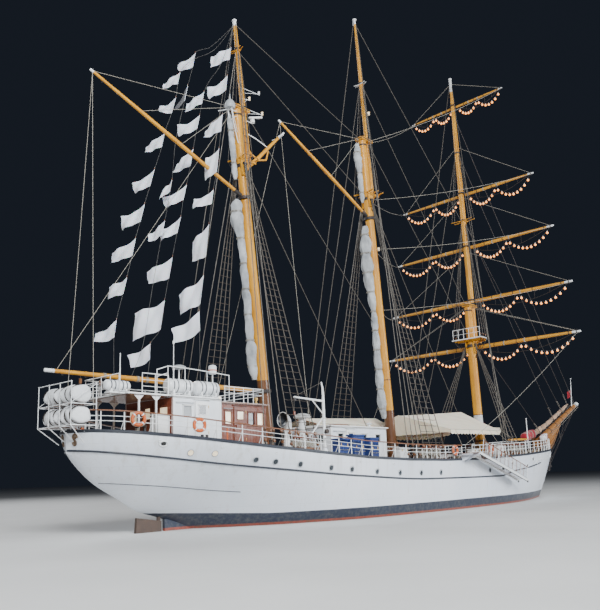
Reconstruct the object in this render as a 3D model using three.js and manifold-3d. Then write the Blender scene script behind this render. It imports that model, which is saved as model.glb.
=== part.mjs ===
// A three-masted barquentine (square-rigged on the fore mast, gaff-rigged on the
// main and mizzen) as a 1:2 scale model. All tables below are in metres of the
// full-size ship, X forward from the aft end of the deck, Y to port, Z up from the
// water; SCALE turns them into millimetres of the model. The origin of the model is
// on the centreline, at the waterline, X_ORIGIN metres forward of the stern.
import * as THREE from 'three';
import { mergeVertices } from 'three/addons/utils/BufferGeometryUtils.js';
import Module from 'manifold-3d';

const wasm = await Module();
wasm.setup();

// ------------------------------------------------------------------ dimensions
const SCALE = 500;            // mm of model per metre of ship (1:2)
const X_ORIGIN = 25;          // m, amidships
const GAP = 0.0008;           // m, clearance between touching pieces (0.4 mm built)
const RUN = 0.016;            // m, clearance of a moving piece (8 mm built)
const LENGTH_DECK = 49.9;     // m, stern to stem head
const DRAUGHT = 4.3;          // m
const WALL = 0.07;            // m, deckhouse wall
const RAIL_H = 0.95;          // m, top rail above the deck edge

// deck edge height above water:  [X, z]
const SHEER = [[0, 4.72], [1.6, 4.63], [2.7, 4.53], [4.3, 4.39], [7.1, 4.1], [9.7, 3.86], [15.3, 3.4],
  [18.9, 3.25], [22.7, 3.17], [28, 3.22], [35, 3.48], [39.9, 3.75], [45, 4.02], [49.9, 4.29]];
// deck half-breadth:  [X, y]
const BREADTH = [[0, 0.02], [0.25, 0.95], [0.6, 1.58], [1.2, 2.08], [2, 2.55], [4, 3.28], [7, 3.95], [11, 4.45], [16, 4.68],
  [24, 4.75], [31, 4.68], [36, 4.38], [40, 3.78], [44, 2.72], [47, 1.52], [49, 0.5], [49.9, 0.03]];
// hull bottom on the centreline (canoe body):  [X, z]
const BOTTOM = [[0, 3.83], [1.42, 2.4], [2.82, 1.56], [3.69, 1.05], [5, 0.66], [6.6, 0.1], [9, -1.35], [12, -2.6], [16, -3.35],
  [22, -3.7], [30, -3.75], [38, -3.6], [42, -3.1], [44.5, -2.35], [46, -1.3], [46.9, 0], [47.42, 1.4], [48.87, 3.02], [49.9, 4.2]];
// section fullness:  [X, n, m]  y = b (1 - (1 - t)^n)^(1/m), t from the bottom to the deck
const FULLNESS = [[0, 1.6, 1.5], [3.7, 1.45, 1.25], [7, 1.35, 1.0], [12, 1.7, 1.25], [18, 2.6, 1.9], [24, 3.1, 2.3], [32, 2.7, 2.0],
  [38, 1.9, 1.35], [43, 1.45, 1.0], [47, 1.25, 0.85], [49.9, 1.1, 1.0]];

// ------------------------------------------------------------------ helpers
const lerpTable = (table, x, col = 1) => {
  if (x <= table[0][0]) return table[0][col];
  for (let i = 1; i < table.length; i++) {
    if (x <= table[i][0]) {
      const a = table[i - 1], b = table[i], t = (x - a[0]) / (b[0] - a[0]);
      return a[col] + t * (b[col] - a[col]);
    }
  }
  return table[table.length - 1][col];
};
// stations of the hull; the deck is straight between them
const HULL_X = [0, 0.25, 0.6, 1.2, 2, 2.82, 3.69, 5, 6.6, 9, 12, 16, 20, 24, 28, 32, 36, 39, 42, 44.5, 46, 46.9, 47.42, 48.1, 48.87, 49.4, 49.9];
const SHEER_AT = HULL_X.map((x) => [x, lerpTable(SHEER, x)]);
const BREADTH_AT = HULL_X.map((x) => [x, lerpTable(BREADTH, x)]);
const deckZ = (x) => lerpTable(SHEER_AT, x);
const deckY = (x) => lerpTable(BREADTH_AT, x);
const deckTop = (x, r) => Math.max(deckZ(x - r), deckZ(x), deckZ(x + r)) + 0.002;   // clear of the deck under a foot of radius r
const mm = (x, y, z) => new THREE.Vector3((x - X_ORIGIN) * SCALE, y * SCALE, z * SCALE);

function geometryFrom(points, triangles) {
  const g = new THREE.BufferGeometry();
  g.setAttribute('position', new THREE.Float32BufferAttribute(points.flatMap((p) => [p.x, p.y, p.z]), 3));
  g.setIndex(triangles.flat());
  return g;
}

// closed tube through points (metres) with a radius for each point and n sides
function tube(points, radii, n = 8) {
  const P = points.map((p) => mm(...p));
  const pts = [], tris = [];
  const up0 = new THREE.Vector3(0, 0, 1);
  for (let i = 0; i < P.length; i++) {
    const a = P[Math.max(0, i - 1)], b = P[Math.min(P.length - 1, i + 1)];
    const t = b.clone().sub(a).normalize();
    let u = up0.clone().cross(t);
    if (u.length() < 0.05) u = new THREE.Vector3(0, 1, 0).cross(t).multiplyScalar(-1);
    u.normalize();
    const v = t.clone().cross(u);
    const r = (Array.isArray(radii) ? radii[i] : radii) * SCALE;
    for (let k = 0; k < n; k++) {
      const w = 2 * Math.PI * (k + 0.5) / n;
      pts.push(P[i].clone().addScaledVector(u, r * Math.cos(w)).addScaledVector(v, r * Math.sin(w)));
    }
  }
  for (let i = 0; i + 1 < P.length; i++) {
    for (let k = 0; k < n; k++) {
      const a = i * n + k, b = i * n + (k + 1) % n, c = a + n, d = b + n;
      tris.push([a, b, d], [a, d, c]);
    }
  }
  for (let k = 1; k + 1 < n; k++) {
    tris.push([0, k + 1, k]);
    const e = (P.length - 1) * n;
    tris.push([e, e + k, e + k + 1]);
  }
  return geometryFrom(pts, tris);
}

// box from its corners in metres
function block(x0, x1, y0, y1, z0, z1) {
  const g = new THREE.BoxGeometry((x1 - x0) * SCALE, (y1 - y0) * SCALE, (z1 - z0) * SCALE);
  const c = mm((x0 + x1) / 2, (y0 + y1) / 2, (z0 + z1) / 2);
  g.translate(c.x, c.y, c.z);
  return g;
}

// outline in the X-Z plane (metres), extruded from y0 to y1
function plateXZ(outline, y0, y1) {
  const shape = new THREE.Shape(outline.map(([x, z]) => new THREE.Vector2((x - X_ORIGIN) * SCALE, z * SCALE)));
  const g = new THREE.ExtrudeGeometry(shape, { depth: (y1 - y0) * SCALE, bevelEnabled: false });
  g.rotateX(Math.PI / 2);
  g.translate(0, y1 * SCALE, 0);
  return g;
}
// outline in the X-Y plane (metres), extruded from z0 to z1
function plateXY(outline, z0, z1) {
  const shape = new THREE.Shape(outline.map(([x, y]) => new THREE.Vector2((x - X_ORIGIN) * SCALE, y * SCALE)));
  const g = new THREE.ExtrudeGeometry(shape, { depth: (z1 - z0) * SCALE, bevelEnabled: false });
  g.translate(0, 0, z0 * SCALE);
  return g;
}

const toSolid = (g) => {
  let h = g.clone();
  h.deleteAttribute('normal');
  h.deleteAttribute('uv');
  h = mergeVertices(h, 1e-3);
  return new wasm.Manifold(new wasm.Mesh({
    numProp: 3, vertProperties: new Float32Array(h.attributes.position.array), triVerts: new Uint32Array(h.index.array) }));
};
const toGeometry = (solid) => {
  const m = solid.simplify(0.25).getMesh();
  const g = new THREE.BufferGeometry();
  g.setAttribute('position', new THREE.Float32BufferAttribute(m.vertProperties, 3));
  g.setIndex(new THREE.Uint32BufferAttribute(m.triVerts, 1));
  return g;
};
const joined = (adds, cuts = []) => {
  let s = toSolid(adds[0]);
  for (const g of adds.slice(1)) s = s.add(toSolid(g));
  for (const g of cuts) s = s.subtract(toSolid(g));
  return toGeometry(s);
};

const ship = new THREE.Group();
function add(name, geometry, color, roughness = 0.6, metalness = 0) {
  geometry.computeVertexNormals();
  const m = new THREE.Mesh(geometry, new THREE.MeshStandardMaterial({ color, roughness, metalness, flatShading: true }));
  m.name = name;
  ship.add(m);
}
const WHITE = 0xe9edf0, NAVY = 0x1a2740, GOLD = 0xd9a321, BROWN = 0x5b3319, CREAM = 0xefe6d2, WIRE = 0x6d6a62,
  VARNISH = 0x7a3a1c, CANVAS = 0xe6e6e2, BRONZE = 0xa87a3c, STEEL = 0x8a8f94;

// ------------------------------------------------------------------ hull
const HULL_T = [0, 0.05, 0.14, 0.28, 0.45, 0.64, 0.82, 1];
const DAVIT = { x: 12.88, y: -4.1, z: 3.6 };
const GW = { x: 26.75, z: 3.62, len: 6.9, w: 0.72, y: -4.98, drop: 1.98 };
const RUDDER_AXIS_X = 5.0, POST_X = 6.75, KEEL_Z = -DRAUGHT;
{
  const pts = [], tris = [], m = HULL_T.length, ring = 2 * m;
  for (const x of HULL_X) {
    const zd = deckZ(x), zb = lerpTable(BOTTOM, x), b = deckY(x), n = lerpTable(FULLNESS, x, 1), e = lerpTable(FULLNESS, x, 2);
    const half = HULL_T.map((t) => [Math.max(b * Math.pow(1 - Math.pow(1 - t, n), 1 / e), 0.012), zb + (zd - zb) * t]);
    for (const [y, z] of half) pts.push(mm(x, -y, z));
    for (const [y, z] of half.slice().reverse()) pts.push(mm(x, y, z));
  }
  for (let i = 0; i + 1 < HULL_X.length; i++) {
    for (let k = 0; k < ring; k++) {
      const a = i * ring + k, b = i * ring + (k + 1) % ring, c = a + ring, d = b + ring;
      tris.push([a, c, d], [a, d, b]);
    }
  }
  const last = (HULL_X.length - 1) * ring;
  for (let k = 1; k + 1 < ring; k++) { tris.push([0, k, k + 1]); tris.push([last, last + k + 1, last + k]); }
  const canoe = geometryFrom(pts, tris);
  // keel, deadwood and the shoe under the propeller, as one plate; the fore foot runs into the stem
  const keel = plateXZ([[POST_X, -0.2], [9.5, -0.6], [12, -2.2], [22, -3.4], [38, -3.4], [43, -2.4], [45.2, -1.2], [45.9, -1.9], [44.6, -3.0],
    [42.5, -3.9], [40, KEEL_Z], [4.75, KEEL_Z], [4.75, KEEL_Z + 0.22], [POST_X, KEEL_Z + 0.3]], -0.16, 0.16);
  // fin that closes the gap between the counter and the rudder at the waterline
  const fin = plateXZ([[5.3, 0.6], [6.9, 0.25], [6.9, -0.5], [5.34, -0.4]], -0.09, 0.09);
  const boss = tube([[6.31, 0, -2.3], [6.6, 0, -2.3], [7.6, 0, -2.3], [9.2, 0, -2.3]], [0.24, 0.27, 0.3, 0.12], 10);
  // rudder port in the counter: the stock passes up with a running gap
  const stockHole = tube([[RUDDER_AXIS_X, 0, 0.2], [RUDDER_AXIS_X, 0, 1.6]], 0.13, 10);
  // welded to the hull: the davit's socket and the gangway's upper landing
  const socket = tube([[DAVIT.x, DAVIT.y, DAVIT.z - 0.3], [DAVIT.x, DAVIT.y, DAVIT.z + 0.02], [DAVIT.x, DAVIT.y, DAVIT.z + 0.32]], [0.22, 0.22, 0.12], 10);
  const landing = block(GW.x - 1.2, GW.x - 0.22, GW.y - GW.w - 0.02, GW.y + 0.02, GW.z - 0.06, GW.z);
  const knee = plateXZ([[GW.x - 1.1, GW.z - 0.05], [GW.x - 0.26, GW.z - 0.05], [GW.x - 0.5, GW.z - 0.55], [GW.x - 0.86, GW.z - 0.55]], GW.y - 0.3, GW.y + 0.3);
  add('hull', joined([canoe, keel, fin, boss, socket, landing, knee], [stockHole]), WHITE, 0.45);
}

// ------------------------------------------------------------------ rudder and propeller
{
  const blade = plateXZ([[3.72, 0.72], [5.12, 0.5], [5.2, KEEL_Z + 0.36], [3.9, KEEL_Z + 0.36], [3.55, -1.6]], -0.09, 0.09);
  const stock = tube([[RUDDER_AXIS_X, 0, -1], [RUDDER_AXIS_X, 0, 1.45]], 0.1, 10);
  add('rudder', joined([blade, stock]), 0x5a3426, 0.7);
}
const PROP = { x: 5.95, z: -2.3, r: 1.12, blades: 4 };
{
  const hub = tube([[5.62, 0, PROP.z], [5.8, 0, PROP.z], [6.3 - GAP, 0, PROP.z]], [0.1, 0.21, 0.21], 10);
  const blades = [];
  for (let k = 0; k < PROP.blades; k++) {
    const g = new THREE.BoxGeometry(0.07 * SCALE, 0.56 * SCALE, (PROP.r - 0.12) * SCALE, 1, 1, 3);
    const p = g.attributes.position;
    for (let i = 0; i < p.count; i++) {
      const h = p.getZ(i) / ((PROP.r - 0.12) * SCALE) + 0.5;
      const w = [0.45, 1, 1.15, 0.55][Math.round(h * 3)];
      const a = 0.9 - 0.45 * h, x = p.getX(i), y = p.getY(i) * w;
      p.setXY(i, x * Math.cos(a) - y * Math.sin(a), x * Math.sin(a) + y * Math.cos(a));
    }
    g.translate(0, 0, (0.12 + (PROP.r - 0.12) / 2) * SCALE);
    g.rotateX(2 * Math.PI * k / PROP.blades + 0.4);
    const c = mm(PROP.x, 0, PROP.z);
    g.translate(c.x, c.y, c.z);
    blades.push(g);
  }
  add('propeller', joined([hub, ...blades]), BRONZE, 0.35, 0.8);
}

// ------------------------------------------------------------------ deckhouses
// name, x0, x1, half width, top z, window rows {side windows: x list, w, h, sill above deck}, door {x0, side}
const HOUSES = [
  { name: 'aft_deckhouse', x0: 4.4, x1: 7.36, w: 2.0, top: 6.45, windows: [5.0], ww: 0.5, wh: 0.5, door: [5.75, 6.5], color: WHITE },
  { name: 'wheelhouse', x0: 7.42, x1: 10.6, w: 1.9, top: 6.3, windows: [7.75, 9.35, 10.0], ww: 0.42, wh: 0.62, door: [8.35, 9.1], color: VARNISH },
  { name: 'midship_house', x0: 16.0, x1: 21.4, w: 1.9, top: 5.35, windows: [16.6, 18.9, 20.3], ww: 0.5, wh: 0.45, door: [17.4, 18.1], color: WHITE },
];
for (const h of HOUSES) {
  const base = Math.max(deckZ(h.x0), deckZ(h.x1)) + 0.002, sill = h.top - 0.45 - h.wh, doorTop = h.top - 0.25;
  const shell = block(h.x0, h.x1, -h.w, h.w, base, h.top - 0.02);
  const cuts = [block(h.x0 + WALL, h.x1 - WALL, -h.w + WALL, h.w - WALL, base - 0.2, h.top + 0.2)];
  for (const x of h.windows) cuts.push(block(x, x + h.ww, -h.w - 0.2, h.w + 0.2, sill, sill + h.wh));
  cuts.push(block(h.door[0], h.door[1], -h.w - 0.2, -h.w + 0.2, base + 0.12, doorTop));
  add(`${h.name}_walls`, joined([shell], cuts), h.color);
  // roof: cambered slab with an overhang
  const roof = [];
  for (const [y, z] of [[-1, 0], [-1, 0.07], [-0.5, 0.115], [0, 0.13], [0.5, 0.115], [1, 0.07], [1, 0]]) roof.push([y * (h.w + 0.1), h.top - 0.02 + GAP + z]);
  const rs = new THREE.Shape(roof.map(([y, z]) => new THREE.Vector2(y * SCALE, z * SCALE)));
  const rg = new THREE.ExtrudeGeometry(rs, { depth: (h.x1 - h.x0 + (h.name === 'aft_deckhouse' ? 0.08 : 0.2)) * SCALE, bevelEnabled: false });
  rg.rotateX(Math.PI / 2); rg.rotateZ(Math.PI / 2);
  const off = h.name === 'wheelhouse' ? 0.0 : 0.1;
  rg.translate((h.x0 - off - X_ORIGIN) * SCALE, 0, 0);
  add(`${h.name}_roof`, rg, h.color === VARNISH ? WHITE : h.color);
  // door leaf hangs outside the wall on hinge pins at its forward edge, 5 mm and more from the wall
  const y1 = -h.w - RUN, y0 = y1 - 0.05;
  add(`${h.name}_door`, joined([block(h.door[0] - 0.04, h.door[1] + 0.04, y0, y1, base + 0.08, doorTop + 0.06),
    block(h.door[0] + 0.06, h.door[0] + 0.1, y0 - 0.07, y0 + 0.01, base + 0.95, base + 1.1)]), h.color === VARNISH ? 0x6a3016 : WHITE);
}

// ------------------------------------------------------------------ masts
// name, x at z = 4, rake (dx per metre up), head of the lower mast, radii, top of the topmast, doubling length, trestle half width
const MASTS = {
  mizzen: { x4: 12.67, rake: -0.105, cap: 24.7, r0: 0.33, r1: 0.28, truck: 30.45, doubling: 3.4, tree: 0.75, rt: 0.18, taper: [0.9, 0.7] },
  main: { x4: 24.68, rake: -0.08, cap: 26.9, r0: 0.35, r1: 0.3, truck: 36.5, doubling: 4.3, tree: 0.9, rt: 0.18, taper: [0.85, 0.6] },
  fore: { x4: 37.05, rake: -0.0405, cap: 16.45, r0: 0.36, r1: 0.3, truck: 37.3, doubling: 3.2, tree: 1.35, rt: 0.26, taper: [0.8, 0.42] },
};
const mastX = (m, z) => m.x4 + m.rake * (z - 4);
const ahead = (m) => m.r1 + m.rt + 0.12;
for (const [name, m] of Object.entries(MASTS)) {
  const z0 = deckTop(m.x4, m.r0 + 0.2) + 0.04, zt = m.cap - m.doubling, dx = ahead(m);
  const lower = tube([[mastX(m, z0), 0, z0], [mastX(m, z0 + 6), 0, z0 + 6], [mastX(m, m.cap), 0, m.cap]], [m.r0, m.r0, m.r1], 12);
  const foot = tube([[mastX(m, z0), 0, z0], [mastX(m, z0), 0, z0 + 0.16]], [m.r0 + 0.16, m.r0 + 0.12], 12);
  const cx = mastX(m, m.cap);
  const cap = block(cx - m.r1 - 0.08, cx + dx + m.rt + 0.12, -m.r1 - 0.08, m.r1 + 0.08, m.cap - 0.3, m.cap - 0.06);
  const tx = mastX(m, zt);
  const top = name === 'fore'
    ? plateXY([[tx - 0.75, -m.tree], [tx + 0.9, -m.tree * 0.72], [tx + 1.25, 0], [tx + 0.9, m.tree * 0.72], [tx - 0.75, m.tree]], zt, zt + 0.1)
    : block(tx - 0.3, tx + dx + m.rt + 0.14, -0.34, 0.34, zt - 0.16, zt + 0.1);
  const trees = block(tx - 0.12, tx + 0.12, -m.tree, m.tree, zt - 0.1, zt + 0.06);
  // heel seat of the topmast is a hole through trestle and cap
  const axisTop = (z) => mastX(m, z) + dx;
  const hole = tube([[axisTop(zt - 2), 0, zt - 2], [axisTop(m.cap + 1), 0, m.cap + 1]], m.rt + GAP, 12);
  add(`${name}_lower_mast`, joined([lower, foot, cap, top, trees], [hole]), GOLD, 0.4);
  const heel = zt - 0.2, pieces = [];
  const mid = name === 'fore' ? 30.2 : m.cap + 3;
  pieces.push(tube([[axisTop(heel), 0, heel], [axisTop(mid), 0, mid], [axisTop(m.truck), 0, m.truck]], [m.rt, m.rt * m.taper[0], m.rt * m.taper[1]], 12));
  if (name === 'fore') {
    // topgallant crosstrees
    const zc = 23.85, xc = axisTop(zc);
    pieces.push(block(xc - 0.32, xc + 0.3, -0.28, 0.28, zc, zc + 0.12), block(xc - 0.1, xc + 0.02, -1.0, 1.0, zc + 0.02, zc + 0.1));
  } else {
    const zc = name === 'main' ? 31.2 : 28.4, xc = axisTop(zc);
    pieces.push(block(xc - 0.05, xc + 0.05, -0.5, 0.5, zc, zc + 0.06));
  }
  add(`${name}_topmast`, joined(pieces), GOLD, 0.4);
}

// ------------------------------------------------------------------ yards on the fore mast
// name, z, half length, radius at the middle
const YARDS = [
  ['course_yard', 12.73, 8.97, 0.17], ['lower_topsail_yard', 16.86, 8.56, 0.16], ['upper_topsail_yard', 21.64, 7.59, 0.145],
  ['topgallant_yard', 26.45, 6.43, 0.125], ['royal_yard', 34.7, 4.58, 0.095]];
const F = MASTS.fore;
for (const [name, z, half, r] of YARDS) {
  const onLower = z < F.cap - F.doubling, ax = onLower ? mastX(F, z) : mastX(F, z) + ahead(F);
    const mr = onLower ? 0.34 : F.rt * (z < 30.2 ? 1 - 0.2 * (z - 13.05) / 17.15 : 0.8 - 0.38 * (z - 30.2) / 7.1);
  const fwd = mr + RUN + r + 0.16;
  const spar = tube([[ax + fwd, -half, z], [ax + fwd, -half * 0.55, z], [ax + fwd, 0, z], [ax + fwd, half * 0.55, z], [ax + fwd, half, z]],
    [r * 0.5, r * 0.85, r, r * 0.85, r * 0.5], 10);
  // parrel: a ring round the mast, joined to the yard
  const outer = tube([[ax - F.rake * 0.05, 0, z - 0.05], [ax + F.rake * 0.05, 0, z + 0.05]], mr + RUN + 0.08, 12);
  const inner = tube([[ax - F.rake * 0.3, 0, z - 0.3], [ax + F.rake * 0.3, 0, z + 0.3]], mr + RUN + 0.015, 12);
  const truss = block(ax + mr + RUN + 0.04, ax + fwd, -0.09, 0.09, z - 0.06, z + 0.06);
  add(name, joined([spar, outer, truss], [inner]), GOLD, 0.4);
}

// ------------------------------------------------------------------ gaffs and the mizzen boom
// name, mast, z at the mast, end [x, y, z], radius at jaws, middle, end
const SPARS = [
  ['mizzen_boom', 'mizzen', 7.36, [-0.37, 1.62, 7.74], [0.12, 0.14, 0.09]],
  ['mizzen_gaff', 'mizzen', 18.9, [0.72, 0, 22.94], [0.1, 0.12, 0.07]],
  ['main_gaff', 'main', 20.7, [14.14, 0, 25.11], [0.1, 0.12, 0.07]],
];
for (const [name, mast, z, end, rr] of SPARS) {
  const m = MASTS[mast], ax = mastX(m, z), mr = m.r0 + (m.r1 - m.r0) * Math.max(0, (z - deckZ(m.x4) - 6) / (m.cap - deckZ(m.x4) - 6));
  const outer = tube([[ax - m.rake * 0.1, 0, z - 0.1], [ax + m.rake * 0.1, 0, z + 0.1]], mr + RUN + 0.11, 12);
  const inner = tube([[ax - m.rake * 0.6, 0, z - 0.6], [ax + m.rake * 0.6, 0, z + 0.6]], mr + RUN + 0.025, 12);
  const mid = [(ax + end[0]) / 2, end[1] / 2, (z + end[2]) / 2];
  add(name, joined([outer, tube([[ax, 0, z], mid, end], rr, 10)], [inner]), GOLD, 0.4);
}

// ------------------------------------------------------------------ bowsprit, jackstaff and the head stays set up to it
// from (on the fore mast), to (in the bowsprit)
const HEAD_STAYS = [
  [[mastX(F, 13.2) + 1.1, 0, 13.19], [48.95, 0, 5.45]],
  [[mastX(F, 23.6) + ahead(F) + 0.36, 0, 23.6], [54.2, 0, 7.62]],
  [[mastX(F, 33.6) + ahead(F) + 0.24, 0, 33.6], [57.2, 0, 8.82]],
];
{
  const tip = [57.67, 0, 9.0], heel = [47.3, 0, 4.72];
  const spar = tube([heel, [51, 0, heel[2] + 3.7 * 0.4127], tip], [0.3, 0.28, 0.22], 12);
  const bed = block(47.5, 48.6, -0.16, 0.16, deckTop(48.05, 0.6), 4.95);
  const staff = tube([[56.3, 0, 8.45], [56.75, 0, 11.6]], 0.04, 6);
  const stays = HEAD_STAYS.map(([a, b]) => tube([a, b], 0.026, 6));
  add('bowsprit', joined([spar, bed, staff, ...stays]), GOLD, 0.4);
}

// ------------------------------------------------------------------ railings
// name, side, from x, to x
const RAILS = [['railing_starboard_aft', -1, 0.75, 26.1], ['railing_starboard_forward', -1, 27.5, 48.3], ['railing_port', 1, 0.75, 48.3]];
for (const [name, side, xa, xb] of RAILS) {
  const steps = Math.max(6, Math.round((xb - xa) / 2.35)), path = [];
  for (let i = 0; i <= steps; i++) { const x = xa + (xb - xa) * i / steps; path.push([x, side * (deckY(x) - 0.1), deckZ(x)]); }
  if (xa < 1) path.splice(1, 0, [1.4, side * (deckY(1.4) - 0.1), deckZ(1.4)]);
  const pieces = [RAIL_H, 0.48].map((h) => tube(path.map(([x, y, z]) => [x, y, z + h]), h > 0.9 ? 0.045 : 0.02, 4));
  for (const [x, y, z] of path) pieces.push(block(x - 0.025, x + 0.025, y - 0.025, y + 0.025, z + 0.006, z + RAIL_H + 0.02));
  add(name, joined(pieces), WHITE);
}

// ------------------------------------------------------------------ shrouds (lower rigging) and main stays
// mast, attach z, chainplate offsets aft of the mast
const SHROUDS = [['mizzen', 21.0, [0.27, 0.97, 1.67, 2.32]], ['main', 22.1, [-0.08, 0.77, 1.62, 2.37]], ['fore', 12.95, [0.35, 1.0, 1.7, 2.4]]];
for (const [mast, z, feet] of SHROUDS) {
  const m = MASTS[mast];
  for (const [sideName, s] of [['port', 1], ['starboard', -1]]) {
    const x0 = mastX(m, deckZ(m.x4)), r = m.r0 + (m.r1 - m.r0) * (z - 9) / (m.cap - 9);
    const pieces = [], zf = deckZ(x0 - feet[0]) + 0.06, yf = s * (deckY(x0) - 0.42);
    const zr = Math.max(deckZ(x0 - feet[0] + 0.15), deckZ(x0 - feet[3] - 0.15)) + 0.004;
    pieces.push(block(x0 - feet[3] - 0.15, x0 - feet[0] + 0.15, Math.min(yf, yf - s * 0.14), Math.max(yf, yf - s * 0.14), zr, zr + 0.12));
    const hx = mastX(m, z);
    pieces.push(block(hx - 0.22, hx + 0.1, Math.min(s * (r + 0.02), s * (r + 0.16)), Math.max(s * (r + 0.02), s * (r + 0.16)), z - 0.14, z + 0.02));
    feet.forEach((f, i) => pieces.push(tube([[x0 - f, yf - s * 0.07, zr + 0.02], [hx - 0.02 - 0.045 * i, s * (r + 0.09), z - 0.03]], 0.022, 5)));
    add(`${mast}_shrouds_${sideName}`, joined(pieces), WIRE);
  }
}
// name, from, to
const STAYS = [
  ['main_stay', [mastX(MASTS.main, 22.1) + 0.45, 0, 22.1], [35.9, 0, 3.72]],
  ['mizzen_stay', [mastX(MASTS.mizzen, 20.8) + 0.4, 0, 20.8], [23.4, 0, 3.42]],
];
for (const [name, a, b] of STAYS) add(name, tube([a, b], 0.026, 6), WIRE);

// ------------------------------------------------------------------ stern rack with covered bundles, raft canisters
{
  const x0 = -0.62, x1 = 0.6, y = 1.5, zlow = 4.98, zmid = 5.92, ztop = 6.88, r = 0.035;
  const pieces = [];
  for (const yy of [-y, -0.5, 0.5, y]) {
    pieces.push(block(x1 - 0.03, x1 + 0.03, yy - 0.03, yy + 0.03, deckTop(0.6, 0.05), ztop));
    pieces.push(block(x0 - 0.03, x0 + 0.03, yy - 0.03, yy + 0.03, zlow - 0.06, ztop));
    for (const z of [zlow, zmid]) pieces.push(block(x0, x1, yy - r, yy + r, z - 0.06, z));
  }
  for (const xx of [x0, x1]) for (const z of [zlow, zmid, ztop]) pieces.push(block(xx - r, xx + r, -y, y, z - 0.06, z));
  add('stern_rack', joined(pieces), WHITE);
  for (const [name, z] of [['lower_bundles', zlow], ['upper_bundles', zmid]]) {
    const c = [];
    for (let k = 0; k < 10; k++) {
      const w = 2 * Math.PI * (k + 0.5) / 10;
      c.push([(x0 + x1) / 2 + 0.535 * Math.sign(Math.cos(w)) * Math.pow(Math.abs(Math.cos(w)), 0.6), z + 0.44 + 0.42 * Math.sign(Math.sin(w)) * Math.pow(Math.abs(Math.sin(w)), 0.7)]);
    }
    add(name, plateXZ(c, -y + 0.08, y - 0.08), CANVAS, 0.9);
  }
}
// boat deck aft of the deckhouse: slab on posts, with an arm aft for the quarter canister
const BOAT_DECK = { x0: 1.9, x1: 4.28, w: 1.95, top: 6.5, t: 0.07 };
{
  const { x0, x1, w, top, t } = BOAT_DECK, under = top - t + 0.01;
  const pieces = [block(x0, x1, -w, w, top - t, top), block(1.12, x0 + 0.1, -1.72, -1.28, top - t, top)];
  for (const x of [2.6, 3.55]) for (const y of [-1.82, 1.82]) pieces.push(block(x - 0.035, x + 0.035, y - 0.035, y + 0.035, deckTop(x, 0.05), under));
  add('boat_deck', joined(pieces), WHITE);
}
// name, centre x, y, z, length, radius, stand foot z
const CANISTERS = [
  ['raft_canister_aft', 5.05, -1.55, 7.03, 1.55, 0.38, 6.45 + 0.09],
  ['raft_canister_forward', 6.75, -1.55, 7.03, 1.5, 0.38, 6.45 + 0.09],
  ['quarter_canister', 1.62, -1.5, 6.79, 1.3, 0.25, BOAT_DECK.top + GAP],
];
for (const [name, x, y, z, len, r, foot] of CANISTERS) {
  const h = len / 2;
  const body = tube([[x - h, y, z], [x - h + 0.12, y, z], [x + h - 0.12, y, z], [x + h, y, z]], [r * 0.72, r, r, r * 0.72], 14);
  const legs = [-0.3, 0.3].map((f) => block(x + f * len - 0.05, x + f * len + 0.05, y - r * 0.8, y + r * 0.8, foot, z - r * 0.45));
  add(name, joined([body, ...legs]), WHITE, 0.4);
}

// ------------------------------------------------------------------ guard rail on the after house roofs
{
  const ya = 1.8, yb = 1.85, base = (x) => (x < 7.38 ? 6.53 : 6.375), top = 7.18, pieces = [];
  for (const z of [top, top - 0.33]) {
    pieces.push(block(4.4, 10.55, ya, yb, z - 0.04, z), block(10.5, 10.55, -yb, yb, z - 0.04, z), block(7.75, 10.55, -yb, -ya, z - 0.04, z));
  }
  for (const x of [4.42, 6.4, 8.4, 10.52]) pieces.push(block(x - 0.025, x + 0.025, ya, yb, base(x), top));
  for (const x of [7.8, 9.1, 10.52]) pieces.push(block(x - 0.025, x + 0.025, -yb, -ya, base(x), top));
  for (const y of [-0.6, 0.6]) pieces.push(block(10.5, 10.55, y - 0.025, y + 0.025, 6.43, top));
  add('house_top_rail', joined(pieces), WHITE);
}

// ------------------------------------------------------------------ davit crane amidships
{
  const { x, y, z } = DAVIT;
  const post = tube([[x, y, z + 0.32 + 0.02], [x, y, z + 2.9], [x - 0.12, y, z + 3.9]], [0.085, 0.085, 0.04], 8);
  const arm = tube([[x, y, z + 2.85], [x - 2.3, y, z + 2.95]], [0.06, 0.045], 6);
  const strut = tube([[x, y, z + 2.1], [x - 0.95, y, z + 2.9]], 0.035, 6);
  add('davit', joined([post, arm, strut]), WHITE);
}

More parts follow.
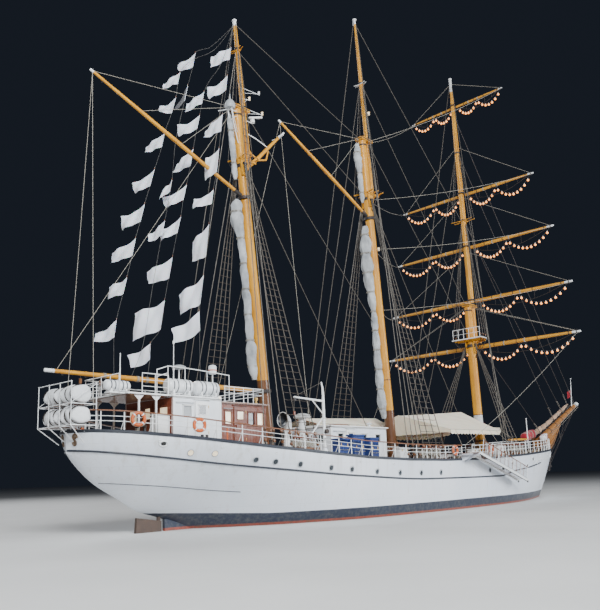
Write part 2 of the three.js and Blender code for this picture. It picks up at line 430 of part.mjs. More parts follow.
// ------------------------------------------------------------------ furled gaff sails brailed to the masts
// name, mast, stations [z, radius]
const FURLED = [
  ['mizzen_sail', 'mizzen', [[8.0, 0.16], [8.5, 0.32], [9.6, 0.33], [10.6, 0.27], [13, 0.26], [15.6, 0.23], [16.6, 0.3], [17.6, 0.44], [18.25, 0.4], [18.6, 0.2]]],
  ['mizzen_topsail', 'mizzen', [[19.9, 0.1], [20.3, 0.19], [22, 0.18], [23.4, 0.2], [23.9, 0.1]]],
  ['main_sail', 'main', [[6.2, 0.16], [6.8, 0.32], [9, 0.31], [12, 0.27], [13.8, 0.22], [15.2, 0.34], [16.8, 0.47], [18.4, 0.42], [19.5, 0.34], [20, 0.18]]],
  ['main_topsail', 'main', [[21.75, 0.1], [22.2, 0.2], [24, 0.22], [25.4, 0.33], [26.2, 0.15]]]];
for (const [name, mast, stations] of FURLED) {
  const m = MASTS[mast];
  const off = (r) => m.r0 + Math.max(r, 0.24) + 0.06;
  add(name, tube(stations.map(([z, r]) => [mastX(m, z) - off(r), 0, z]), stations.map((p) => p[1]), 10), CANVAS, 0.95);
}
{
  // head sails stowed along the port top of the bowsprit, and the covered bundle inboard of its heel:  [X, y, z, radius]
  const stow = [[45.4, 0.4, 5.2, 0.12], [46.2, 0.42, 5.4, 0.32], [47.6, 0.45, 5.62, 0.36], [48.9, 0.44, 5.98, 0.28], [50.5, 0.34, 6.58, 0.22],
    [53, 0.31, 7.6, 0.2], [55.3, 0.3, 8.56, 0.17], [56.1, 0.3, 8.88, 0.08]];
  add('head_sails', tube(stow.map((p) => p.slice(0, 3)), stow.map((p) => p[3]), 8), CANVAS, 0.95);
}

// ------------------------------------------------------------------ awnings over the waist: the main one with a hipped fore end, and a narrow one to port of the main mast
// [X, centre y, half width, ridge z, eave z]
const AWNINGS = [
  [[25.6, 0, 4.2, 6.5, 5.25], [30, 0, 4.25, 6.82, 5.3], [34.05, 0, 3.3, 7.15, 5.4], [36.2, 0, 2.3, 6.0, 5.75]],
  [[17.6, 2.15, 1.45, 6.15, 5.75], [25.75, 2.15, 1.45, 6.45, 5.75]]];
const AWNING_T = 0.045;
{
  const sheets = AWNINGS.map((stations) => {
    const pts = [], tris = [];
    for (const [x, yc, w, ridge, eave] of stations) {
      const top = [[-1, 0], [-0.5, 0.52], [0, 1], [0.5, 0.52], [1, 0]].map(([u, h]) => [yc + u * w, eave + (ridge - eave) * h]);
      for (const [y, z] of top) pts.push(mm(x, y, z));
      for (const [y, z] of top.slice().reverse()) pts.push(mm(x, y, z - AWNING_T));
    }
    for (let i = 0; i + 1 < stations.length; i++) {
      for (let k = 0; k < 10; k++) {
        const a = i * 10 + k, b = i * 10 + (k + 1) % 10, c = a + 10, d = b + 10;
        // the underside is split along the same diagonals as the top, so the cloth keeps its thickness
        if (k < 4) tris.push([a, c, d], [a, d, b]);
        else tris.push([a, c, b], [b, c, d]);
      }
    }
    const e = (stations.length - 1) * 10;
    for (let k = 0; k < 4; k++) {
      tris.push([k, k + 1, 9 - k], [k + 1, 8 - k, 9 - k]);
      tris.push([e + k, e + 9 - k, e + k + 1], [e + k + 1, e + 9 - k, e + 8 - k]);
    }
    return geometryFrom(pts, tris);
  });
  // the main stay passes through a slot in the ridge
  add('awning', joined(sheets, [block(32.9, 34.4, -0.12, 0.12, 6.2, 7.8)]), CREAM, 0.9);
}

// ------------------------------------------------------------------ gangway on the starboard side
{
  const { x, z, len, w, y, drop } = GW, a = Math.asin(drop / len), c = Math.cos(a), s = Math.sin(a);
  const at = (d, h) => [x + d * c + h * s, z - d * s + h * c];
  const quad = (d0, d1, h0, h1, ya, yb) => plateXZ([at(d0, h0), at(d1, h0), at(d1, h1), at(d0, h1)].map((p) => p), ya, yb);
  const pieces = [quad(-0.12, len, -0.12, 0.06, y, y + 0.06), quad(-0.12, len, -0.12, 0.06, y - w, y - w + 0.06)];
  for (let i = 0; i < 14; i++) { const d = 0.3 + i * 0.475; pieces.push(quad(d, d + 0.26, -0.02, 0.02, y - w + 0.03, y + 0.03)); }
  for (const yy of [y - w + 0.02]) {
    for (let i = 0; i < 5; i++) { const d = 0.25 + i * 1.55; pieces.push(quad(d, d + 0.05, 0, 0.95, yy - 0.01, yy + 0.03)); }
    pieces.push(quad(0.25, len - 0.28, 0.91, 0.95, yy - 0.01, yy + 0.03));
  }
  add('gangway', joined(pieces), WHITE);
}

// ------------------------------------------------------------------ deck fittings
{
  // windlass on the forecastle
  const z = deckTop(43.2, 0.55);
  const barrel = tube([[43.2, -1.0, z + 0.5], [43.2, 1.0, z + 0.5]], 0.24, 12);
  const cheeks = [-0.75, 0.6].map((y) => block(42.85, 43.55, y, y + 0.15, z, z + 0.8));
  add('windlass', joined([barrel, ...cheeks, block(42.7, 43.7, -0.8, 0.8, z, z + 0.08)]), STEEL, 0.5, 0.6);
  // cowl ventilators: name, x, y, height, radius
  for (const [name, x, y, h, r] of [['cowl_vent_port', 13.3, 1.9, 2.0, 0.24], ['cowl_vent_starboard', 11.9, -2.3, 1.85, 0.24]]) {
    const zb = deckTop(x, 0.3);
    const stem = tube([[x, y, zb], [x, y, zb + h * 0.62], [x, y, zb + h * 0.8]], [r, r * 0.9, r], 10);
    const head = name.startsWith('cowl')
      ? tube([[x + 0.1, y, zb + h * 0.78], [x + 0.02, y, zb + h * 0.95], [x - 0.32, y, zb + h * 0.98]], [r * 1.05, r * 1.25, r * 1.75], 10)
      : tube([[x, y, zb + h * 0.78], [x, y, zb + h * 0.9], [x, y, zb + h]], [r * 1.9, r * 1.8, r * 0.5], 10);
    const mouth = tube([[x - 0.1, y, zb + h * 0.98], [x - 0.4, y, zb + h * 0.985]], [r * 0.9, r * 1.5], 10);
    add(name, joined([stem, head], name.startsWith('cowl') ? [mouth] : []), WHITE);
  }
  // skylight between main mast and midship house
  const zs = deckTop(14.7, 0.75);
  const sk = plateXZ([[14.0, zs], [15.4, zs], [15.4, zs + 0.55], [14.7, zs + 0.85], [14.0, zs + 0.55]], -0.7, 0.7);
  add('skylight', sk, VARNISH);
}
// anchors in their hawse, port and starboard: shank, flukes, stock
// half breadths of the shank's ends and [X, half breadth, z] along the flukes, just off the shell
const SHANK_TOP = 2.27, SHANK_FOOT = 1.94;
const FLUKES = [[44.65, 2.32, 2.75], [44.9, 2.1, 2.42], [45.2, 1.94, 2.28], [45.5, 1.85, 2.42], [45.75, 1.82, 2.75]];
for (const [name, s] of [['anchor_port', 1], ['anchor_starboard', -1]]) {
  const shank = tube([[45.2, s * SHANK_TOP, 3.5], [45.2, s * SHANK_FOOT, 2.3]], 0.07, 8);
  const arms = tube(FLUKES.map(([x, y, z]) => [x, s * y, z]), [0.04, 0.09, 0.1, 0.09, 0.04], 8);
  add(name, joined([shank, arms]), 0x2b2d30, 0.6, 0.5);
}

export default ship;
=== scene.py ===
import bpy, math, random
import numpy as np
from mathutils import Vector, Matrix


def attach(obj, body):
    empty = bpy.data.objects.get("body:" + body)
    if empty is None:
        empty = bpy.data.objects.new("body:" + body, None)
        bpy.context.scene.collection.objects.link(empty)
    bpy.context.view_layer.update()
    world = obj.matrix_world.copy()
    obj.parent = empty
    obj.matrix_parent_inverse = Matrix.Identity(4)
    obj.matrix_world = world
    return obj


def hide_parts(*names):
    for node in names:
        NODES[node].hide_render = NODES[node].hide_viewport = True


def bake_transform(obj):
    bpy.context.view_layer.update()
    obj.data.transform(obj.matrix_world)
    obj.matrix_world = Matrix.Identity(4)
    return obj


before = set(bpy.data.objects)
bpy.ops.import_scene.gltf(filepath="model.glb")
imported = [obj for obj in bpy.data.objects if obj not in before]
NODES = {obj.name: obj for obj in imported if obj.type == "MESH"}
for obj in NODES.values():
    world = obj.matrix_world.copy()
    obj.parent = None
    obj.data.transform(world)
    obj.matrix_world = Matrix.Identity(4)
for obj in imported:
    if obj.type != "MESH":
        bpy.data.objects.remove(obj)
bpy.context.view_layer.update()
rng = random.Random(11)

# Every table below is in metres of the full-size ship (X forward from the stern,
# Y to port, Z up from the water); S and X0 bring them to the 1:2 model.
S, X0 = 0.5, 25.0


# ------------------------------------------------------------------ camera
def camera():
    yaw, pitch, roll = map(math.radians, (46.62, 10.05, 1.72))
    fwd = Vector((math.sin(yaw) * math.cos(pitch), math.cos(yaw) * math.cos(pitch), math.sin(pitch)))
    right = Vector((math.cos(yaw), -math.sin(yaw), 0))
    up = right.cross(fwd)
    r = right * math.cos(roll) - up * math.sin(roll)
    u = right * math.sin(roll) + up * math.cos(roll)
    data = bpy.data.cameras.new("camera")
    data.sensor_fit, data.sensor_width = "AUTO", 36
    data.lens = 700.045 / 610 * 36
    data.shift_x, data.shift_y = (300 - 297.972) / 610, (350.38 - 305) / 610
    data.clip_start, data.clip_end = 0.1, 500
    o = bpy.data.objects.new("camera", data)
    m = Matrix(((r.x, u.x, -fwd.x), (r.y, u.y, -fwd.y), (r.z, u.z, -fwd.z)))
    o.matrix_world = Matrix.Translation((-20.3735, -14.6875, 1.2725)) @ m.to_4x4()
    bpy.context.scene.collection.objects.link(o)
    bpy.context.scene.camera = o


camera()


# ------------------------------------------------------------------ interpolation
class Curve:
    """Monotone cubic through the rows of a table."""

    def __init__(self, table, col=1):
        self.x = np.array([r[0] for r in table], float)
        self.y = np.array([r[col] for r in table], float)
        h, d = np.diff(self.x), np.diff(self.y) / np.diff(self.x)
        m = np.zeros(len(self.x))
        for i in range(1, len(m) - 1):
            if d[i - 1] * d[i] > 0:
                w1, w2 = 2 * h[i] + h[i - 1], h[i] + 2 * h[i - 1]
                m[i] = (w1 + w2) / (w1 / d[i - 1] + w2 / d[i])
        m[0], m[-1] = d[0], d[-1]
        self.m, self.h = m, h

    def __call__(self, x):
        x = min(max(x, self.x[0]), self.x[-1])
        i = int(min(max(np.searchsorted(self.x, x) - 1, 0), len(self.h) - 1))
        h = self.h[i]
        t = (x - self.x[i]) / h
        return float((2 * t**3 - 3 * t**2 + 1) * self.y[i] + (t**3 - 2 * t**2 + t) * h * self.m[i]
                     + (-2 * t**3 + 3 * t**2) * self.y[i + 1] + (t**3 - t**2) * h * self.m[i + 1])


SHEER = [[0, 4.72], [1.6, 4.63], [2.7, 4.53], [4.3, 4.39], [7.1, 4.1], [9.7, 3.86], [15.3, 3.4],
         [18.9, 3.25], [22.7, 3.17], [28, 3.22], [35, 3.48], [39.9, 3.75], [45, 4.02], [49.9, 4.29]]
BREADTH = [[0, 0.02], [0.25, 0.95], [0.6, 1.58], [1.2, 2.08], [2, 2.55], [4, 3.28], [7, 3.95], [11, 4.45], [16, 4.68],
           [24, 4.75], [31, 4.68], [36, 4.38], [40, 3.78], [44, 2.72], [47, 1.52], [49, 0.5], [49.9, 0.03]]
BOTTOM = [[0, 3.83], [1.42, 2.4], [2.82, 1.56], [3.69, 1.05], [5, 0.66], [6.6, 0.1], [9, -1.35], [12, -2.6], [16, -3.35],
          [22, -3.7], [30, -3.75], [38, -3.6], [42, -3.1], [44.5, -2.35], [46, -1.3], [46.9, 0], [47.42, 1.4], [48.87, 3.02], [49.9, 4.2]]
FULL = [[0, 1.6, 1.5], [3.7, 1.45, 1.25], [7, 1.35, 1.0], [12, 1.7, 1.25], [18, 2.6, 1.9], [24, 3.1, 2.3], [32, 2.7, 2.0],
        [38, 1.9, 1.35], [43, 1.45, 1.0], [47, 1.25, 0.85], [49.9, 1.1, 1.0]]
_dz, _dy, _bz, _fn, _fm = Curve(SHEER), Curve(BREADTH), Curve(BOTTOM), Curve(FULL, 1), Curve(FULL, 2)


def lin(table, x, col=1):
    return float(np.interp(x, [r[0] for r in table], [r[col] for r in table]))


HULL_X = [0, .25, .6, 1.2, 2, 2.82, 3.69, 5, 6.6, 9, 12, 16, 20, 24, 28, 32, 36, 39, 42, 44.5, 46, 46.9, 47.42, 48.1, 48.87, 49.4, 49.9]


def deck_z(x):
    return float(np.interp(x, HULL_X, [lin(SHEER, v) for v in HULL_X]))


def deck_y(x):
    return _dy(x)


def hull_y(x, z):
    zd, zb = deck_z(x), _bz(x)
    t = min(max((z - zb) / (zd - zb), 0.0), 1.0)
    return max(_dy(x) * (1 - (1 - t) ** _fn(x)) ** (1 / _fm(x)), 0.012)


def hull_normal(x, z, s):
    e = 0.05
    y = hull_y(x, z)
    dydx = (hull_y(x + e, z) - hull_y(x - e, z)) / (2 * e)
    dydz = (hull_y(x, z + e) - hull_y(x, z - e)) / (2 * e)
    return Vector((-dydx, s, -dydz)).normalized()


# ------------------------------------------------------------------ mesh builder
class MB:
    def __init__(self):
        self.v, self.f, self.m = [], [], []

    def add(self, verts, faces, mat=0):
        o = len(self.v)
        self.v.extend([tuple(map(float, p)) for p in verts])
        self.f.extend([tuple(i + o for i in f) for f in faces])
        self.m.extend([mat] * len(faces) if isinstance(mat, int) else mat)

    def tube(self, pts, r, n=8, mat=0, caps=True, squash=None):
        """Tube through points; squash=(a, b) scales the section across and upward."""
        p = [Vector(q) for q in pts]
        k = len(p)
        rr = [r] * k if isinstance(r, (int, float)) else list(r)
        t0 = (p[1] - p[0]).normalized()
        u = Vector((0, 0, 1)).cross(t0)
        if u.length < 0.05:
            u = Vector((0, 1, 0))
            u = (u - t0 * u.dot(t0))
        u.normalize()
        verts, faces = [], []
        a, b = squash or (1, 1)
        for i in range(k):
            t = (p[min(i + 1, k - 1)] - p[max(i - 1, 0)]).normalized()
            u = (u - t * u.dot(t)).normalized()
            w = t.cross(u)
            for j in range(n):
                g = 2 * math.pi * (j + 0.5) / n
                verts.append(p[i] + u * (rr[i] * a * math.cos(g)) + w * (rr[i] * b * math.sin(g)))
        for i in range(k - 1):
            for j in range(n):
                c, d = i * n + j, i * n + (j + 1) % n
                faces.append((c, d, d + n, c + n))
        if caps:
            faces.append(tuple(reversed(range(n))))
            faces.append(tuple(range((k - 1) * n, k * n)))
        self.add(verts, faces, mat)

    def rope(self, a, b, r=0.018, mat=0, sag=0.0, n=5):
        if sag:
            a, b = Vector(a), Vector(b)
            pts = [a.lerp(b, i / 8) - Vector((0, 0, 4 * sag * (i / 8) * (1 - i / 8))) for i in range(9)]
        else:
            pts = [a, b]
        self.tube(pts, r, n, mat)

    def lathe(self, o, axis, prof, n=20, mat=0):
        """prof: (distance along the axis, radius); ends on the axis are closed by their radius 0."""
        o, ax = Vector(o), Vector(axis).normalized()
        u = ax.cross(Vector((0, 0, 1)))
        if u.length < 0.05:
            u = ax.cross(Vector((0, 1, 0)))
        u.normalize()
        w = ax.cross(u)
        verts, faces, rings = [], [], []
        for h, r in prof:
            if r < 1e-6:
                rings.append([len(verts)])
                verts.append(o + ax * h)
            else:
                rings.append(list(range(len(verts), len(verts) + n)))
                for j in range(n):
                    g = 2 * math.pi * j / n
                    verts.append(o + ax * h + (u * math.cos(g) + w * math.sin(g)) * r)
        for A, B in zip(rings, rings[1:]):
            if len(A) == 1 and len(B) == 1:
                continue
            for j in range(n):
                k = (j + 1) % n
                if len(A) == 1:
                    faces.append((A[0], B[k], B[j]))
                elif len(B) == 1:
                    faces.append((A[j], A[k], B[0]))
                else:
                    faces.append((A[j], A[k], B[k], B[j]))
        if len(rings[0]) > 1:
            faces.append(tuple(reversed(rings[0])))
        if len(rings[-1]) > 1:
            faces.append(tuple(rings[-1]))
        faces = [tuple(reversed(f)) for f in faces]
        self.add(verts, faces, mat)

    def ring(self, o, axis, R, r, n=24, m=8, mat=0):
        """Torus."""
        o, ax = Vector(o), Vector(axis).normalized()
        u = ax.cross(Vector((0, 0, 1)))
        if u.length < 0.05:
            u = ax.cross(Vector((0, 1, 0)))
        u.normalize()
        w = ax.cross(u)
        verts, faces = [], []
        for i in range(n):
            g = 2 * math.pi * i / n
            d = u * math.cos(g) + w * math.sin(g)
            for j in range(m):
                q = 2 * math.pi * j / m
                verts.append(o + d * (R + r * math.cos(q)) + ax * (r * math.sin(q)))
        for i in range(n):
            for j in range(m):
                a, b = i * m + j, i * m + (j + 1) % m
                c, d = ((i + 1) % n) * m + j, ((i + 1) % n) * m + (j + 1) % m
                faces.append((a, b, d, c))
        self.add(verts, faces, mat)

    def ball(self, o, r, n=12, mat=0, sz=1.0):
        k = max(4, n // 2)
        self.lathe(Vector(o) - Vector((0, 0, r * sz)), (0, 0, 1),
                   [(r * sz * (1 - math.cos(math.pi * i / k)), r * math.sin(math.pi * i / k) if 0 < i < k else 0) for i in range(k + 1)], n, mat)

    def obox(self, c, ex, ey, ez, hx, hy, hz, mat=0, ch=0.012):
        """Box with chamfered edges: centre, three unit vectors, three half sizes."""
        c, ex, ey, ez = Vector(c), Vector(ex), Vector(ey), Vector(ez)
        ch = min(ch, hx * 0.45, hy * 0.45, hz * 0.45)
        verts, idx = [], {}
        for sx in (-1, 1):
            for sy in (-1, 1):
                for sz in (-1, 1):
                    for k in range(3):
                        d = [hx, hy, hz]
                        e = [d[i] if i == k else d[i] - ch for i in range(3)]
                        idx[(sx, sy, sz, k)] = len(verts)
                        verts.append(c + ex * (sx * e[0]) + ey * (sy * e[1]) + ez * (sz * e[2]))
        faces = []

        def face(keys):
            f = [idx[k] for k in keys]
            q = [verts[i] for i in f]
            n = (q[1] - q[0]).cross(q[2] - q[0])
            if n.dot(sum(q, Vector()) / len(q) - c) < 0:
                f.reverse()
            faces.append(tuple(f))
        for k in range(3):
            a, b = [i for i in range(3) if i != k]
            for s in (-1, 1):
                keys = []
                for sa, sb in ((-1, -1), (1, -1), (1, 1), (-1, 1)):
                    t = [0, 0, 0]
                    t[k], t[a], t[b] = s, sa, sb
                    keys.append((*t, k))
                face(keys)
            # the four edges parallel to k
            for sa in (-1, 1):
                for sb in (-1, 1):
                    t1, t2 = [0, 0, 0], [0, 0, 0]
                    t1[a], t1[b], t1[k] = sa, sb, -1
                    t2[a], t2[b], t2[k] = sa, sb, 1
                    face([(*t1, a), (*t2, a), (*t2, b), (*t1, b)])
        for sx in (-1, 1):
            for sy in (-1, 1):
                for sz in (-1, 1):
                    face([(sx, sy, sz, 0), (sx, sy, sz, 1), (sx, sy, sz, 2)])
        self.add(verts, faces, mat)

    def box(self, x0, x1, y0, y1, z0, z1, mat=0, ch=0.012):
        self.obox(((x0 + x1) / 2, (y0 + y1) / 2, (z0 + z1) / 2), (1, 0, 0), (0, 1, 0), (0, 0, 1),
                  abs(x1 - x0) / 2, abs(y1 - y0) / 2, abs(z1 - z0) / 2, mat, ch)

    def grid(self, rows, mat=0, wrap=False, flip=False):
        n = len(rows[0])
        verts = [p for r in rows for p in r]
        faces = []
        for i in range(len(rows) - 1):
            for j in range(n if wrap else n - 1):
                a, b = i * n + j, i * n + (j + 1) % n
                f = (a, b, b + n, a + n)
                faces.append(tuple(reversed(f)) if flip else f)
        self.add(verts, faces, mat)

    def sweep(self, path, prof, side, mat=0, closed=True):
        """Sweeps a closed profile of (out, up) along a path in plan; out points away from the centreline on that side."""
        p = [Vector(q) for q in path]
        k, n = len(p), len(prof)
        verts, faces = [], []
        for i in range(k):
            t = p[min(i + 1, k - 1)] - p[max(i - 1, 0)]
            t.z = 0
            t.normalize()
            o = Vector((t.y, -t.x, 0)) * (1 if side < 0 else -1)
            for a, b in prof:
                verts.append(p[i] + o * a + Vector((0, 0, b)))
        for i in range(k - 1):
            for j in range(n):
                c, d = i * n + j, i * n + (j + 1) % n
                f = (c, d, d + n, c + n)
                faces.append(f if side > 0 else tuple(reversed(f)))
        a, b = tuple(range(n)), tuple(range((k - 1) * n, k * n))
        faces.append(tuple(reversed(a)) if side > 0 else a)
        faces.append(b if side > 0 else tuple(reversed(b)))
        self.add(verts, faces, mat)

    def prism(self, outline, frame_, h, mat=0):
        """Flat outline of (a, b) extruded along the third axis of frame_ = (origin, ea, eb, en), half depth h."""
        o, ea, eb, en = [Vector(q) for q in frame_]
        n = len(outline)
        verts = [o + ea * a + eb * b + en * s for s in (-h, h) for a, b in outline]
        faces = [tuple(reversed(range(n))), tuple(range(n, 2 * n))]
        faces += [(j, (j + 1) % n, n + (j + 1) % n, n + j) for j in range(n)]
        self.add(verts, faces, mat)

    def build(self, name, mats, body="ship", replaces=(), slot=None, smooth=38, ride=True, fix=True):
        me = bpy.data.meshes.new(name)
        v = np.array(self.v, float)
        v = (v - np.array([X0, 0, 0])) * S
        me.from_pydata(v.tolist(), [], self.f)
        me.validate()
        for m in (mats if isinstance(mats, (list, tuple)) else [mats]):
            me.materials.append(m)
        if len(me.polygons) == len(self.m):
            me.polygons.foreach_set("material_index", self.m)
        me.polygons.foreach_set("use_smooth", [True] * len(me.polygons))
        if fix:
            import bmesh
            bm = bmesh.new()
            bm.from_mesh(me)
            bmesh.ops.recalc_face_normals(bm, faces=bm.faces)
            bm.to_mesh(me)
            bm.free()
        me.set_sharp_from_angle(angle=math.radians(smooth))
        o = bpy.data.objects.new(name, me)
        bpy.context.scene.collection.objects.link(o)
        if ride:
            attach(o, body)
        if replaces:
            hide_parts(*([replaces] if isinstance(replaces, str) else replaces))
        return o


# ------------------------------------------------------------------ materials
class Mat:
    """A small helper around one node material."""

    def __init__(self, name, base, rough=0.5, metal=0.0, coat=0.0, sheen=0.0, spec=0.5):
        self.m = bpy.data.materials.new(name)
        self.m.use_nodes = True
        self.t = self.m.node_tree
        self.bsdf = next(n for n in self.t.nodes if n.type == "BSDF_PRINCIPLED")
        b = self.bsdf.inputs
        b["Base Color"].default_value = (*base, 1)
        b["Roughness"].default_value = rough
        b["Metallic"].default_value = metal
        b["Specular IOR Level"].default_value = spec
        if coat:
            b["Coat Weight"].default_value = coat
            b["Coat Roughness"].default_value = 0.12
        if sheen:
            b["Sheen Weight"].default_value = sheen
            b["Sheen Roughness"].default_value = 0.5
        self.co = self.n("ShaderNodeTexCoord").outputs["Object"]
        self._bump = None

    def n(self, kind, **props):
        node = self.t.nodes.new(kind)
        for k, v in props.items():
            setattr(node, k, v)
        return node

    def link(self, a, b):
        self.t.links.new(a, b)

    def put(self, sock, v):
        if isinstance(v, bpy.types.NodeSocket):
            self.link(v, sock)
        elif isinstance(v, (tuple, list)):
            sock.default_value = (*v, 1) if len(v) == 3 and len(sock.default_value) == 4 else v
        else:
            sock.default_value = v

    def map(self, scale=(1, 1, 1), rot=(0, 0, 0), loc=(0, 0, 0), vec=None):
        m = self.n("ShaderNodeMapping")
        m.inputs["Scale"].default_value = scale if isinstance(scale, (tuple, list)) else (scale,) * 3
        m.inputs["Rotation"].default_value = rot
        m.inputs["Location"].default_value = loc
        self.link(vec or self.co, m.inputs["Vector"])
        return m.outputs[0]

    def noise(self, scale=5, detail=4, rough=0.55, vec=None, distort=0):
        m = self.n("ShaderNodeTexNoise")
        m.inputs["Scale"].default_value = scale
        m.inputs["Detail"].default_value = detail
        m.inputs["Roughness"].default_value = rough
        m.inputs["Distortion"].default_value = distort
        self.link(vec or self.co, m.inputs["Vector"])
        return m.outputs["Fac"]

    def wave(self, scale=20, distort=1, detail=2, vec=None, direction="X", kind="BANDS", profile="SIN"):
        m = self.n("ShaderNodeTexWave", wave_type=kind, wave_profile=profile)
        if kind == "BANDS":
            m.bands_direction = direction
        m.inputs["Scale"].default_value = scale
        m.inputs["Distortion"].default_value = distort
        m.inputs["Detail"].default_value = detail
        self.link(vec or self.co, m.inputs["Vector"])
        return m.outputs["Fac"]

    def brick(self, vec, w, h, mortar=0.01, offset=0.5, c1=(1, 1, 1), c2=(0.6, 0.6, 0.6)):
        m = self.n("ShaderNodeTexBrick", offset=offset)
        m.inputs["Scale"].default_value = 1
        m.inputs["Brick Width"].default_value = w
        m.inputs["Row Height"].default_value = h
        m.inputs["Mortar Size"].default_value = mortar
        m.inputs["Mortar Smooth"].default_value = 0.2
        m.inputs["Color1"].default_value = (*c1, 1)
        m.inputs["Color2"].default_value = (*c2, 1)
        self.link(vec, m.inputs["Vector"])
        return m.outputs["Color"], m.outputs["Fac"]

    def ramp(self, fac, *stops):
        m = self.n("ShaderNodeValToRGB")
        e = m.color_ramp.elements
        while len(e) < len(stops):
            e.new(0.5)
        for el, (p, c) in zip(e, stops):
            el.position = p
            el.color = (c, c, c, 1) if isinstance(c, (int, float)) else (*c, 1)
        self.link(fac, m.inputs[0])
        return m.outputs[0]

    def mix(self, fac, a, b, mode="MIX"):
        m = self.n("ShaderNodeMix", data_type="RGBA", blend_type=mode)
        self.put(m.inputs[0], fac)
        self.put(m.inputs[6], a)
        self.put(m.inputs[7], b)
        return m.outputs[2]

    def math(self, op, a, b=0.0, clamp=False):
        m = self.n("ShaderNodeMath", operation=op, use_clamp=clamp)
        self.put(m.inputs[0], a)
        self.put(m.inputs[1], b)
        return m.outputs[0]

    def xyz(self):
        m = self.n("ShaderNodeSeparateXYZ")
        self.link(self.co, m.inputs[0])
        return m.outputs

    def vec(self, x, y, z):
        m = self.n("ShaderNodeCombineXYZ")
        for s, v in zip(m.inputs, (x, y, z)):
            self.put(s, v)
        return m.outputs[0]

    def bump(self, height, strength=0.3, dist=0.01):
        m = self.n("ShaderNodeBump")
        m.inputs["Strength"].default_value = strength
        m.inputs["Distance"].default_value = dist
        self.link(height, m.inputs["Height"])
        if self._bump is not None:
            self.link(self._bump, m.inputs["Normal"])
        self._bump = m.outputs[0]
        self.link(self._bump, self.bsdf.inputs["Normal"])

    def color(self, c):
        self.link(c, self.bsdf.inputs["Base Color"])

    def rough(self, lo, hi, fac):
        r = self.n("ShaderNodeMapRange")
        r.inputs["To Min"].default_value = lo
        r.inputs["To Max"].default_value = hi
        self.link(fac, r.inputs["Value"])
        self.link(r.outputs[0], self.bsdf.inputs["Roughness"])

    def emit(self, c, k):
        self.bsdf.inputs["Emission Color"].default_value = (*c, 1)
        self.bsdf.inputs["Emission Strength"].default_value = k


def hull_paint():
    m = Mat("hull_paint_white", (0.82, 0.85, 0.9), 0.4, coat=0.25)
    x, y, z = m.xyz()
    base = m.mix(m.ramp(m.noise(0.5, 3), (0.35, 0.0), (0.7, 1.0)), (0.80, 0.83, 0.88), (0.70, 0.745, 0.82))
    # dirt drawn down from the deck edge and scuppers
    streak = m.noise(1, 6, 0.6, m.map((5.5, 5.5, 0.28)))
    near_top = m.math("MULTIPLY", m.math("SUBTRACT", z, 0.6, True), 0.55)
    base = m.mix(m.math("MULTIPLY", m.ramp(streak, (0.52, 0.0), (0.74, 1.0)), near_top), base, (0.50, 0.49, 0.46))
    fine = m.noise(1, 5, 0.6, m.map((16, 16, 0.7)))
    base = m.mix(m.math("MULTIPLY", m.ramp(fine, (0.6, 0.0), (0.78, 1.0)), 0.35), base, (0.43, 0.30, 0.2))
    # plating: long strakes with butts, the welds just visible
    pc, pf = m.brick(m.vec(x, z, 0.0), 3.1, 0.52, 0.006)
    base = m.mix(m.math("MULTIPLY", pf, 0.22), base, (0.45, 0.48, 0.52))
    # rust weeping just above the boot top
    rust = m.ramp(m.noise(3.2, 8, 0.65, m.map((1, 1, 0.45))), (0.6, 0.0), (0.72, 1.0))
    low = m.math("SUBTRACT", 0.85, z, True)
    base = m.mix(m.math("MULTIPLY", rust, m.math("MULTIPLY", low, 0.8, True)), base, (0.36, 0.17, 0.07))
    # boot top rises towards the stern
    edge = m.math("ADD", 0.315, m.math("MULTIPLY", m.math("MAXIMUM", m.math("SUBTRACT", -7.5, x), 0.0), 0.0492))
    wob = m.math("MULTIPLY", m.math("SUBTRACT", m.noise(1.2, 2), 0.5), 0.012)
    boot = m.math("LESS_THAN", z, m.math("ADD", edge, wob))
    navy = m.mix(m.ramp(m.noise(9, 6, 0.7), (0.45, 0.0), (0.75, 1.0)), (0.012, 0.02, 0.045), (0.08, 0.085, 0.085))
    base = m.mix(boot, base, navy)
    foul = m.math("LESS_THAN", z, m.math("ADD", 0.07, wob))
    red = m.mix(m.ramp(m.noise(14, 8, 0.7), (0.4, 0.0), (0.7, 1.0)), (0.30, 0.055, 0.035), (0.12, 0.05, 0.03))
    growth = m.ramp(m.noise(6, 7, 0.7), (0.55, 0.0), (0.68, 1.0))
    red = m.mix(m.math("MULTIPLY", growth, 0.7), red, (0.07, 0.085, 0.035))
    m.color(m.mix(foul, base, red))
    m.rough(0.28, 0.62, m.noise(2.5, 5))
    m.bump(pf, 0.25, 0.004)
    m.bump(m.noise(1.3, 2), 0.35, 0.03)
    m.bump(m.noise(60, 4), 0.06, 0.002)
    return m.m


def paint(name, c, c2=None, rough=0.4, coat=0.2, wear=(0.3, 0.2, 0.12), amount=0.35, stretch=(1, 1, 1), scale=6):
    m = Mat(name, c, rough, coat=coat)
    c2 = c2 or tuple(v * 0.8 for v in c)
    b = m.mix(m.ramp(m.noise(scale * 0.4, 4, 0.6, m.map(stretch)), (0.35, 0.0), (0.7, 1.0)), c, c2)
    grime = m.ramp(m.noise(scale * 2.2, 8, 0.68, m.map(stretch)), (0.58, 0.0), (0.76, 1.0))
    m.color(m.mix(m.math("MULTIPLY", grime, amount), b, wear))
    m.rough(rough - 0.12, rough + 0.22, m.noise(scale, 5))
    m.bump(m.noise(scale * 9, 4), 0.12, 0.003)
    m.bump(m.noise(scale * 1.5, 3), 0.15, 0.006)
    return m.m


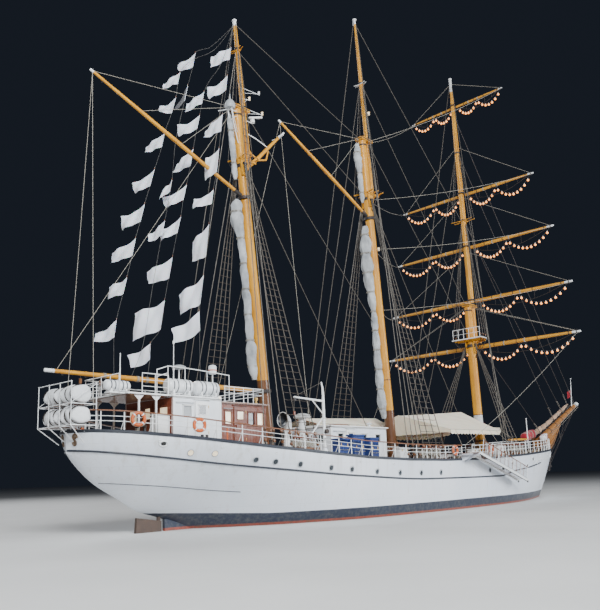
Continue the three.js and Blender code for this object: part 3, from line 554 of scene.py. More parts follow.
def wood(name, dark, light, scale=1.0, rough=0.35, coat=0.5, along="X"):
    m = Mat(name, light, rough, coat=coat)
    st = {"X": (0.6, 9, 9), "Z": (9, 9, 0.6), "Y": (9, 0.6, 9)}[along]
    g = m.noise(4 * scale, 8, 0.65, m.map(st), 0.6)
    f = m.noise(26 * scale, 6, 0.7, m.map(st))
    b = m.mix(m.ramp(g, (0.3, 0.0), (0.7, 1.0)), dark, light)
    b = m.mix(m.math("MULTIPLY", m.ramp(f, (0.5, 0.0), (0.7, 1.0)), 0.5), b, tuple(v * 0.45 for v in dark))
    m.color(b)
    m.rough(rough - 0.1, rough + 0.25, g)
    m.bump(f, 0.18, 0.003)
    return m.m


def deck_planks():
    m = Mat("deck_planks", (0.42, 0.3, 0.18), 0.65)
    x, y, z = m.xyz()
    c, f = m.brick(m.vec(x, y, 0.0), 2.6, 0.062, 0.0035, 0.37, (0.43, 0.31, 0.19), (0.33, 0.235, 0.145))
    g = m.noise(5, 8, 0.7, m.map((0.7, 16, 1)))
    b = m.mix(m.math("MULTIPLY", m.ramp(g, (0.4, 0.0), (0.7, 1.0)), 0.5), c, (0.24, 0.17, 0.11))
    b = m.mix(m.math("MULTIPLY", m.ramp(m.noise(0.9, 4), (0.5, 0.0), (0.75, 1.0)), 0.4), b, (0.2, 0.16, 0.12))
    m.color(m.mix(f, b, (0.02, 0.02, 0.02)))
    m.rough(0.5, 0.85, g)
    m.bump(f, -0.4, 0.003)
    m.bump(g, 0.12, 0.002)
    return m.m


def cloth(name, c, c2, weave=150, rough=0.9, sheen=0.25, fold=0.4, stain_and_fold_shade=(0.5, 0.46, 0.38), stain_and_fold_shade_amount=0.25, through=0.0):
    m = Mat(name, c, rough, sheen=sheen, spec=0.25)
    b = m.mix(m.ramp(m.noise(2.2, 5), (0.35, 0.0), (0.7, 1.0)), c, c2)
    # dark patches: real stains on most cloths, and on the furled sailcloth painted shade in the folds
    b = m.mix(m.math("MULTIPLY", m.ramp(m.noise(5, 8, 0.7), (0.55, 0.0), (0.75, 1.0)), stain_and_fold_shade_amount), b, stain_and_fold_shade)
    m.color(b)
    wx = m.wave(weave, 0.6, 1, direction="X")
    wz = m.wave(weave, 0.6, 1, direction="Z")
    wy = m.wave(weave, 0.6, 1, direction="Y")
    m.bump(m.math("MAXIMUM", wx, m.math("MAXIMUM", wy, wz)), 0.12, 0.0015)
    m.bump(m.noise(9, 5, 0.6, distort=0.6), fold, 0.012)
    if through:
        m.bsdf.inputs["Transmission Weight"].default_value = 0.0
        m.bsdf.inputs["Subsurface Weight"].default_value = through
        m.bsdf.inputs["Subsurface Scale"].default_value = 0.02
    return m.m


def rope_mat(name, c, c2, rough=0.85):
    m = Mat(name, c, rough, spec=0.3)
    tw = m.wave(70, 1.5, 2, m.map((1, 1, 1), (0.6, 0.5, 0.3)), "X")
    b = m.mix(m.ramp(m.noise(3, 5), (0.3, 0.0), (0.7, 1.0)), c, c2)
    m.color(m.mix(m.math("MULTIPLY", tw, 0.3), b, tuple(v * 0.45 for v in c)))
    m.bump(tw, 0.5, 0.004)
    return m.m


def metal(name, c, c2, rough=0.35, scale=12, metalness=1.0, pit=0.2):
    m = Mat(name, c, rough, metal=metalness)
    b = m.mix(m.ramp(m.noise(scale, 7, 0.65), (0.4, 0.0), (0.7, 1.0)), c, c2)
    m.color(b)
    m.rough(rough - 0.1, rough + 0.3, m.noise(scale * 0.7, 6))
    m.bump(m.noise(scale * 5, 5), pit, 0.004)
    return m.m


def glass(name, c, emit=None, k=0.0, rough=0.06):
    m = Mat(name, c, rough, coat=0.6)
    m.color(m.mix(m.ramp(m.noise(4, 3), (0.4, 0.0), (0.7, 1.0)), c, tuple(v * 2.2 + 0.01 for v in c)))
    m.rough(0.03, 0.16, m.noise(9, 4))
    if emit:
        m.emit(emit, k)
        e = m.mix(m.ramp(m.noise(5, 3), (0.3, 0.0), (0.8, 1.0)), emit, tuple(v * 0.45 for v in emit))
        m.link(e, m.bsdf.inputs["Emission Color"])
    m.bump(m.noise(3, 2), 0.05, 0.004)
    return m.m


def bulb():
    m = Mat("warm_globe", (1.0, 0.62, 0.28), 0.3)
    lw = m.n("ShaderNodeLayerWeight")
    lw.inputs["Blend"].default_value = 0.35
    e = m.mix(lw.outputs["Facing"], (1.0, 0.42, 0.09), (1.0, 0.15, 0.01))
    m.link(e, m.bsdf.inputs["Emission Color"])
    m.bsdf.inputs["Emission Strength"].default_value = 2.2
    m.color(m.mix(m.noise(30, 3), (1.0, 0.6, 0.25), (1.0, 0.42, 0.12)))
    return m.m


HULL = hull_paint()
WHITE = paint("white_enamel", (0.83, 0.84, 0.84), (0.74, 0.76, 0.77), 0.38, 0.25, (0.42, 0.33, 0.24), 0.3)
HOUSEW = paint("house_white", (0.80, 0.83, 0.87), (0.70, 0.745, 0.80), 0.4, 0.2, (0.40, 0.34, 0.27), 0.3, (3, 3, 0.5), 3)
GOLD = paint("spar_gold", (0.70, 0.33, 0.016), (0.50, 0.20, 0.01), 0.5, 0.1, (0.30, 0.12, 0.03), 0.5, (1, 1, 0.35), 5)
GOLDX = paint("spar_gold_yard", (0.66, 0.32, 0.03), (0.48, 0.21, 0.015), 0.5, 0.1, (0.30, 0.12, 0.03), 0.5, (1, 0.35, 1), 5)
# dark brown: the own colour of deadeyes, blocks, belaying pins and mast coats, and painted shade on the lower masts
BROWN_AND_MAST_SHADE = paint("brown_paint_and_mast_shade", (0.17, 0.065, 0.018), (0.11, 0.038, 0.012), 0.36, 0.4, (0.35, 0.17, 0.06), 0.45, (1, 1, 0.3), 5)
PALE = paint("mast_pale_band", (0.66, 0.66, 0.64), (0.52, 0.53, 0.53), 0.42, 0.2, (0.3, 0.24, 0.18), 0.35)
SPRIT = wood("bowsprit_wood", (0.20, 0.075, 0.02), (0.44, 0.19, 0.05), 0.7, 0.48, 0.2, "X")
SAILTAN = cloth("jib_cloth_tan", (0.46, 0.29, 0.19), (0.30, 0.17, 0.10), 120, fold=0.6, stain_and_fold_shade_amount=0.4)
NAVY = paint("deck_edge_navy", (0.014, 0.018, 0.03), (0.03, 0.035, 0.045), 0.42, 0.2, (0.12, 0.1, 0.085), 0.4)
TEAK = deck_planks()
VARN = wood("varnished_mahogany", (0.10, 0.018, 0.007), (0.24, 0.055, 0.018), 1.2, 0.42, 0.25, "Z")
# dark varnish: the own colour of rails and trim, and painted shade as the deckhead under the boat deck and on every
# third gangway baluster
VARNISH_AND_SHADE = wood("varnished_rail_and_painted_shade", (0.12, 0.04, 0.018), (0.28, 0.11, 0.045), 1.2, 0.3, 0.5, "X")
CANVAS = cloth("white_canvas", (0.80, 0.82, 0.84), (0.68, 0.70, 0.72))
# the dark mottle and dark patches of the furled sails are painted shade in their creases
SAIL = cloth("sailcloth", (0.50, 0.52, 0.53), (0.25, 0.265, 0.28), 110, fold=0.8, stain_and_fold_shade=(0.16, 0.16, 0.15), stain_and_fold_shade_amount=0.6)
# the cream is partly the canvas's own colour and partly painted warm lamplight
AWNC = cloth("awning_cloth", (0.84, 0.76, 0.60), (0.74, 0.65, 0.49), 120, fold=0.15, stain_and_fold_shade_amount=0.15, through=0.15)
FLAG = cloth("flag_bunting", (0.84, 0.86, 0.92), (0.76, 0.79, 0.87), 200, 0.8, 0.3, 0.25, (0.6, 0.62, 0.7), 0.12, 0.1)
REDC = cloth("red_cover", (0.36, 0.02, 0.035), (0.24, 0.014, 0.022), 120, fold=0.5, stain_and_fold_shade=(0.2, 0.02, 0.02))
ROPE = rope_mat("rope_pale", (0.46, 0.43, 0.37), (0.34, 0.31, 0.26))
FLAGD = cloth("dark_bunting", (0.10, 0.10, 0.11), (0.06, 0.06, 0.07), 200, fold=0.4)
HALY = rope_mat("halyard_grey", (0.16, 0.155, 0.145), (0.10, 0.095, 0.09), 0.7)
TAR = rope_mat("rope_tarred", (0.075, 0.06, 0.048), (0.045, 0.036, 0.03), 0.7)
WIRE = metal("rigging_wire", (0.12, 0.108, 0.092), (0.07, 0.06, 0.05), 0.5, 10, 0.4)
STEEL = metal("dark_iron", (0.05, 0.052, 0.056), (0.09, 0.06, 0.045), 0.5, 14, 0.6)
GALV = metal("galvanised", (0.5, 0.51, 0.52), (0.38, 0.39, 0.4), 0.42, 10, 0.8)
BRASS = metal("brass", (0.72, 0.48, 0.17), (0.5, 0.33, 0.12), 0.28, 16)
BRONZE = metal("bronze", (0.58, 0.36, 0.16), (0.35, 0.27, 0.14), 0.34, 10)
GLASS = glass("window_glass", (0.012, 0.018, 0.024))
LIT = glass("lit_glass", (0.5, 0.42, 0.3), (1.0, 0.80, 0.52), 1.1)
PLASTIC = paint("white_grp", (0.82, 0.84, 0.86), (0.74, 0.77, 0.8), 0.3, 0.4, (0.45, 0.42, 0.38), 0.2, (1, 1, 1), 4)
ORANGE = paint("lifebuoy_orange", (0.62, 0.12, 0.02), (0.46, 0.085, 0.016), 0.45, 0.1, (0.5, 0.3, 0.2), 0.25)
BLUE = paint("blue_box", (0.018, 0.05, 0.22), (0.012, 0.028, 0.13), 0.45, 0.1, (0.1, 0.12, 0.2), 0.3)
# flat black, used only as painted shade: inside the fairlead and hawse openings and along the gangway stringer's lower
# edge
SHADE_BLACK = paint("painted_shade_black", (0.02, 0.02, 0.021), (0.035, 0.034, 0.033), 0.7, 0.0, (0.12, 0.11, 0.1), 0.4)
# grey: the own colour of the radome, porthole rims, wall handrails and the aft deckhouse's starboard panes, and painted
# shade on the gangway's white railing
GREY_AND_RAILING_SHADE = paint("grey_paint_and_railing_shade", (0.42, 0.44, 0.46), (0.33, 0.35, 0.37), 0.45, 0.1)
GILT = metal("gilt", (0.60, 0.38, 0.12), (0.3, 0.19, 0.07), 0.4, 24, 0.7)
BULB = bulb()
CARVE = paint("carved_scroll", (0.14, 0.085, 0.045), (0.08, 0.05, 0.03), 0.5, 0.1, (0.3, 0.22, 0.12), 0.5, (1, 1, 1), 20)
RUDM = paint("rudder_weathered", (0.085, 0.055, 0.042), (0.055, 0.04, 0.034), 0.7, 0.0, (0.13, 0.075, 0.04), 0.5, (1, 1, 1), 6)
UNDER = paint("antifouling", (0.20, 0.075, 0.05), (0.13, 0.06, 0.035), 0.75, 0.0, (0.06, 0.07, 0.03), 0.5, (1, 1, 1), 7)
RACKC = cloth("lashing_web", (0.07, 0.075, 0.085), (0.04, 0.042, 0.05), 200, fold=0.1, stain_and_fold_shade_amount=0.1)


# ------------------------------------------------------------------ helpers for fittings
def V(*a):
    return Vector(a)


def bevel(node, width=0.004, seg=2):
    o = NODES[node]
    m = o.modifiers.new("edges", "BEVEL")
    m.width, m.segments, m.limit_method, m.angle_limit = width, seg, "ANGLE", math.radians(40)
    m.harden_normals = False


def dress(node, mat):
    o = NODES[node]
    o.data.materials.clear()
    o.data.materials.append(mat)


# ------------------------------------------------------------------ hull
XS = sorted(set([round(v, 3) for v in list(np.arange(0.9, 49.0, 0.3)) + [0.0, 0.05, 0.12, 0.2, 0.3, 0.45, 0.6, 0.75] + [49.1, 49.3, 49.5, 49.65, 49.8, 49.9]]))
TS = [0, .03, .07, .12, .18, .25, .32, .4, .48, .56, .64, .72, .8, .87, .93, .97, 1]


def make_hull():
    b = MB()
    rows = []
    for x in XS:
        zd, zb = deck_z(x), _bz(x)
        half = [(hull_y(x, zb + (zd - zb) * t), zb + (zd - zb) * t) for t in TS]
        rows.append([(x, -y, z) for y, z in half] + [(x, y, z) for y, z in reversed(half)])
    b.grid(rows, 0, wrap=True)
    n = len(rows[0])
    b.f.append(tuple(range(n)))
    b.m.append(0)
    b.f.append(tuple(reversed(range((len(rows) - 1) * n, len(rows) * n))))
    b.m.append(0)
    # keel, deadwood and the shoe under the propeller
    keel = [[6.75, -.2], [9.5, -.6], [12, -2.2], [22, -3.4], [38, -3.4], [43, -2.4], [45.2, -1.2], [45.9, -1.9], [45.4, -2.5], [44.6, -3], [43.6, -3.5], [42.5, -3.9],
            [41.2, -4.18], [40, -4.3], [4.75, -4.3], [4.75, -4.08], [6.75, -4.0]]
    b.prism(keel, (V(0, 0, 0), V(1, 0, 0), V(0, 0, 1), V(0, 1, 0)), 0.16)
    b.prism([(5.3, .6), (5.34, -.4), (6.9, -.5), (6.9, .25)], (V(0, 0, 0), V(1, 0, 0), V(0, 0, 1), V(0, 1, 0)), 0.09)
    b.lathe((6.31, 0, -2.3), (1, 0, 0), [(0, 0), (0, 0.2), (0.04, 0.24), (0.29, 0.27), (0.9, 0.31), (1.7, 0.27), (2.89, 0.1), (2.95, 0)], 24)
    # davit socket, and the gangway's upper landing on its knee
    b.lathe((12.88, -4.1, 3.28), (0, 0, 1), [(0, 0.2), (0.02, 0.22), (0.36, 0.22), (0.42, 0.2), (0.6, 0.125), (0.64, 0.12)], 20)
    for i in range(5):
        y = -5.72 + 0.08 + i * 0.155
        b.box(25.55, 26.53, y - 0.07, y + 0.065, 3.585, 3.62, 1, 0.008)
    b.box(25.57, 25.63, -5.72, -4.9, 3.5, 3.588, 0)
    b.box(26.45, 26.51, -5.72, -4.9, 3.5, 3.588, 0)
    for x in (25.85, 26.3):
        b.prism([(-5.6, 3.5), (-4.7, 3.5), (-4.7, 3.05), (-4.85, 3.05)], (V(x, 0, 0), V(0, 1, 0), V(0, 0, 1), V(1, 0, 0)), 0.02, 0)
    return b.build("hull_shell", [HULL, VARNISH_AND_SHADE], "ship", "hull", "hull_paint", smooth=30)


make_hull()

EDGE_P = [(-0.05, -0.05), (-0.05, 0.07), (-0.035, 0.095), (0.03, 0.095), (0.05, 0.075), (0.05, -0.03), (0.03, -0.05)]


def edge_path(xa, xb, s, inset=0.0, dz=0.0, step=0.3):
    k = max(2, int(round((xb - xa) / step)))
    return [V(xa + (xb - xa) * i / k, s * (deck_y(xa + (xb - xa) * i / k) - inset), deck_z(xa + (xb - xa) * i / k) + dz) for i in range(k + 1)]


def half_round(r, d):
    return [(-0.02, -r)] + [(d * math.cos(a), r * math.sin(a)) for a in np.linspace(-math.pi / 2, math.pi / 2, 7)] + [(-0.02, r)]


def strake(b, table, xa, xb, r, d, mat, sides=(-1, 1)):
    c = Curve(table)
    k = int((xb - xa) / 0.35)
    xs_ = [xa + (xb - xa) * i / k for i in range(k + 1)]
    if xa < .2:
        xs_ = [v for v in (.03, .06, .1, .16, .24, .34, .46, .6, .78) if v >= xa] + [v for v in xs_ if v > .95]
    for s in sides:
        path = []
        for x in xs_:
            z = max(c(x), _bz(x) + r * .8)
            path.append(V(x, s * hull_y(x, z), z))
        b.sweep(path, half_round(r, d), s, mat)


trim = MB()
for s in (-1, 1):
    trim.sweep(edge_path(0.02, 49.88, s, 0.0), EDGE_P, s, 0)
RUB = [[0.0, 3.9], [6.4, 3.16], [11, 2.72], [14.9, 2.40], [22, 2.05], [31, 2.02], [33.9, 2.37], [36.2, 2.55], [39.75, 2.91]]
strake(trim, RUB, 0.03, 39.75, 0.05, 0.055, 0)
strake(trim, [[1.5, 2.42], [4.5, 2.13], [6.65, 1.9], [8.03, 1.77]], 1.5, 8.03, 0.016, 0.022, 0)
strake(trim, [[29, 2.62], [34, 2.78], [40, 3.16], [46, 3.5]], 30.0, 46.0, 0.018, 0.022, 1)
# scuppers: small dark oval spouts below the deck edge
for s in (-1, 1):
    for x in np.arange(3.0, 46, 3.05):
        z = deck_z(x) - 0.28
        n = hull_normal(x, z, s)
        p = V(x, s * hull_y(x, z), z)
        trim.lathe(p - n * 0.03, n, [(0, 0.06), (0.05, 0.062), (0.06, 0.05), (0.045, 0.035), (0.0, 0.03)], 12, 1)
trim.build("hull_trim", [NAVY, WHITE], "ship")

ports = MB()
PORT_X = [(4.55, 3.69, 1), (5.77, 3.64, 1), (8.04, 3.32, 0), (9.17, 3.21, 0), (10.72, 3.06, 0), (12.89, 2.85, 0), (14.49, 2.74, 0), (16.65, 2.58, 0),
          (18.82, 2.47, 0), (21.0, 2.42, 0), (23.2, 2.4, 0), (29.6, 2.45, 0), (31.6, 2.5, 0)]
for s in (-1, 1):
    for x, z, lit in PORT_X:
        n = hull_normal(x, z, s)
        p = V(x, s * hull_y(x, z), z)
        ports.lathe(p - n * 0.05, n, [(0, 0.175), (0.062, 0.175), (0.075, 0.165), (0.08, 0.148), (0.072, 0.135), (0.05, 0.13)], 24, 0)
        ports.lathe(p - n * 0.03, n, [(0, 0.134), (0.05, 0.132), (0.056, 0.11), (0.06, 0.0)], 20, 2 if lit else 1)
        for a in range(4):
            t = n.cross(V(0, 0, 1)).normalized()
            u = t.cross(n)
            q = p + (t * math.cos(a * math.pi / 2 + 0.8) + u * math.sin(a * math.pi / 2 + 0.8)) * 0.165 + n * 0.03
            ports.lathe(q, n, [(0, 0.014), (0.014, 0.014), (0.018, 0)], 6, 0)
        t = n.cross(V(0, 0, 1)).normalized()
        arc = [p + (t * math.cos(a) * 0.215 + V(0, 0, 1) * math.sin(a) * 0.215) + n * 0.02 for a in np.linspace(0.35, math.pi - 0.35, 9)]
        ports.tube(arc, 0.016, 5, 3)
    # fairlead ports and the hawse in the bow
    for x, z, w, h in ((36.13, 2.70, 0.2, 0.13), (33.31, 2.92, 0.17, 0.11), (37.53, 3.20, 0.26, 0.15), (38.62, 2.95, 0.13, 0.13), (44.9, 3.55, 0.17, 0.17), (3.2, 4.1, 0.2, 0.12)):
        n = hull_normal(x, z, s)
        t = n.cross(V(0, 0, 1)).normalized()
        u = t.cross(n)
        p = V(x, s * hull_y(x, z), z)
        ring = [p + t * (w * math.cos(a)) + u * (h * math.sin(a)) + n * 0.01 for a in np.linspace(0, 2 * math.pi, 25)[:-1]]
        ports.tube(ring + ring[:2], 0.032, 8, 3, caps=False)
        # a black disc fills each opening: painted shade inside the fairleads and hawses
        ports.lathe(p - n * 0.02, n, [(0, min(w, h)), (0.032, min(w, h) * 0.98), (0.034, 0)], 18, 4)
ports.build("portholes_and_hawses", [GREY_AND_RAILING_SHADE, GLASS, LIT, WHITE, SHADE_BLACK], "ship")

CAMP = V(-15.747, -29.375, 2.545)


def view_axes():
    yaw, pitch, roll = map(math.radians, (46.62, 10.05, 1.72))
    fwd = V(math.sin(yaw) * math.cos(pitch), math.cos(yaw) * math.cos(pitch), math.sin(pitch))
    right = V(math.cos(yaw), -math.sin(yaw), 0)
    up = right.cross(fwd)
    return fwd, right * math.cos(roll) - up * math.sin(roll), right * math.sin(roll) + up * math.cos(roll)


CF, CR, CU = view_axes()


def at(px, py, depth):
    """The point seen at a pixel of the 600 x 610 frame, depth metres in front of the camera."""
    return CAMP + (CF + CR * ((px - 297.972) / 700.045) - CU * ((py - 350.38) / 700.045)) * depth


def wall_pt(px, py, y):
    """The point of the plane Y = y that is seen at a pixel."""
    d = at(px, py, 1) - CAMP
    return CAMP + d * ((y - CAMP.y) / d.y)


# a generic carved scroll on each side of the stern
orn = MB()
for s in (-1, 1):
    def on_hull(x, z, d=0.03):
        n = hull_normal(x, z, s)
        return V(x, s * hull_y(x, z), z) + n * d
    lo, hi = .004, .5
    for _ in range(30):
        x = (lo + hi) / 2
        q = V(x, -hull_y(x, 4.2), 4.2) - CAMP
        if 297.972 + 700.045 * q.dot(CR) / q.dot(CF) < 74:
            lo = x
        else:
            hi = x
    xc = (lo + hi) / 2
    n = hull_normal(xc, 4.2, s)
    c0 = V(xc, s * hull_y(xc, 4.36), 4.36)
    tt = V(0, 0, 1).cross(n).normalized() * s
    up_ = n.cross(tt) if n.cross(tt).z > 0 else tt.cross(n)
    for cz, k, f0 in ((.1, 1, 1.0), (-.12, -1, .85)):
        pts, rr = [], []
        for i in range(22):
            a = 1.2 + i * 0.4
            r = (0.02 + 0.0058 * i) * f0
            pts.append(c0 + tt * (r * math.cos(a) * 1.05 * k) + up_ * (cz + k * r * math.sin(a) * 1.25) + n * .012)
            rr.append(0.02 + 0.0014 * i)
        orn.tube(pts, rr, 7, 0)
    for k in range(5):
        a = k * 1.26
        orn.tube([c0 + n * .01, c0 + tt * (.07 * math.cos(a)) + up_ * (.17 * math.sin(a)) + n * .012, c0 + tt * (.08 * math.cos(a + .25)) + up_ * (.26 * math.sin(a + .25)) + n * .008], [.028, .034, .008], 6, 0)
# knee of the head: a tapering wooden beak between the stem and the bowsprit, with cheeks and a moulding
knee = [(48.75, 4.45), (49.3, 4.12), (49.95, 4.14), (50.6, 4.5), (51.35, 5.1), (52.2, 5.9), (53.1, 6.85), (52.6, 6.75), (51.0, 6.05), (49.4, 5.4)]
orn.prism(knee, (V(0, 0, 0), V(1, 0, 0), V(0, 0, 1), V(0, 1, 0)), .1, 1)
orn.tube([V(x, 0, z - .01) for x, z in knee[1:7]], [.05, .11, .12, .11, .09, .05], 10, 1)
for s in (-1, 1):
    orn.tube([V(47.9, s * 1.02, 4.35), V(48.8, s * .58, 4.5), V(49.8, s * .2, 4.66), V(50.9, s * .13, 5.15), V(52.2, s * .12, 6.1)], [.05, .065, .07, .06, .04], 8, 1, squash=(.7, 1.3))
    orn.tube([V(49.1, s * .42, 4.15), V(49.9, s * .16, 4.36), V(50.9, s * .12, 4.85), V(51.9, s * .11, 5.75)], [.03, .045, .045, .03], 8, 0)
orn.build("stern_scrolls_and_head_knee", [CARVE, SPRIT], "ship")

# ------------------------------------------------------------------ deck
dk = MB()
rows, mats = [], []
inner = [-1, -0.955, -0.8, -0.5, -0.2, 0, 0.2, 0.5, 0.8, 0.955, 1]
dxs = sorted(set([x for x in HULL_X if 0.25 <= x <= 49.4] + [round(v, 3) for v in np.arange(0.6, 49.2, 0.6)]))
for x in dxs:
    w = max(deck_y(x) - 0.03, 0.02)
    rows.append([V(x, w * u, deck_z(x) + 0.006) for u in inner])
dk.grid(rows, 0, flip=True)
dk.m = [1 if (j % (len(inner) - 1)) in (0, len(inner) - 2) else 0 for j in range(len(dk.f))]
dk.build("deck_planking", [TEAK, VARNISH_AND_SHADE], "ship", fix=False)

# ------------------------------------------------------------------ rails
STAN = [.75, 1.58, 2.71, 4.31, 5.75, 7.14, 8.31, 9.77, 11.04, 12.2, 13.6, 14.6, 15.5, 16.39, 17.52, 18.59, 19.7, 20.8, 21.9, 23.0, 24.05, 25.1, 26.1]
FWD = list(np.linspace(27.5, 48.3, 20))


def rail_pt(x, s, h):
    return V(x, s * (deck_y(x) - 0.1), deck_z(x) + h)


def railing(name, s, spans, node):
    b = MB()
    for xs_, wood_to in spans:
        for i, x in enumerate(xs_):
            a, t = rail_pt(x, s, 0.0), rail_pt(x, s, 0.93)
            b.lathe(a, (0, 0, 1), [(0.0, 0.075), (0.018, 0.075), (0.03, 0.04), (0.1, 0.034), (0.42, 0.028), (0.455, 0.04), (0.48, 0.045), (0.505, 0.04), (0.53, 0.028),
                                   (0.66, 0.026), (0.69, 0.037), (0.715, 0.026), (0.9, 0.023), (0.93, 0.023)], 10, 0)
            inb = V(0, -s, 0)
            b.tube([t - V(0, 0, 0.32), a + inb * 0.3 + V(0, 0, 0.05), a + inb * 0.32], 0.016, 6, 0)
            b.lathe(a + inb * 0.32, (0, 0, 1), [(0, 0.045), (0.014, 0.045), (0.02, 0.02)], 8, 0)
        xa, xb = xs_[0], xs_[-1]
        k = int((xb - xa) / 0.3)
        path = [xa + (xb - xa) * i / k for i in range(k + 1)]
        for h, r in ((0.48, 0.017), (0.7, 0.015)):
            b.tube([rail_pt(x, s, h) for x in path], r, 6, 0)
        if xa < 1:
            for h, r in ((0.48, 0.017), (0.7, 0.015)):
                b.tube([rail_pt(0.75, s, h), V(0.45, s * 1.2, deck_z(0.5) + h), V(0.22, s * 0.75, deck_z(0.3) + h)], r, 6, 0)
        wp = [p for p in path if p <= wood_to]
        if len(wp) > 2:
            b.sweep([rail_pt(x, s, 0.945) for x in wp], [(-0.075, -0.02), (-0.075, 0.012), (-0.055, 0.03), (0.0, 0.038), (0.055, 0.03), (0.075, 0.012), (0.075, -0.02)], s, 1)
        rest = [p for p in path if p >= wood_to - 0.31]
        if len(rest) > 2:
            b.tube([rail_pt(x, s, 0.95) for x in rest], 0.028, 8, 0)
    b.build(name, [WHITE, VARNISH_AND_SHADE], "ship", node)


railing("rail_starboard_aft", -1, [(STAN, 26.2)], "railing_starboard_aft")
railing("rail_starboard_forward", -1, [(FWD, 0)], "railing_starboard_forward")
railing("rail_port", 1, [(STAN + FWD, 26.2)], "railing_port")
# taffrail round the counter, joined from side to side
b = MB()
arc = []
for a in np.linspace(-1, 1, 13):
    y = 1.63 * a
    x = 0.75 - 0.55 * math.sqrt(max(0, 1 - abs(a) ** 2.2))
    arc.append((x, y))
for h, r, m in ((0.48, 0.017, 0), (0.7, 0.015, 0)):
    b.tube([V(x, y, deck_z(max(x, 0.1)) + h) for x, y in arc], r, 6, m)
b.tube([V(x, y, deck_z(max(x, 0.1)) + 0.95) for x, y in arc], 0.045, 8, 1, squash=(1.5, 0.7))
for i in (2, 4, 6, 8, 10):
    x, y = arc[i]
    b.lathe((x, y, deck_z(max(x, 0.25))), (0, 0, 1), [(0, 0.07), (0.02, 0.07), (0.03, 0.034), (0.45, 0.03), (0.48, 0.045), (0.51, 0.03), (0.93, 0.024)], 10, 0)
b.build("taffrail", [WHITE, VARNISH_AND_SHADE], "ship")

# ------------------------------------------------------------------ houses: the CAD walls and roofs with frames, panes and panelling added
HOUSES = [
    ("aft_deckhouse", 4.4, 7.36, 2.0, 6.45, [5.0], .5, .5, (5.75, 6.5), HOUSEW, WHITE),
    ("wheelhouse", 7.42, 10.6, 1.9, 6.3, [7.75, 9.35, 10.0], .42, .62, (8.35, 9.1), VARN, VARN),
    ("midship_house", 16.0, 21.4, 1.9, 5.35, [16.6, 18.9, 20.3], .5, .45, (17.4, 18.1), HOUSEW, WHITE)]


def pane(b, c, ea, en, hw, hh, frame_mat, glass_mat, t=0.05, proud=0.03, depth=0.05):
    """A framed window: four mitred bars proud of the wall, a drip ledge above and a pane set back in the opening."""
    c, ea, en = V(*c), V(*ea), V(*en)
    ez = V(0, 0, 1)
    for sa in (-1, 1):
        b.obox(c + ea * (sa * (hw + t / 2)) + en * (proud / 2), ea, ez, en, t / 2, hh + t, proud / 2 + 0.004, frame_mat, 0.006)
        b.obox(c + ez * (sa * (hh + t / 2)) + en * (proud / 2 + 0.001), ea, ez, en, hw + t, t / 2, proud / 2 + 0.004, frame_mat, 0.006)
    b.obox(c + ez * (hh + t + 0.018) + en * 0.03, ea, ez, en, hw + t + 0.03, 0.014, 0.034, frame_mat, 0.006)
    b.obox(c - en * depth, ea, ez, en, hw + 0.01, hh + 0.01, 0.006, glass_mat, 0.002)


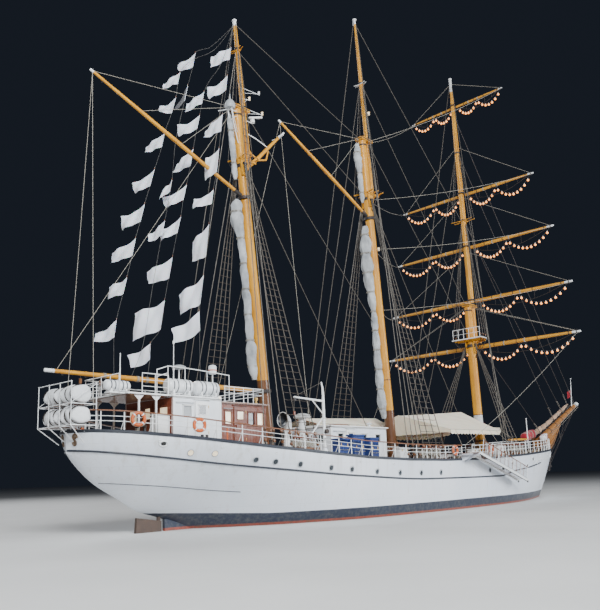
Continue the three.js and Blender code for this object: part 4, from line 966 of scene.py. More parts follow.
for name, x0, x1, w, top, wins, ww, wh, door, wallm, framem in HOUSES:
    base = max(deck_z(x0), deck_z(x1)) + 0.002
    sill = top - 0.45 - wh
    dress(name + "_walls", wallm)
    bevel(name + "_walls", 0.003)
    dress(name + "_roof", WHITE)
    bevel(name + "_roof", 0.01, 3)
    b = MB()
    varn = name == "wheelhouse"
    lit = name != "midship_house"
    for s in (-1, 1):
        for i, x in enumerate(wins):
            pane(b, (x + ww / 2, s * w, sill + wh / 2), (1, 0, 0), (0, s, 0), ww / 2, wh / 2, 0, 4 if (name == 'aft_deckhouse' and s < 0) else 2 if (lit and (i + (s < 0)) % 2) else 1, 0.045 if varn else 0.04)
        # skirting, corner boards and a moulding under the eaves
        xs_ = [(x0, x1)] if s > 0 else [(x0, door[0] - 0.06), (door[1] + 0.06, x1)]
        for a, c in xs_:
            b.box(a - 0.012, c + 0.012, min(s * w, s * (w + 0.025)), max(s * w, s * (w + 0.025)), base, base + 0.11, 3, 0.006)
        for x in (x0, x1):
            b.box(x - 0.045, x + 0.045, min(s * (w - 0.045), s * (w + 0.012)), max(s * (w - 0.045), s * (w + 0.012)), base + 0.1, top - 0.03, 0, 0.008)
        b.box(x0 - 0.02, x1 + 0.02, min(s * w, s * (w + 0.03)), max(s * w, s * (w + 0.03)), top - 0.09, top - 0.025, 0, 0.008)
        # handrail along the wall
        ra, rb = (x0 + 0.15, door[0] - 0.15) if s < 0 else (x0 + 0.15, x1 - 0.15)
        if rb - ra > 0.6:
            b.tube([V(ra, s * (w + 0.075), top - 0.3), V(rb, s * (w + 0.075), top - 0.3)], 0.017, 8, 4)
            for x in np.linspace(ra + 0.05, rb - 0.05, max(2, int((rb - ra) / 0.8) + 1)):
                b.tube([V(x, s * w, top - 0.3), V(x, s * (w + 0.075), top - 0.3)], 0.013, 6, 4)
        if varn:
            k = 14
            for i in range(1, k):
                x = x0 + (x1 - x0) * i / k
                segs = [(base + 0.1, top - 0.09)]
                if any(wx - 0.06 < x < wx + ww + 0.06 for wx in wins):
                    segs = [(base + 0.1, sill - 0.05)]
                if s < 0 and door[0] - 0.06 < x < door[1] + 0.06:
                    continue
                for za, zb in segs:
                    b.box(x - 0.012, x + 0.012, min(s * w, s * (w + 0.01)), max(s * w, s * (w + 0.01)), za, zb, 0, 0.004)
            b.box(x0, x1, min(s * w, s * (w + 0.022)), max(s * w, s * (w + 0.022)), sill - 0.1, sill - 0.06, 0, 0.006) if s > 0 else [
                b.box(a, c, -w - 0.022, -w, sill - 0.1, sill - 0.06, 0, 0.006) for a, c in xs_]
    # door casing and threshold on the wall
    d0, d1, dt = door[0], door[1], top - 0.25
    for x in (d0 - 0.09, d1 + 0.09):
        b.box(x - 0.03, x + 0.03, -w - 0.012, -w, base + 0.02, dt + 0.12, 0, 0.005)
    b.box(d0 - 0.12, d1 + 0.12, -w - 0.09, -w, dt + 0.13, dt + 0.155, 0, 0.006)
    b.box(d0 - 0.02, d1 + 0.02, -w - 0.012, -w + 0.05, base + 0.005, base + 0.075, 4, 0.006)
    # end walls
    if name == "wheelhouse":
        for y in (-1.2, -0.4, 0.4, 1.2):
            pane(b, (x1, y, sill + wh / 2), (0, 1, 0), (1, 0, 0), 0.3, 0.31, 0, 2 if y in (-0.4, 1.2) else 1, 0.05, 0.03, -0.004)
        for y in np.linspace(-1.8, 1.8, 16):
            b.box(x1, x1 + 0.01, y - 0.012, y + 0.012, base + 0.1, sill - 0.08, 0, 0.004)
        b.box(x1, x1 + 0.025, -w, w, sill - 0.11, sill - 0.06, 0, 0.006)
    elif name == "midship_house":
        for x, e in ((x0, -1), (x1, 1)):
            for y in (-1.1, 1.1):
                pane(b, (x, y, sill + wh / 2), (0, 1, 0), (e, 0, 0), 0.22, 0.2, 0, 1, 0.04, 0.03, -0.004)
    # roof edge strip with a drip moulding along both sides
    rx0, rx1 = (x0 - (0 if varn else 0.1)), (x1 + 0.18 if not name.startswith("aft") else x1 - 0.03)
    for s in (-1, 1):
        b.box(rx0, rx1, s * (w + 0.1) - 0.012, s * (w + 0.1) + 0.012, top - 0.03, top + 0.045, 3 if varn else 0, 0.006)
    b.build(name + "_joinery", [framem, GLASS, LIT, VARNISH_AND_SHADE if varn else WHITE, GREY_AND_RAILING_SHADE], "ship")
    # the door's panels, light and handle ride the door
    dm = MB()
    y = -w - 0.066
    dm.box(d0 + 0.04, d1 - 0.04, y - 0.012, y, base + 0.16, base + 0.85, 0, 0.008)
    dm.box(d0 + 0.1, d1 - 0.1, y - 0.02, y - 0.01, base + 0.23, base + 0.78, 0, 0.008)
    pane(dm, ((d0 + d1) / 2, y, dt - 0.38), (1, 0, 0), (0, -1, 0), 0.2, 0.2, 0, 2 if varn else 1, 0.04, 0.018, -0.003)
    for z in (base + 0.35, dt - 0.2):
        dm.lathe((d1 + 0.02, y - 0.006, z - 0.07), (0, 0, 1), [(0, 0), (0, 0.014), (0.01, 0.018), (0.13, 0.018), (0.14, 0.014), (0.14, 0)], 10, 3)
    dm.build(name + "_door_fittings", [framem, GLASS, LIT, BRASS], name.replace("_deckhouse", "").replace("_house", "") + "_door")
    dress(name + "_door", VARN if varn else WHITE)
    bevel(name + "_door", 0.004)

# roof furniture: mushroom vents, a hatch, lamps, aerial pole, horn
b = MB()
for x, y, z in ((4.9, 1.1, 6.53), (6.5, 0.9, 6.54), (16.8, 1.2, 5.41), (20.6, -1.2, 5.41), (18.6, 1.2, 5.42)):
    b.lathe((x, y, z - 0.01), (0, 0, 1), [(0, 0.12), (0.02, 0.12), (0.03, 0.085), (0.2, 0.085), (0.22, 0.17), (0.25, 0.19), (0.29, 0.17), (0.33, 0.1), (0.345, 0)], 20, 0)
b.box(18.0, 19.4, -0.55, 0.55, 5.42, 5.62, 1, 0.02)
for i in range(4):
    b.box(18.1, 19.3, -0.48 + i * 0.26, -0.3 + i * 0.26, 5.62, 5.635, 2, 0.003)
b.box(5.3, 6.4, 0.1, 0.9, 6.55, 6.78, 0, 0.03)
b.lathe((4.55, -1.83, 6.5), (0, 0, 1), [(0, 0.05), (0.02, 0.05), (0.03, 0.03), (1.2, 0.028), (1.22, 0.045), (1.3, 0.045), (1.32, 0.022), (2.7, 0.016), (2.75, 0)], 12, 0)
b.lathe((4.55, -1.83, 9.0), (0, 0, 1), [(0, 0.016), (0.02, 0.05), (0.16, 0.05), (0.2, 0)], 12, 0)
for x, y, z in ((10.3, -1.5, 6.43), (10.3, 1.5, 6.43)):
    b.lathe((x, y, z), (0, 0, 1), [(0, 0.09), (0.03, 0.09), (0.04, 0.05), (0.12, 0.05), (0.14, 0.11), (0.3, 0.11), (0.33, 0.05), (0.34, 0)], 16, 3)
b.lathe((8.9, 0.4, 6.42), (0, 0, 1), [(0, 0.2), (0.05, 0.2), (0.08, 0.1), (0.5, 0.09), (0.55, 0.26), (0.62, 0.3), (0.78, 0.24), (0.84, 0.1), (0.85, 0)], 22, 0)
b.build("roof_fittings", [WHITE, VARNISH_AND_SHADE, GLASS, BRASS], "ship")

# ------------------------------------------------------------------ masts
MASTS = {
    "mizzen": dict(x4=12.67, rake=-.105, cap=24.7, r0=.33, r1=.28, truck=30.45, dbl=3.4, tree=.75, rt=.18, taper=(.82, .55)),
    "main": dict(x4=24.68, rake=-.08, cap=26.9, r0=.35, r1=.3, truck=36.5, dbl=4.3, tree=.9, rt=.18, taper=(.78, .42)),
    "fore": dict(x4=37.05, rake=-.0405, cap=16.45, r0=.36, r1=.3, truck=37.3, dbl=3.2, tree=1.35, rt=.26, taper=(.8, .42))}


def MX(m, z):
    return m["x4"] + m["rake"] * (z - 4)


def AHEAD(m):
    return m["r1"] + m["rt"] + 0.12


def mast_r(m, z):
    z0 = deck_z(m["x4"])
    return m["r0"] + (m["r1"] - m["r0"]) * min(max((z - z0 - 6) / (m["cap"] - z0 - 6), 0), 1)


def top_r(name, m, z):
    heel = m["cap"] - m["dbl"] - 0.2
    mid = 30.2 if name == "fore" else m["cap"] + 3
    return float(np.interp(z, [heel, mid, m["truck"]], [m["rt"], m["rt"] * m["taper"][0], m["rt"] * m["taper"][1]]))


def raked(b, m, dx, stations, mat, n=24):
    """Lathe along a raked mast: stations of (z, radius)."""
    d = V(m["rake"], 0, 1)
    k = d.length
    z0 = stations[0][0]
    b.lathe(V(MX(m, z0) + dx, 0, z0), d, [((z - z0) * k, r) for z, r in stations], n, mat)


def hoop(b, m, dx, z, r, h, mat, proud=0.014):
    raked(b, m, dx, [(z - h / 2, r), (z - h / 2 + 0.004, r + proud), (z + h / 2 - 0.004, r + proud), (z + h / 2, r)], mat)


# material 2 on the mizzen below 8.0 m and on the main below 6.8 m: the dark brown lower mast is painted shade
ZONES = {"mizzen": [(None, 8.0, 2), (8.0, 99, 0)], "main": [(None, 6.8, 2), (6.8, 99, 0)], "fore": [(None, 5.9, 0), (5.9, 7.0, 3), (7.0, 99, 0)]}
MM = [GOLD, WHITE, BROWN_AND_MAST_SHADE, PALE, STEEL, TAR, ROPE, GALV]
for name, m in MASTS.items():
    b = MB()
    zd = deck_z(m["x4"])
    cap, zt = m["cap"], m["cap"] - m["dbl"]
    for za, zb, mat in ZONES[name]:
        za = zd if za is None else za
        zb = min(zb, cap)
        zs = [za] + [z for z in np.arange(math.ceil(za + 0.3), zb, 1.0)] + [zb]
        raked(b, m, 0, [(z, mast_r(m, z) + (0.006 if mat == 3 else 0)) for z in zs], mat)
    # coat and wedges at the deck, boot hoops, spider band, mast bands
    raked(b, m, 0, [(zd, m["r0"] + .19), (zd + .03, m["r0"] + .19), (zd + .06, m["r0"] + .14), (zd + .18, m["r0"] + .12), (zd + .21, m["r0"] + .03), (zd + .24, m["r0"])], 2)
    hoop(b, m, 0, zd + 1.25, m["r0"], 0.11, 4, 0.022)
    for i in range(12):
        a = 2 * math.pi * i / 12
        p = V(MX(m, zd + 1.25) + (m["r0"] + .06) * math.cos(a), (m["r0"] + .06) * math.sin(a), zd + 1.1)
        b.lathe(p, (0, 0, 1), [(0, 0), (0.01, 0.016), (0.2, 0.016), (0.22, 0.026), (0.33, 0.022), (0.35, 0)], 8, 2)
        if i % 3 == 0:
            for q in range(4):
                b.ring(p + V(0.05 * math.cos(a), 0.05 * math.sin(a), -0.1 - 0.05 * q), V(math.cos(a), math.sin(a), 0.15), 0.12 + 0.012 * q, 0.017, 14, 5, 6)
    zs = np.arange(zd + 3.4, zt - 0.6, 2.35)
    for z in zs:
        hoop(b, m, 0, z, mast_r(m, z), 0.07, 0 if z > 9 else 2, 0.012)
    hoop(b, m, 0, zt - 0.42, mast_r(m, zt), 0.22, 4, 0.02)
    hoop(b, m, 0, cap - 0.62, mast_r(m, cap), 0.12, 4, 0.016)
    raked(b, m, 0, [(cap - 0.02, m["r1"] * .98), (cap + 0.03, m["r1"] * .8), (cap + 0.05, 0)], 1)
    cx, dx, tx = MX(m, cap), AHEAD(m), MX(m, zt)
    # cap: an iron-bound block round both masts
    b.box(cx - m["r1"] - .07, cx + dx + m["rt"] + .11, -m["r1"] - .07, m["r1"] + .07, cap - .29, cap - .07, 0, 0.04)
    b.box(cx - m["r1"] - .08, cx + dx + m["rt"] + .12, -m["r1"] - .08, m["r1"] + .08, cap - .22, cap - .14, 4, 0.03)
    # trestle trees and crosstrees
    for s in (-1, 1):
        y = s * (m["r1"] + .06)
        b.box(tx - .34, tx + dx + m["rt"] + .14, y - .045, y + .045, zt - .15, zt + .0, 0, 0.02)
        # hounds cheeks
        b.prism([(-.2, -.95), (.2, -.95), (.3, -.2), (.32, 0), (-.3, 0), (-.3, -.2)], (V(tx, s * (mast_r(m, zt) + .0), zt - .14), V(1, 0, 0), V(0, 0, 1), V(0, 1, 0)), 0.05, 0)
    if name == "fore":
        t = m["tree"]
        # platform: a D-shaped top of slats with a rim and a rail aft
        outline = [(tx - .75, -t), (tx + .2, -t * .98), (tx + .9, -t * .72), (tx + 1.15, -t * .35), (tx + 1.25, 0), (tx + 1.15, t * .35), (tx + .9, t * .72), (tx + .2, t * .98), (tx - .75, t)]
        for i in range(22):
            y = -t + .06 + i * (2 * t - .12) / 21
            xf = tx + np.interp(abs(y), [0, t * .35, t * .72, t * .98, t], [1.25, 1.15, .9, .2, -.3])
            if abs(y) < m["r1"] + .03:
                b.box(tx - .75, tx - m["r1"] - .06, y - .045, y + .045, zt + .03, zt + .075, 0, 0.006)
                continue
            b.box(tx - .75, xf - .03, y - .045, y + .045, zt + .03, zt + .075, 0, 0.006)
        b.tube([V(x, y, zt + .07) for x, y in outline] + [V(*outline[0], zt + .07), V(*outline[1], zt + .07)], 0.05, 8, 1)
        for x in (tx - .55, tx - .05, tx + .75):
            b.box(x - .05, x + .05, -t * .9 if x < tx + .5 else -t * .7, t * .9 if x < tx + .5 else t * .7, zt - .07, zt + .03, 0, 0.012)
        for y in np.linspace(-t + .1, t - .1, 6):
            b.tube([V(tx - .72, y, zt + .07), V(tx - .72, y, zt + .95)], 0.022, 8, 1)
        b.tube([V(tx - .72, -t + .1, zt + .95), V(tx - .72, t - .1, zt + .95)], 0.028, 8, 1)
        b.tube([V(tx - .72, -t + .1, zt + .52), V(tx - .72, t - .1, zt + .52)], 0.015, 6, 1)
        for s in (-1, 1):
            for f in (-.5, 0, .5):
                b.tube([V(tx - .1 + f, s * (t - .06), zt + .05), V(MX(m, zt - 1.5) - .02 + f * .2, s * (mast_r(m, zt - 1.5) + .02), zt - 1.5)], 0.022, 6, 4)
    else:
        t = m["tree"]
        for x in (tx - .24, tx + dx * .5, tx + dx + m["rt"] + .1):
            pts = [V(x - .16 * abs(u) ** 1.6, u * t, zt + .02) for u in np.linspace(-1, 1, 13)]
            b.tube(pts, [0.04 + 0.02 * (1 - abs(u)) for u in np.linspace(-1, 1, 13)], 8, 0, squash=(1.0, 1.2))
        for s in (-1, 1):
            b.tube([V(tx - .4, s * t, zt + .03), V(tx + dx * .5 - .16, s * t, zt + .05), V(tx + dx + m["rt"] - .06, s * t, zt + .03)], 0.02, 6, 4)
    b.build(name + "_lower_mast_fine", MM, "ship", name + "_lower_mast", "spar_paint", smooth=35)
    # topmast
    b = MB()
    heel = zt - .2
    zs = [heel] + list(np.arange(math.ceil(heel + .4), m["truck"] - .5, 1.0))
    st = [(z, top_r(name, m, z)) for z in zs]
    pole = 36.0 if name == "fore" else m["truck"] - .4
    raked(b, m, dx, [(heel - .0, m["rt"] * .86)] + [(heel + .03, m["rt"])] + [s_ for s_ in st[1:] if s_[0] < pole] + [(pole, top_r(name, m, pole))], 0)
    raked(b, m, dx, [(pole, top_r(name, m, pole) * .98), (m["truck"] - .06, top_r(name, m, m["truck"]))], 3 if name == "fore" else 1)
    tr = m["truck"]
    raked(b, m, dx, [(tr - .09, .03), (tr - .08, .13), (tr - .04, .155), (tr + .0, .14), (tr + .035, .08), (tr + .045, 0)], 1)
    for z in np.arange(cap + 1.8, pole, 2.3):
        hoop(b, m, dx, z, top_r(name, m, z), 0.055, 0, 0.01)
    hoop(b, m, dx, cap + .08, top_r(name, m, cap), 0.12, 4, 0.03)
    trees = [(23.85, 1.0, .3)] if name == "fore" else [(31.2, .5, .12)] if name == "main" else [(28.4, .5, .12)]
    if name == "fore":
        trees.append((30.2, .55, .16))
    for zc, half, w in trees:
        xc = MX(m, zc) + dx
        r = top_r(name, m, zc)
        if zc == 30.2:
            hoop(b, m, dx, zc, r, 0.14, 4, 0.025)
            continue
        for s in (-1, 1):
            b.box(xc - w, xc + w, s * (r + .035) - .03, s * (r + .035) + .03, zc, zc + .09, 0, 0.012)
        for x in (xc - w * .8, xc + w * .8):
            pts = [V(x - .12 * abs(u) ** 1.5, u * half, zc + .075) for u in np.linspace(-1, 1, 11)]
            b.tube(pts, [0.025 + 0.012 * (1 - abs(u)) for u in np.linspace(-1, 1, 11)], 7, 1 if name == "main" else 0)
        hoop(b, m, dx, zc + .16, r, 0.12, 4, 0.02)
    b.build(name + "_topmast_fine", MM, "ship", name + "_topmast", "spar_paint", smooth=35)

# ------------------------------------------------------------------ yards
YARDS = [("course_yard", 12.73, 8.97, .17), ("lower_topsail_yard", 16.86, 8.56, .16), ("upper_topsail_yard", 21.64, 7.59, .145),
         ("topgallant_yard", 26.45, 6.43, .125), ("royal_yard", 34.7, 4.58, .095)]
F = MASTS["fore"]
RUN = 0.016
YARD_AT = {}


def swag(p, q, drop, n):
    p, q = Vector(p), Vector(q)
    return [p.lerp(q, i / n) - V(0, 0, 4 * drop * (i / n) * (1 - i / n)) for i in range(n + 1)]


bulbs_of = {}
for name, z, half, r in YARDS:
    lower = z < F["cap"] - F["dbl"]
    ax = MX(F, z) if lower else MX(F, z) + AHEAD(F)
    mr = .34 if lower else top_r("fore", F, z)
    fwd = mr + RUN + r + .16
    x = ax + fwd
    YARD_AT[name] = (x, z, half, r, ax, mr)
    b = MB()
    st = [(-half, r * .46), (-half + .04, r * .52), (-half * .93, r * .56), (-half * .8, r * .68), (-half * .55, r * .86), (-half * .3, r * .96), (0, r)]
    st = st + [(-a, c) for a, c in reversed(st[:-1])]
    white_from = half * .93
    for lo, hi, mat in ((-half, -white_from, 1), (-white_from, white_from, 0), (white_from, half, 1)):
        hs = [lo] + [a for a, _ in st if lo < a < hi] + [hi]
        b.lathe(V(x, 0, z), (0, 1, 0), [(h, float(np.interp(h, [a for a, _ in st], [c for _, c in st]))) for h in hs], 18, mat)
    for s in (-1, 1):
        b.lathe(V(x, s * half, z), (0, s, 0), [(-.02, r * .3), (0.0, r * .46), (0.03, r * .4), (0.05, 0)], 14, 1)
        for f in (.97, .90):
            y = s * half * f
            b.lathe(V(x, y - .035, z), (0, 1, 0), [(0, r * .5), (0.004, r * .72), (.066, r * .72), (.07, r * .5)], 16, 4)
            b.ring(V(x, y, z - r * .72 - .035), (0, 1, 0), 0.035, 0.012, 12, 6, 4)
            b.ring(V(x, y, z + r * .72 + .035), (0, 1, 0), 0.035, 0.012, 12, 6, 4)
    for f in (-.62, -.42, -.2, .2, .42, .62):
        rr_ = float(np.interp(f * half, [a for a, _ in st], [c for _, c in st]))
        b.lathe(V(x, f * half - .03, z), (0, 1, 0), [(0, rr_), (0.004, rr_ + .013), (.056, rr_ + .013), (.06, rr_)], 16, 4)
    # jackstay on its eyes along the top
    js = [V(x + .02, y, z + float(np.interp(abs(y), [0, half * .55, half], [r, r * .85, r * .5])) + .045) for y in np.linspace(-half * .92, half * .92, 15)]
    b.tube(js, 0.012, 5, 4)
    for p in js:
        b.tube([p, p - V(0, 0, .05)], 0.01, 5, 4)
    # parrel ring round the mast and the truss
    d = V(F["rake"], 0, 1)
    b.lathe(V(ax - F["rake"] * .05, 0, z - .05), d, [(0, mr + RUN + .02), (0, mr + RUN + .07), (.012, mr + RUN + .08), (.088, mr + RUN + .08), (.1, mr + RUN + .07), (.1, mr + RUN + .02), (0, mr + RUN + .02)], 24, 4)
    b.tube([V(ax + mr + RUN + .04, 0, z), V(ax + mr + RUN + .12, 0, z), V(x - r * .7, 0, z)], [.075, .07, .085], 10, 4)
    b.lathe(V(x, -.13, z), (0, 1, 0), [(0, r), (0.005, r + .02), (.255, r + .02), (.26, r)], 18, 4)
    # footropes hanging in stirrups
    for s in (-1, 1):
        drop = 0.78
        pts = swag((x - .06, s * .25, z - r), (x - .06, s * half * .94, z - r * .5), drop, 18)
        b.tube(pts, 0.015, 5, 5)
        for i in (4, 8, 12, 15):
            b.tube([V(pts[i].x, pts[i].y, z - r * .6), pts[i]], 0.011, 5, 5)
    # gaskets round the yard
    for y in (-half * .5, -half * .3, half * .3, half * .5):
        for q in range(3):
            rr_ = float(np.interp(abs(y), [0, half * .55, half], [r, r * .85, r * .5]))
            b.ring(V(x, y + .035 * q, z), (0, 1, 0), rr_ + .018, 0.016, 16, 5, 6)
    b.build(name + "_fine", [GOLDX, WHITE, BROWN_AND_MAST_SHADE, PALE, STEEL, TAR, ROPE], name, name, "spar_paint", smooth=35)
    # strings of warm lamps in two swags a side
    l, w = MB(), MB()
    for s in (-1, 1):
        ya = half * .95
        for a, c in ((0.08, .5), (.5, 1.0)):
            pts = swag((x + .04, s * ya * a, z - r - .02), (x + .04, s * ya * c, z - r * .7 - .02), 1.0 if half > 6 else .75, 22)
            w.tube(pts, 0.012, 5, 0)
            n = 10 if half > 7 else 9 if half > 6 else 7
            for i in range(n):
                t = (i + .5) / n * 22
                k = int(t)
                p = pts[k].lerp(pts[min(k + 1, 22)], t - k)
                w.lathe(p + V(0, 0, -.075), (0, 0, 1), [(0, 0.02), (.005, .036), (.06, .03), (.08, .012)], 8, 1)
                l.lathe(p + V(0, 0, -.26), (0, 0, 1), [(0, 0), (.012, .045), (.04, .08), (.09, .1), (.14, .085), (.175, .045), (.19, .03), (.2, 0)], 12, 0)
    w.build(name + "_lamp_cord", [TAR, WHITE], name)
    l.build(name + "_lamps", [BULB], name)

# ------------------------------------------------------------------ gaffs and the boom
SPARS = [("mizzen_boom", "mizzen", 7.36, (-.37, 1.62, 7.74), (.12, .14, .09)), ("mizzen_gaff", "mizzen", 18.9, (.72, 0, 22.94), (.1, .12, .07)),
         ("main_gaff", "main", 20.7, (14.14, 0, 25.11), (.1, .12, .07))]
for name, mast, z, end, rr in SPARS:
    m = MASTS[mast]
    ax = MX(m, z)
    zd = deck_z(m["x4"])
    mr = m["r0"] + (m["r1"] - m["r0"]) * max(0, (z - zd - 6) / (m["cap"] - zd - 6))
    a, e = V(ax, 0, z), V(*end)
    d = (e - a).normalized()
    L = (e - a).length
    b = MB()
    start = (mr + RUN + .05) / max(math.hypot(d.x, d.y), .1)
    tip = .5 if name == "mizzen_boom" else .22
    hs = [start, start + .25, L * .25, L * .5, L * .75, L - tip, L]
    rad = [float(np.interp(h, [0, L * .5, L], rr)) for h in hs]
    b.lathe(a, d, [(h, q) for h, q in zip(hs[:-1], rad[:-1])], 18, 0)
    b.lathe(a, d, [(L - tip, rad[-2]), (L - .06, rr[2]), (L - .03, rr[2] * .9), (L - .005, rr[2] * .4), (L, 0)], 18, 1)
    for f in (.12, .3, .5, .68, .84, .93):
        q = float(np.interp(f * L, [0, L * .5, L], rr))
        b.lathe(a + d * (f * L - .035), d, [(0, q), (.004, q + .012), (.066, q + .012), (.07, q)], 16, 0)
        b.ring(a + d * (f * L) - V(0, 0, q + .04), d.cross(V(0, 0, 1)), 0.035, 0.011, 12, 6, 4)
    # gooseneck band or jaws round the mast, running free of it
    dk_ = V(m["rake"], 0, 1)
    b.lathe(V(ax - m["rake"] * .1, 0, z - .1), dk_, [(0, mr + RUN + .03), (0, mr + RUN + .09), (.02, mr + RUN + .11), (.18, mr + RUN + .11), (.2, mr + RUN + .09), (.2, mr + RUN + .03), (0, mr + RUN + .03)], 24, 4)
    b.tube([a + d * (start * .92), a + d * (start + .5)], [rr[0] + .03, rr[0] + .01], 12, 4)
    if name == "mizzen_boom":
        # footrope-like lashings of the stowed foot, topping-lift band, sheet blocks
        for f in (.2, .26, .34, .42, .58, .62, .76):
            for q in range(4):
                b.ring(a + d * (f * L + .04 * q), d, float(np.interp(f * L, [0, L * .5, L], rr)) + .016, 0.015, 16, 5, 6)
        for f in (.78, .86):
            p = a + d * (f * L) - V(0, 0, .12)
            b.tube([p, p - V(0, 0, .12)], 0.014, 6, 4)
            b.obox(p - V(0, 0, .26), d, d.cross(V(0, 0, 1)).normalized(), V(0, 0, 1), .07, .045, .13, 2, 0.03)
    b.build(name + "_fine", [GOLD, WHITE, BROWN_AND_MAST_SHADE, PALE, STEEL, TAR, ROPE], name, name, "spar_paint", smooth=35)

# ------------------------------------------------------------------ bowsprit, jackstaff, head stays
def AX(z):
    return MX(F, z) + AHEAD(F)


b = MB()
sp = [(47.3, 4.72, .3), (47.9, 4.968, .3), (49.2, 5.504, .292), (51, 6.247, .28), (53, 7.073, .262), (55, 7.898, .243), (56.9, 8.683, .226)]
b.tube([V(x, 0, z) for x, z, _ in sp], [r for _, _, r in sp], 22, 5)
b.tube([V(56.88, 0, 8.675), V(57.3, 0, 8.848), V(57.6, 0, 8.972), V(57.67, 0, 9.0)], [.228, .225, .215, .13], 20, 1)
d = V(1, 0, .4127).normalized()
for x in (48.9, 50.3, 51.7, 53.2, 54.6, 56.0, 57.0):
    z = 4.72 + (x - 47.3) * .4127
    r = float(np.interp(x, [q[0] for q in sp], [q[2] for q in sp]))
    b.lathe(V(x, 0, z) - d * .05, d, [(0, r), (.005, r + .02), (.095, r + .02), (.1, r)], 22, 4)
b.box(47.5, 48.6, -.16, .16, deck_z(47.5), 4.93, 2, 0.03)
for s in (-1, 1):
    b.box(47.35, 48.7, s * .33 - .07, s * .33 + .07, deck_z(47.35), 5.28, 2, 0.03)
    # hand lines beside the bowsprit, on small outriggers, and the net's side rope
    pts = []
    for x in np.linspace(49.6, 57.0, 9):
        z = 4.72 + (x - 47.3) * .4127
        pts.append(V(x, s * (.62 - .03 * (x - 49.6)), z + .1))
        b.tube([V(x, 0, z), pts[-1]], .016, 6, 7)
    b.tube(pts, .014, 5, 6)
    b.tube([p + V(0, 0, -.22) for p in pts], .012, 5, 6)
b.lathe(V(56.3, 0, 8.42), V(.45, 0, 3.15), [(0, .055), (.12, .05), (1.4, .036), (2.9, .026), (3.08, .02)], 12, 1)
b.lathe(V(56.745, 0, 11.52), (0, 0, 1), [(0, .02), (.01, .06), (.05, .07), (.09, .045), (.11, 0)], 14, 1)
# cranse iron, dolphin striker, bobstays and bowsprit shrouds
b.tube([V(52.4, 0, 6.75), V(52.62, 0, 6.1), V(52.85, 0, 5.25)], [.055, .06, .03], 10, 4)
for p, q in (((57.35, 0, 8.62), (52.85, 0, 5.25)), ((54.2, 0, 7.3), (52.85, 0, 5.25)), ((52.85, 0, 5.25), (49.35, 0, 2.55)), ((56.6, 0, 8.3), (49.3, 0, 2.2)), ((52.6, 0, 6.5), (49.0, 0, 1.9))):
    b.rope(p, q, .022, 4)
for s in (-1, 1):
    b.rope((56.6, s * .15, 8.5), (46.6, s * 1.72, 3.85), .02, 4)
    b.rope((52.6, s * .2, 6.8), (47.4, s * 1.3, 3.9), .02, 4)
HEAD = [((MX(F, 13.2) + 1.1, 0, 13.19), (48.95, 0, 5.45)), ((MX(F, 23.6) + AHEAD(F) + .36, 0, 23.6), (54.2, 0, 7.62)), ((MX(F, 33.6) + AHEAD(F) + .24, 0, 33.6), (57.2, 0, 8.82)),
        ((AX(23.9) + .3, 0, 23.9), (52.0, 0, 6.75)), ((AX(30.2) + .22, 0, 30.2), (55.7, 0, 8.25))]
for p, q in HEAD:
    b.rope(p, q, .028, 4)
for (p, q), ts in zip(HEAD, ((.0, 0), (0, 0), (0, 0), (0, 0), (0, 0))):
    q, p = Vector(q), Vector(p)
    u = (p - q).normalized()
    b.lathe(q + u * .25, u, [(0, .02), (.03, .045), (.3, .045), (.34, .02)], 8, 4)
    for k in range(7):
        b.ring(q + u * (1.0 + .16 * k), u, .05, .012, 10, 5, 6)
b.build("bowsprit_fine", [GOLD, WHITE, BROWN_AND_MAST_SHADE, PALE, STEEL, SPRIT, ROPE, GALV], "ship", "bowsprit", "spar_paint", smooth=35)

# ------------------------------------------------------------------ standing rigging
SHROUDS = [("mizzen", 21.0, [.27, .97, 1.67, 2.32]), ("main", 22.1, [-.08, .77, 1.62, 2.37]), ("fore", 12.95, [.35, 1.0, 1.7, 2.4])]


def ratlines(b, legs, za, zb, step, mat, r=.019):
    """Rungs between neighbouring legs (pairs of points), from za to zb."""
    z = za
    while z < zb:
        pts = []
        for p, q in legs:
            t = (z - p.z) / (q.z - p.z)
            if 0 <= t <= 1:
                pts.append(p.lerp(q, t))
        if len(pts) > 1:
            full = []
            for i in range(len(pts) - 1):
                full += [pts[i], pts[i].lerp(pts[i + 1], .5) - V(0, 0, .025)]
            full.append(pts[-1])
            b.tube(full, r, 4, mat)
        z += step


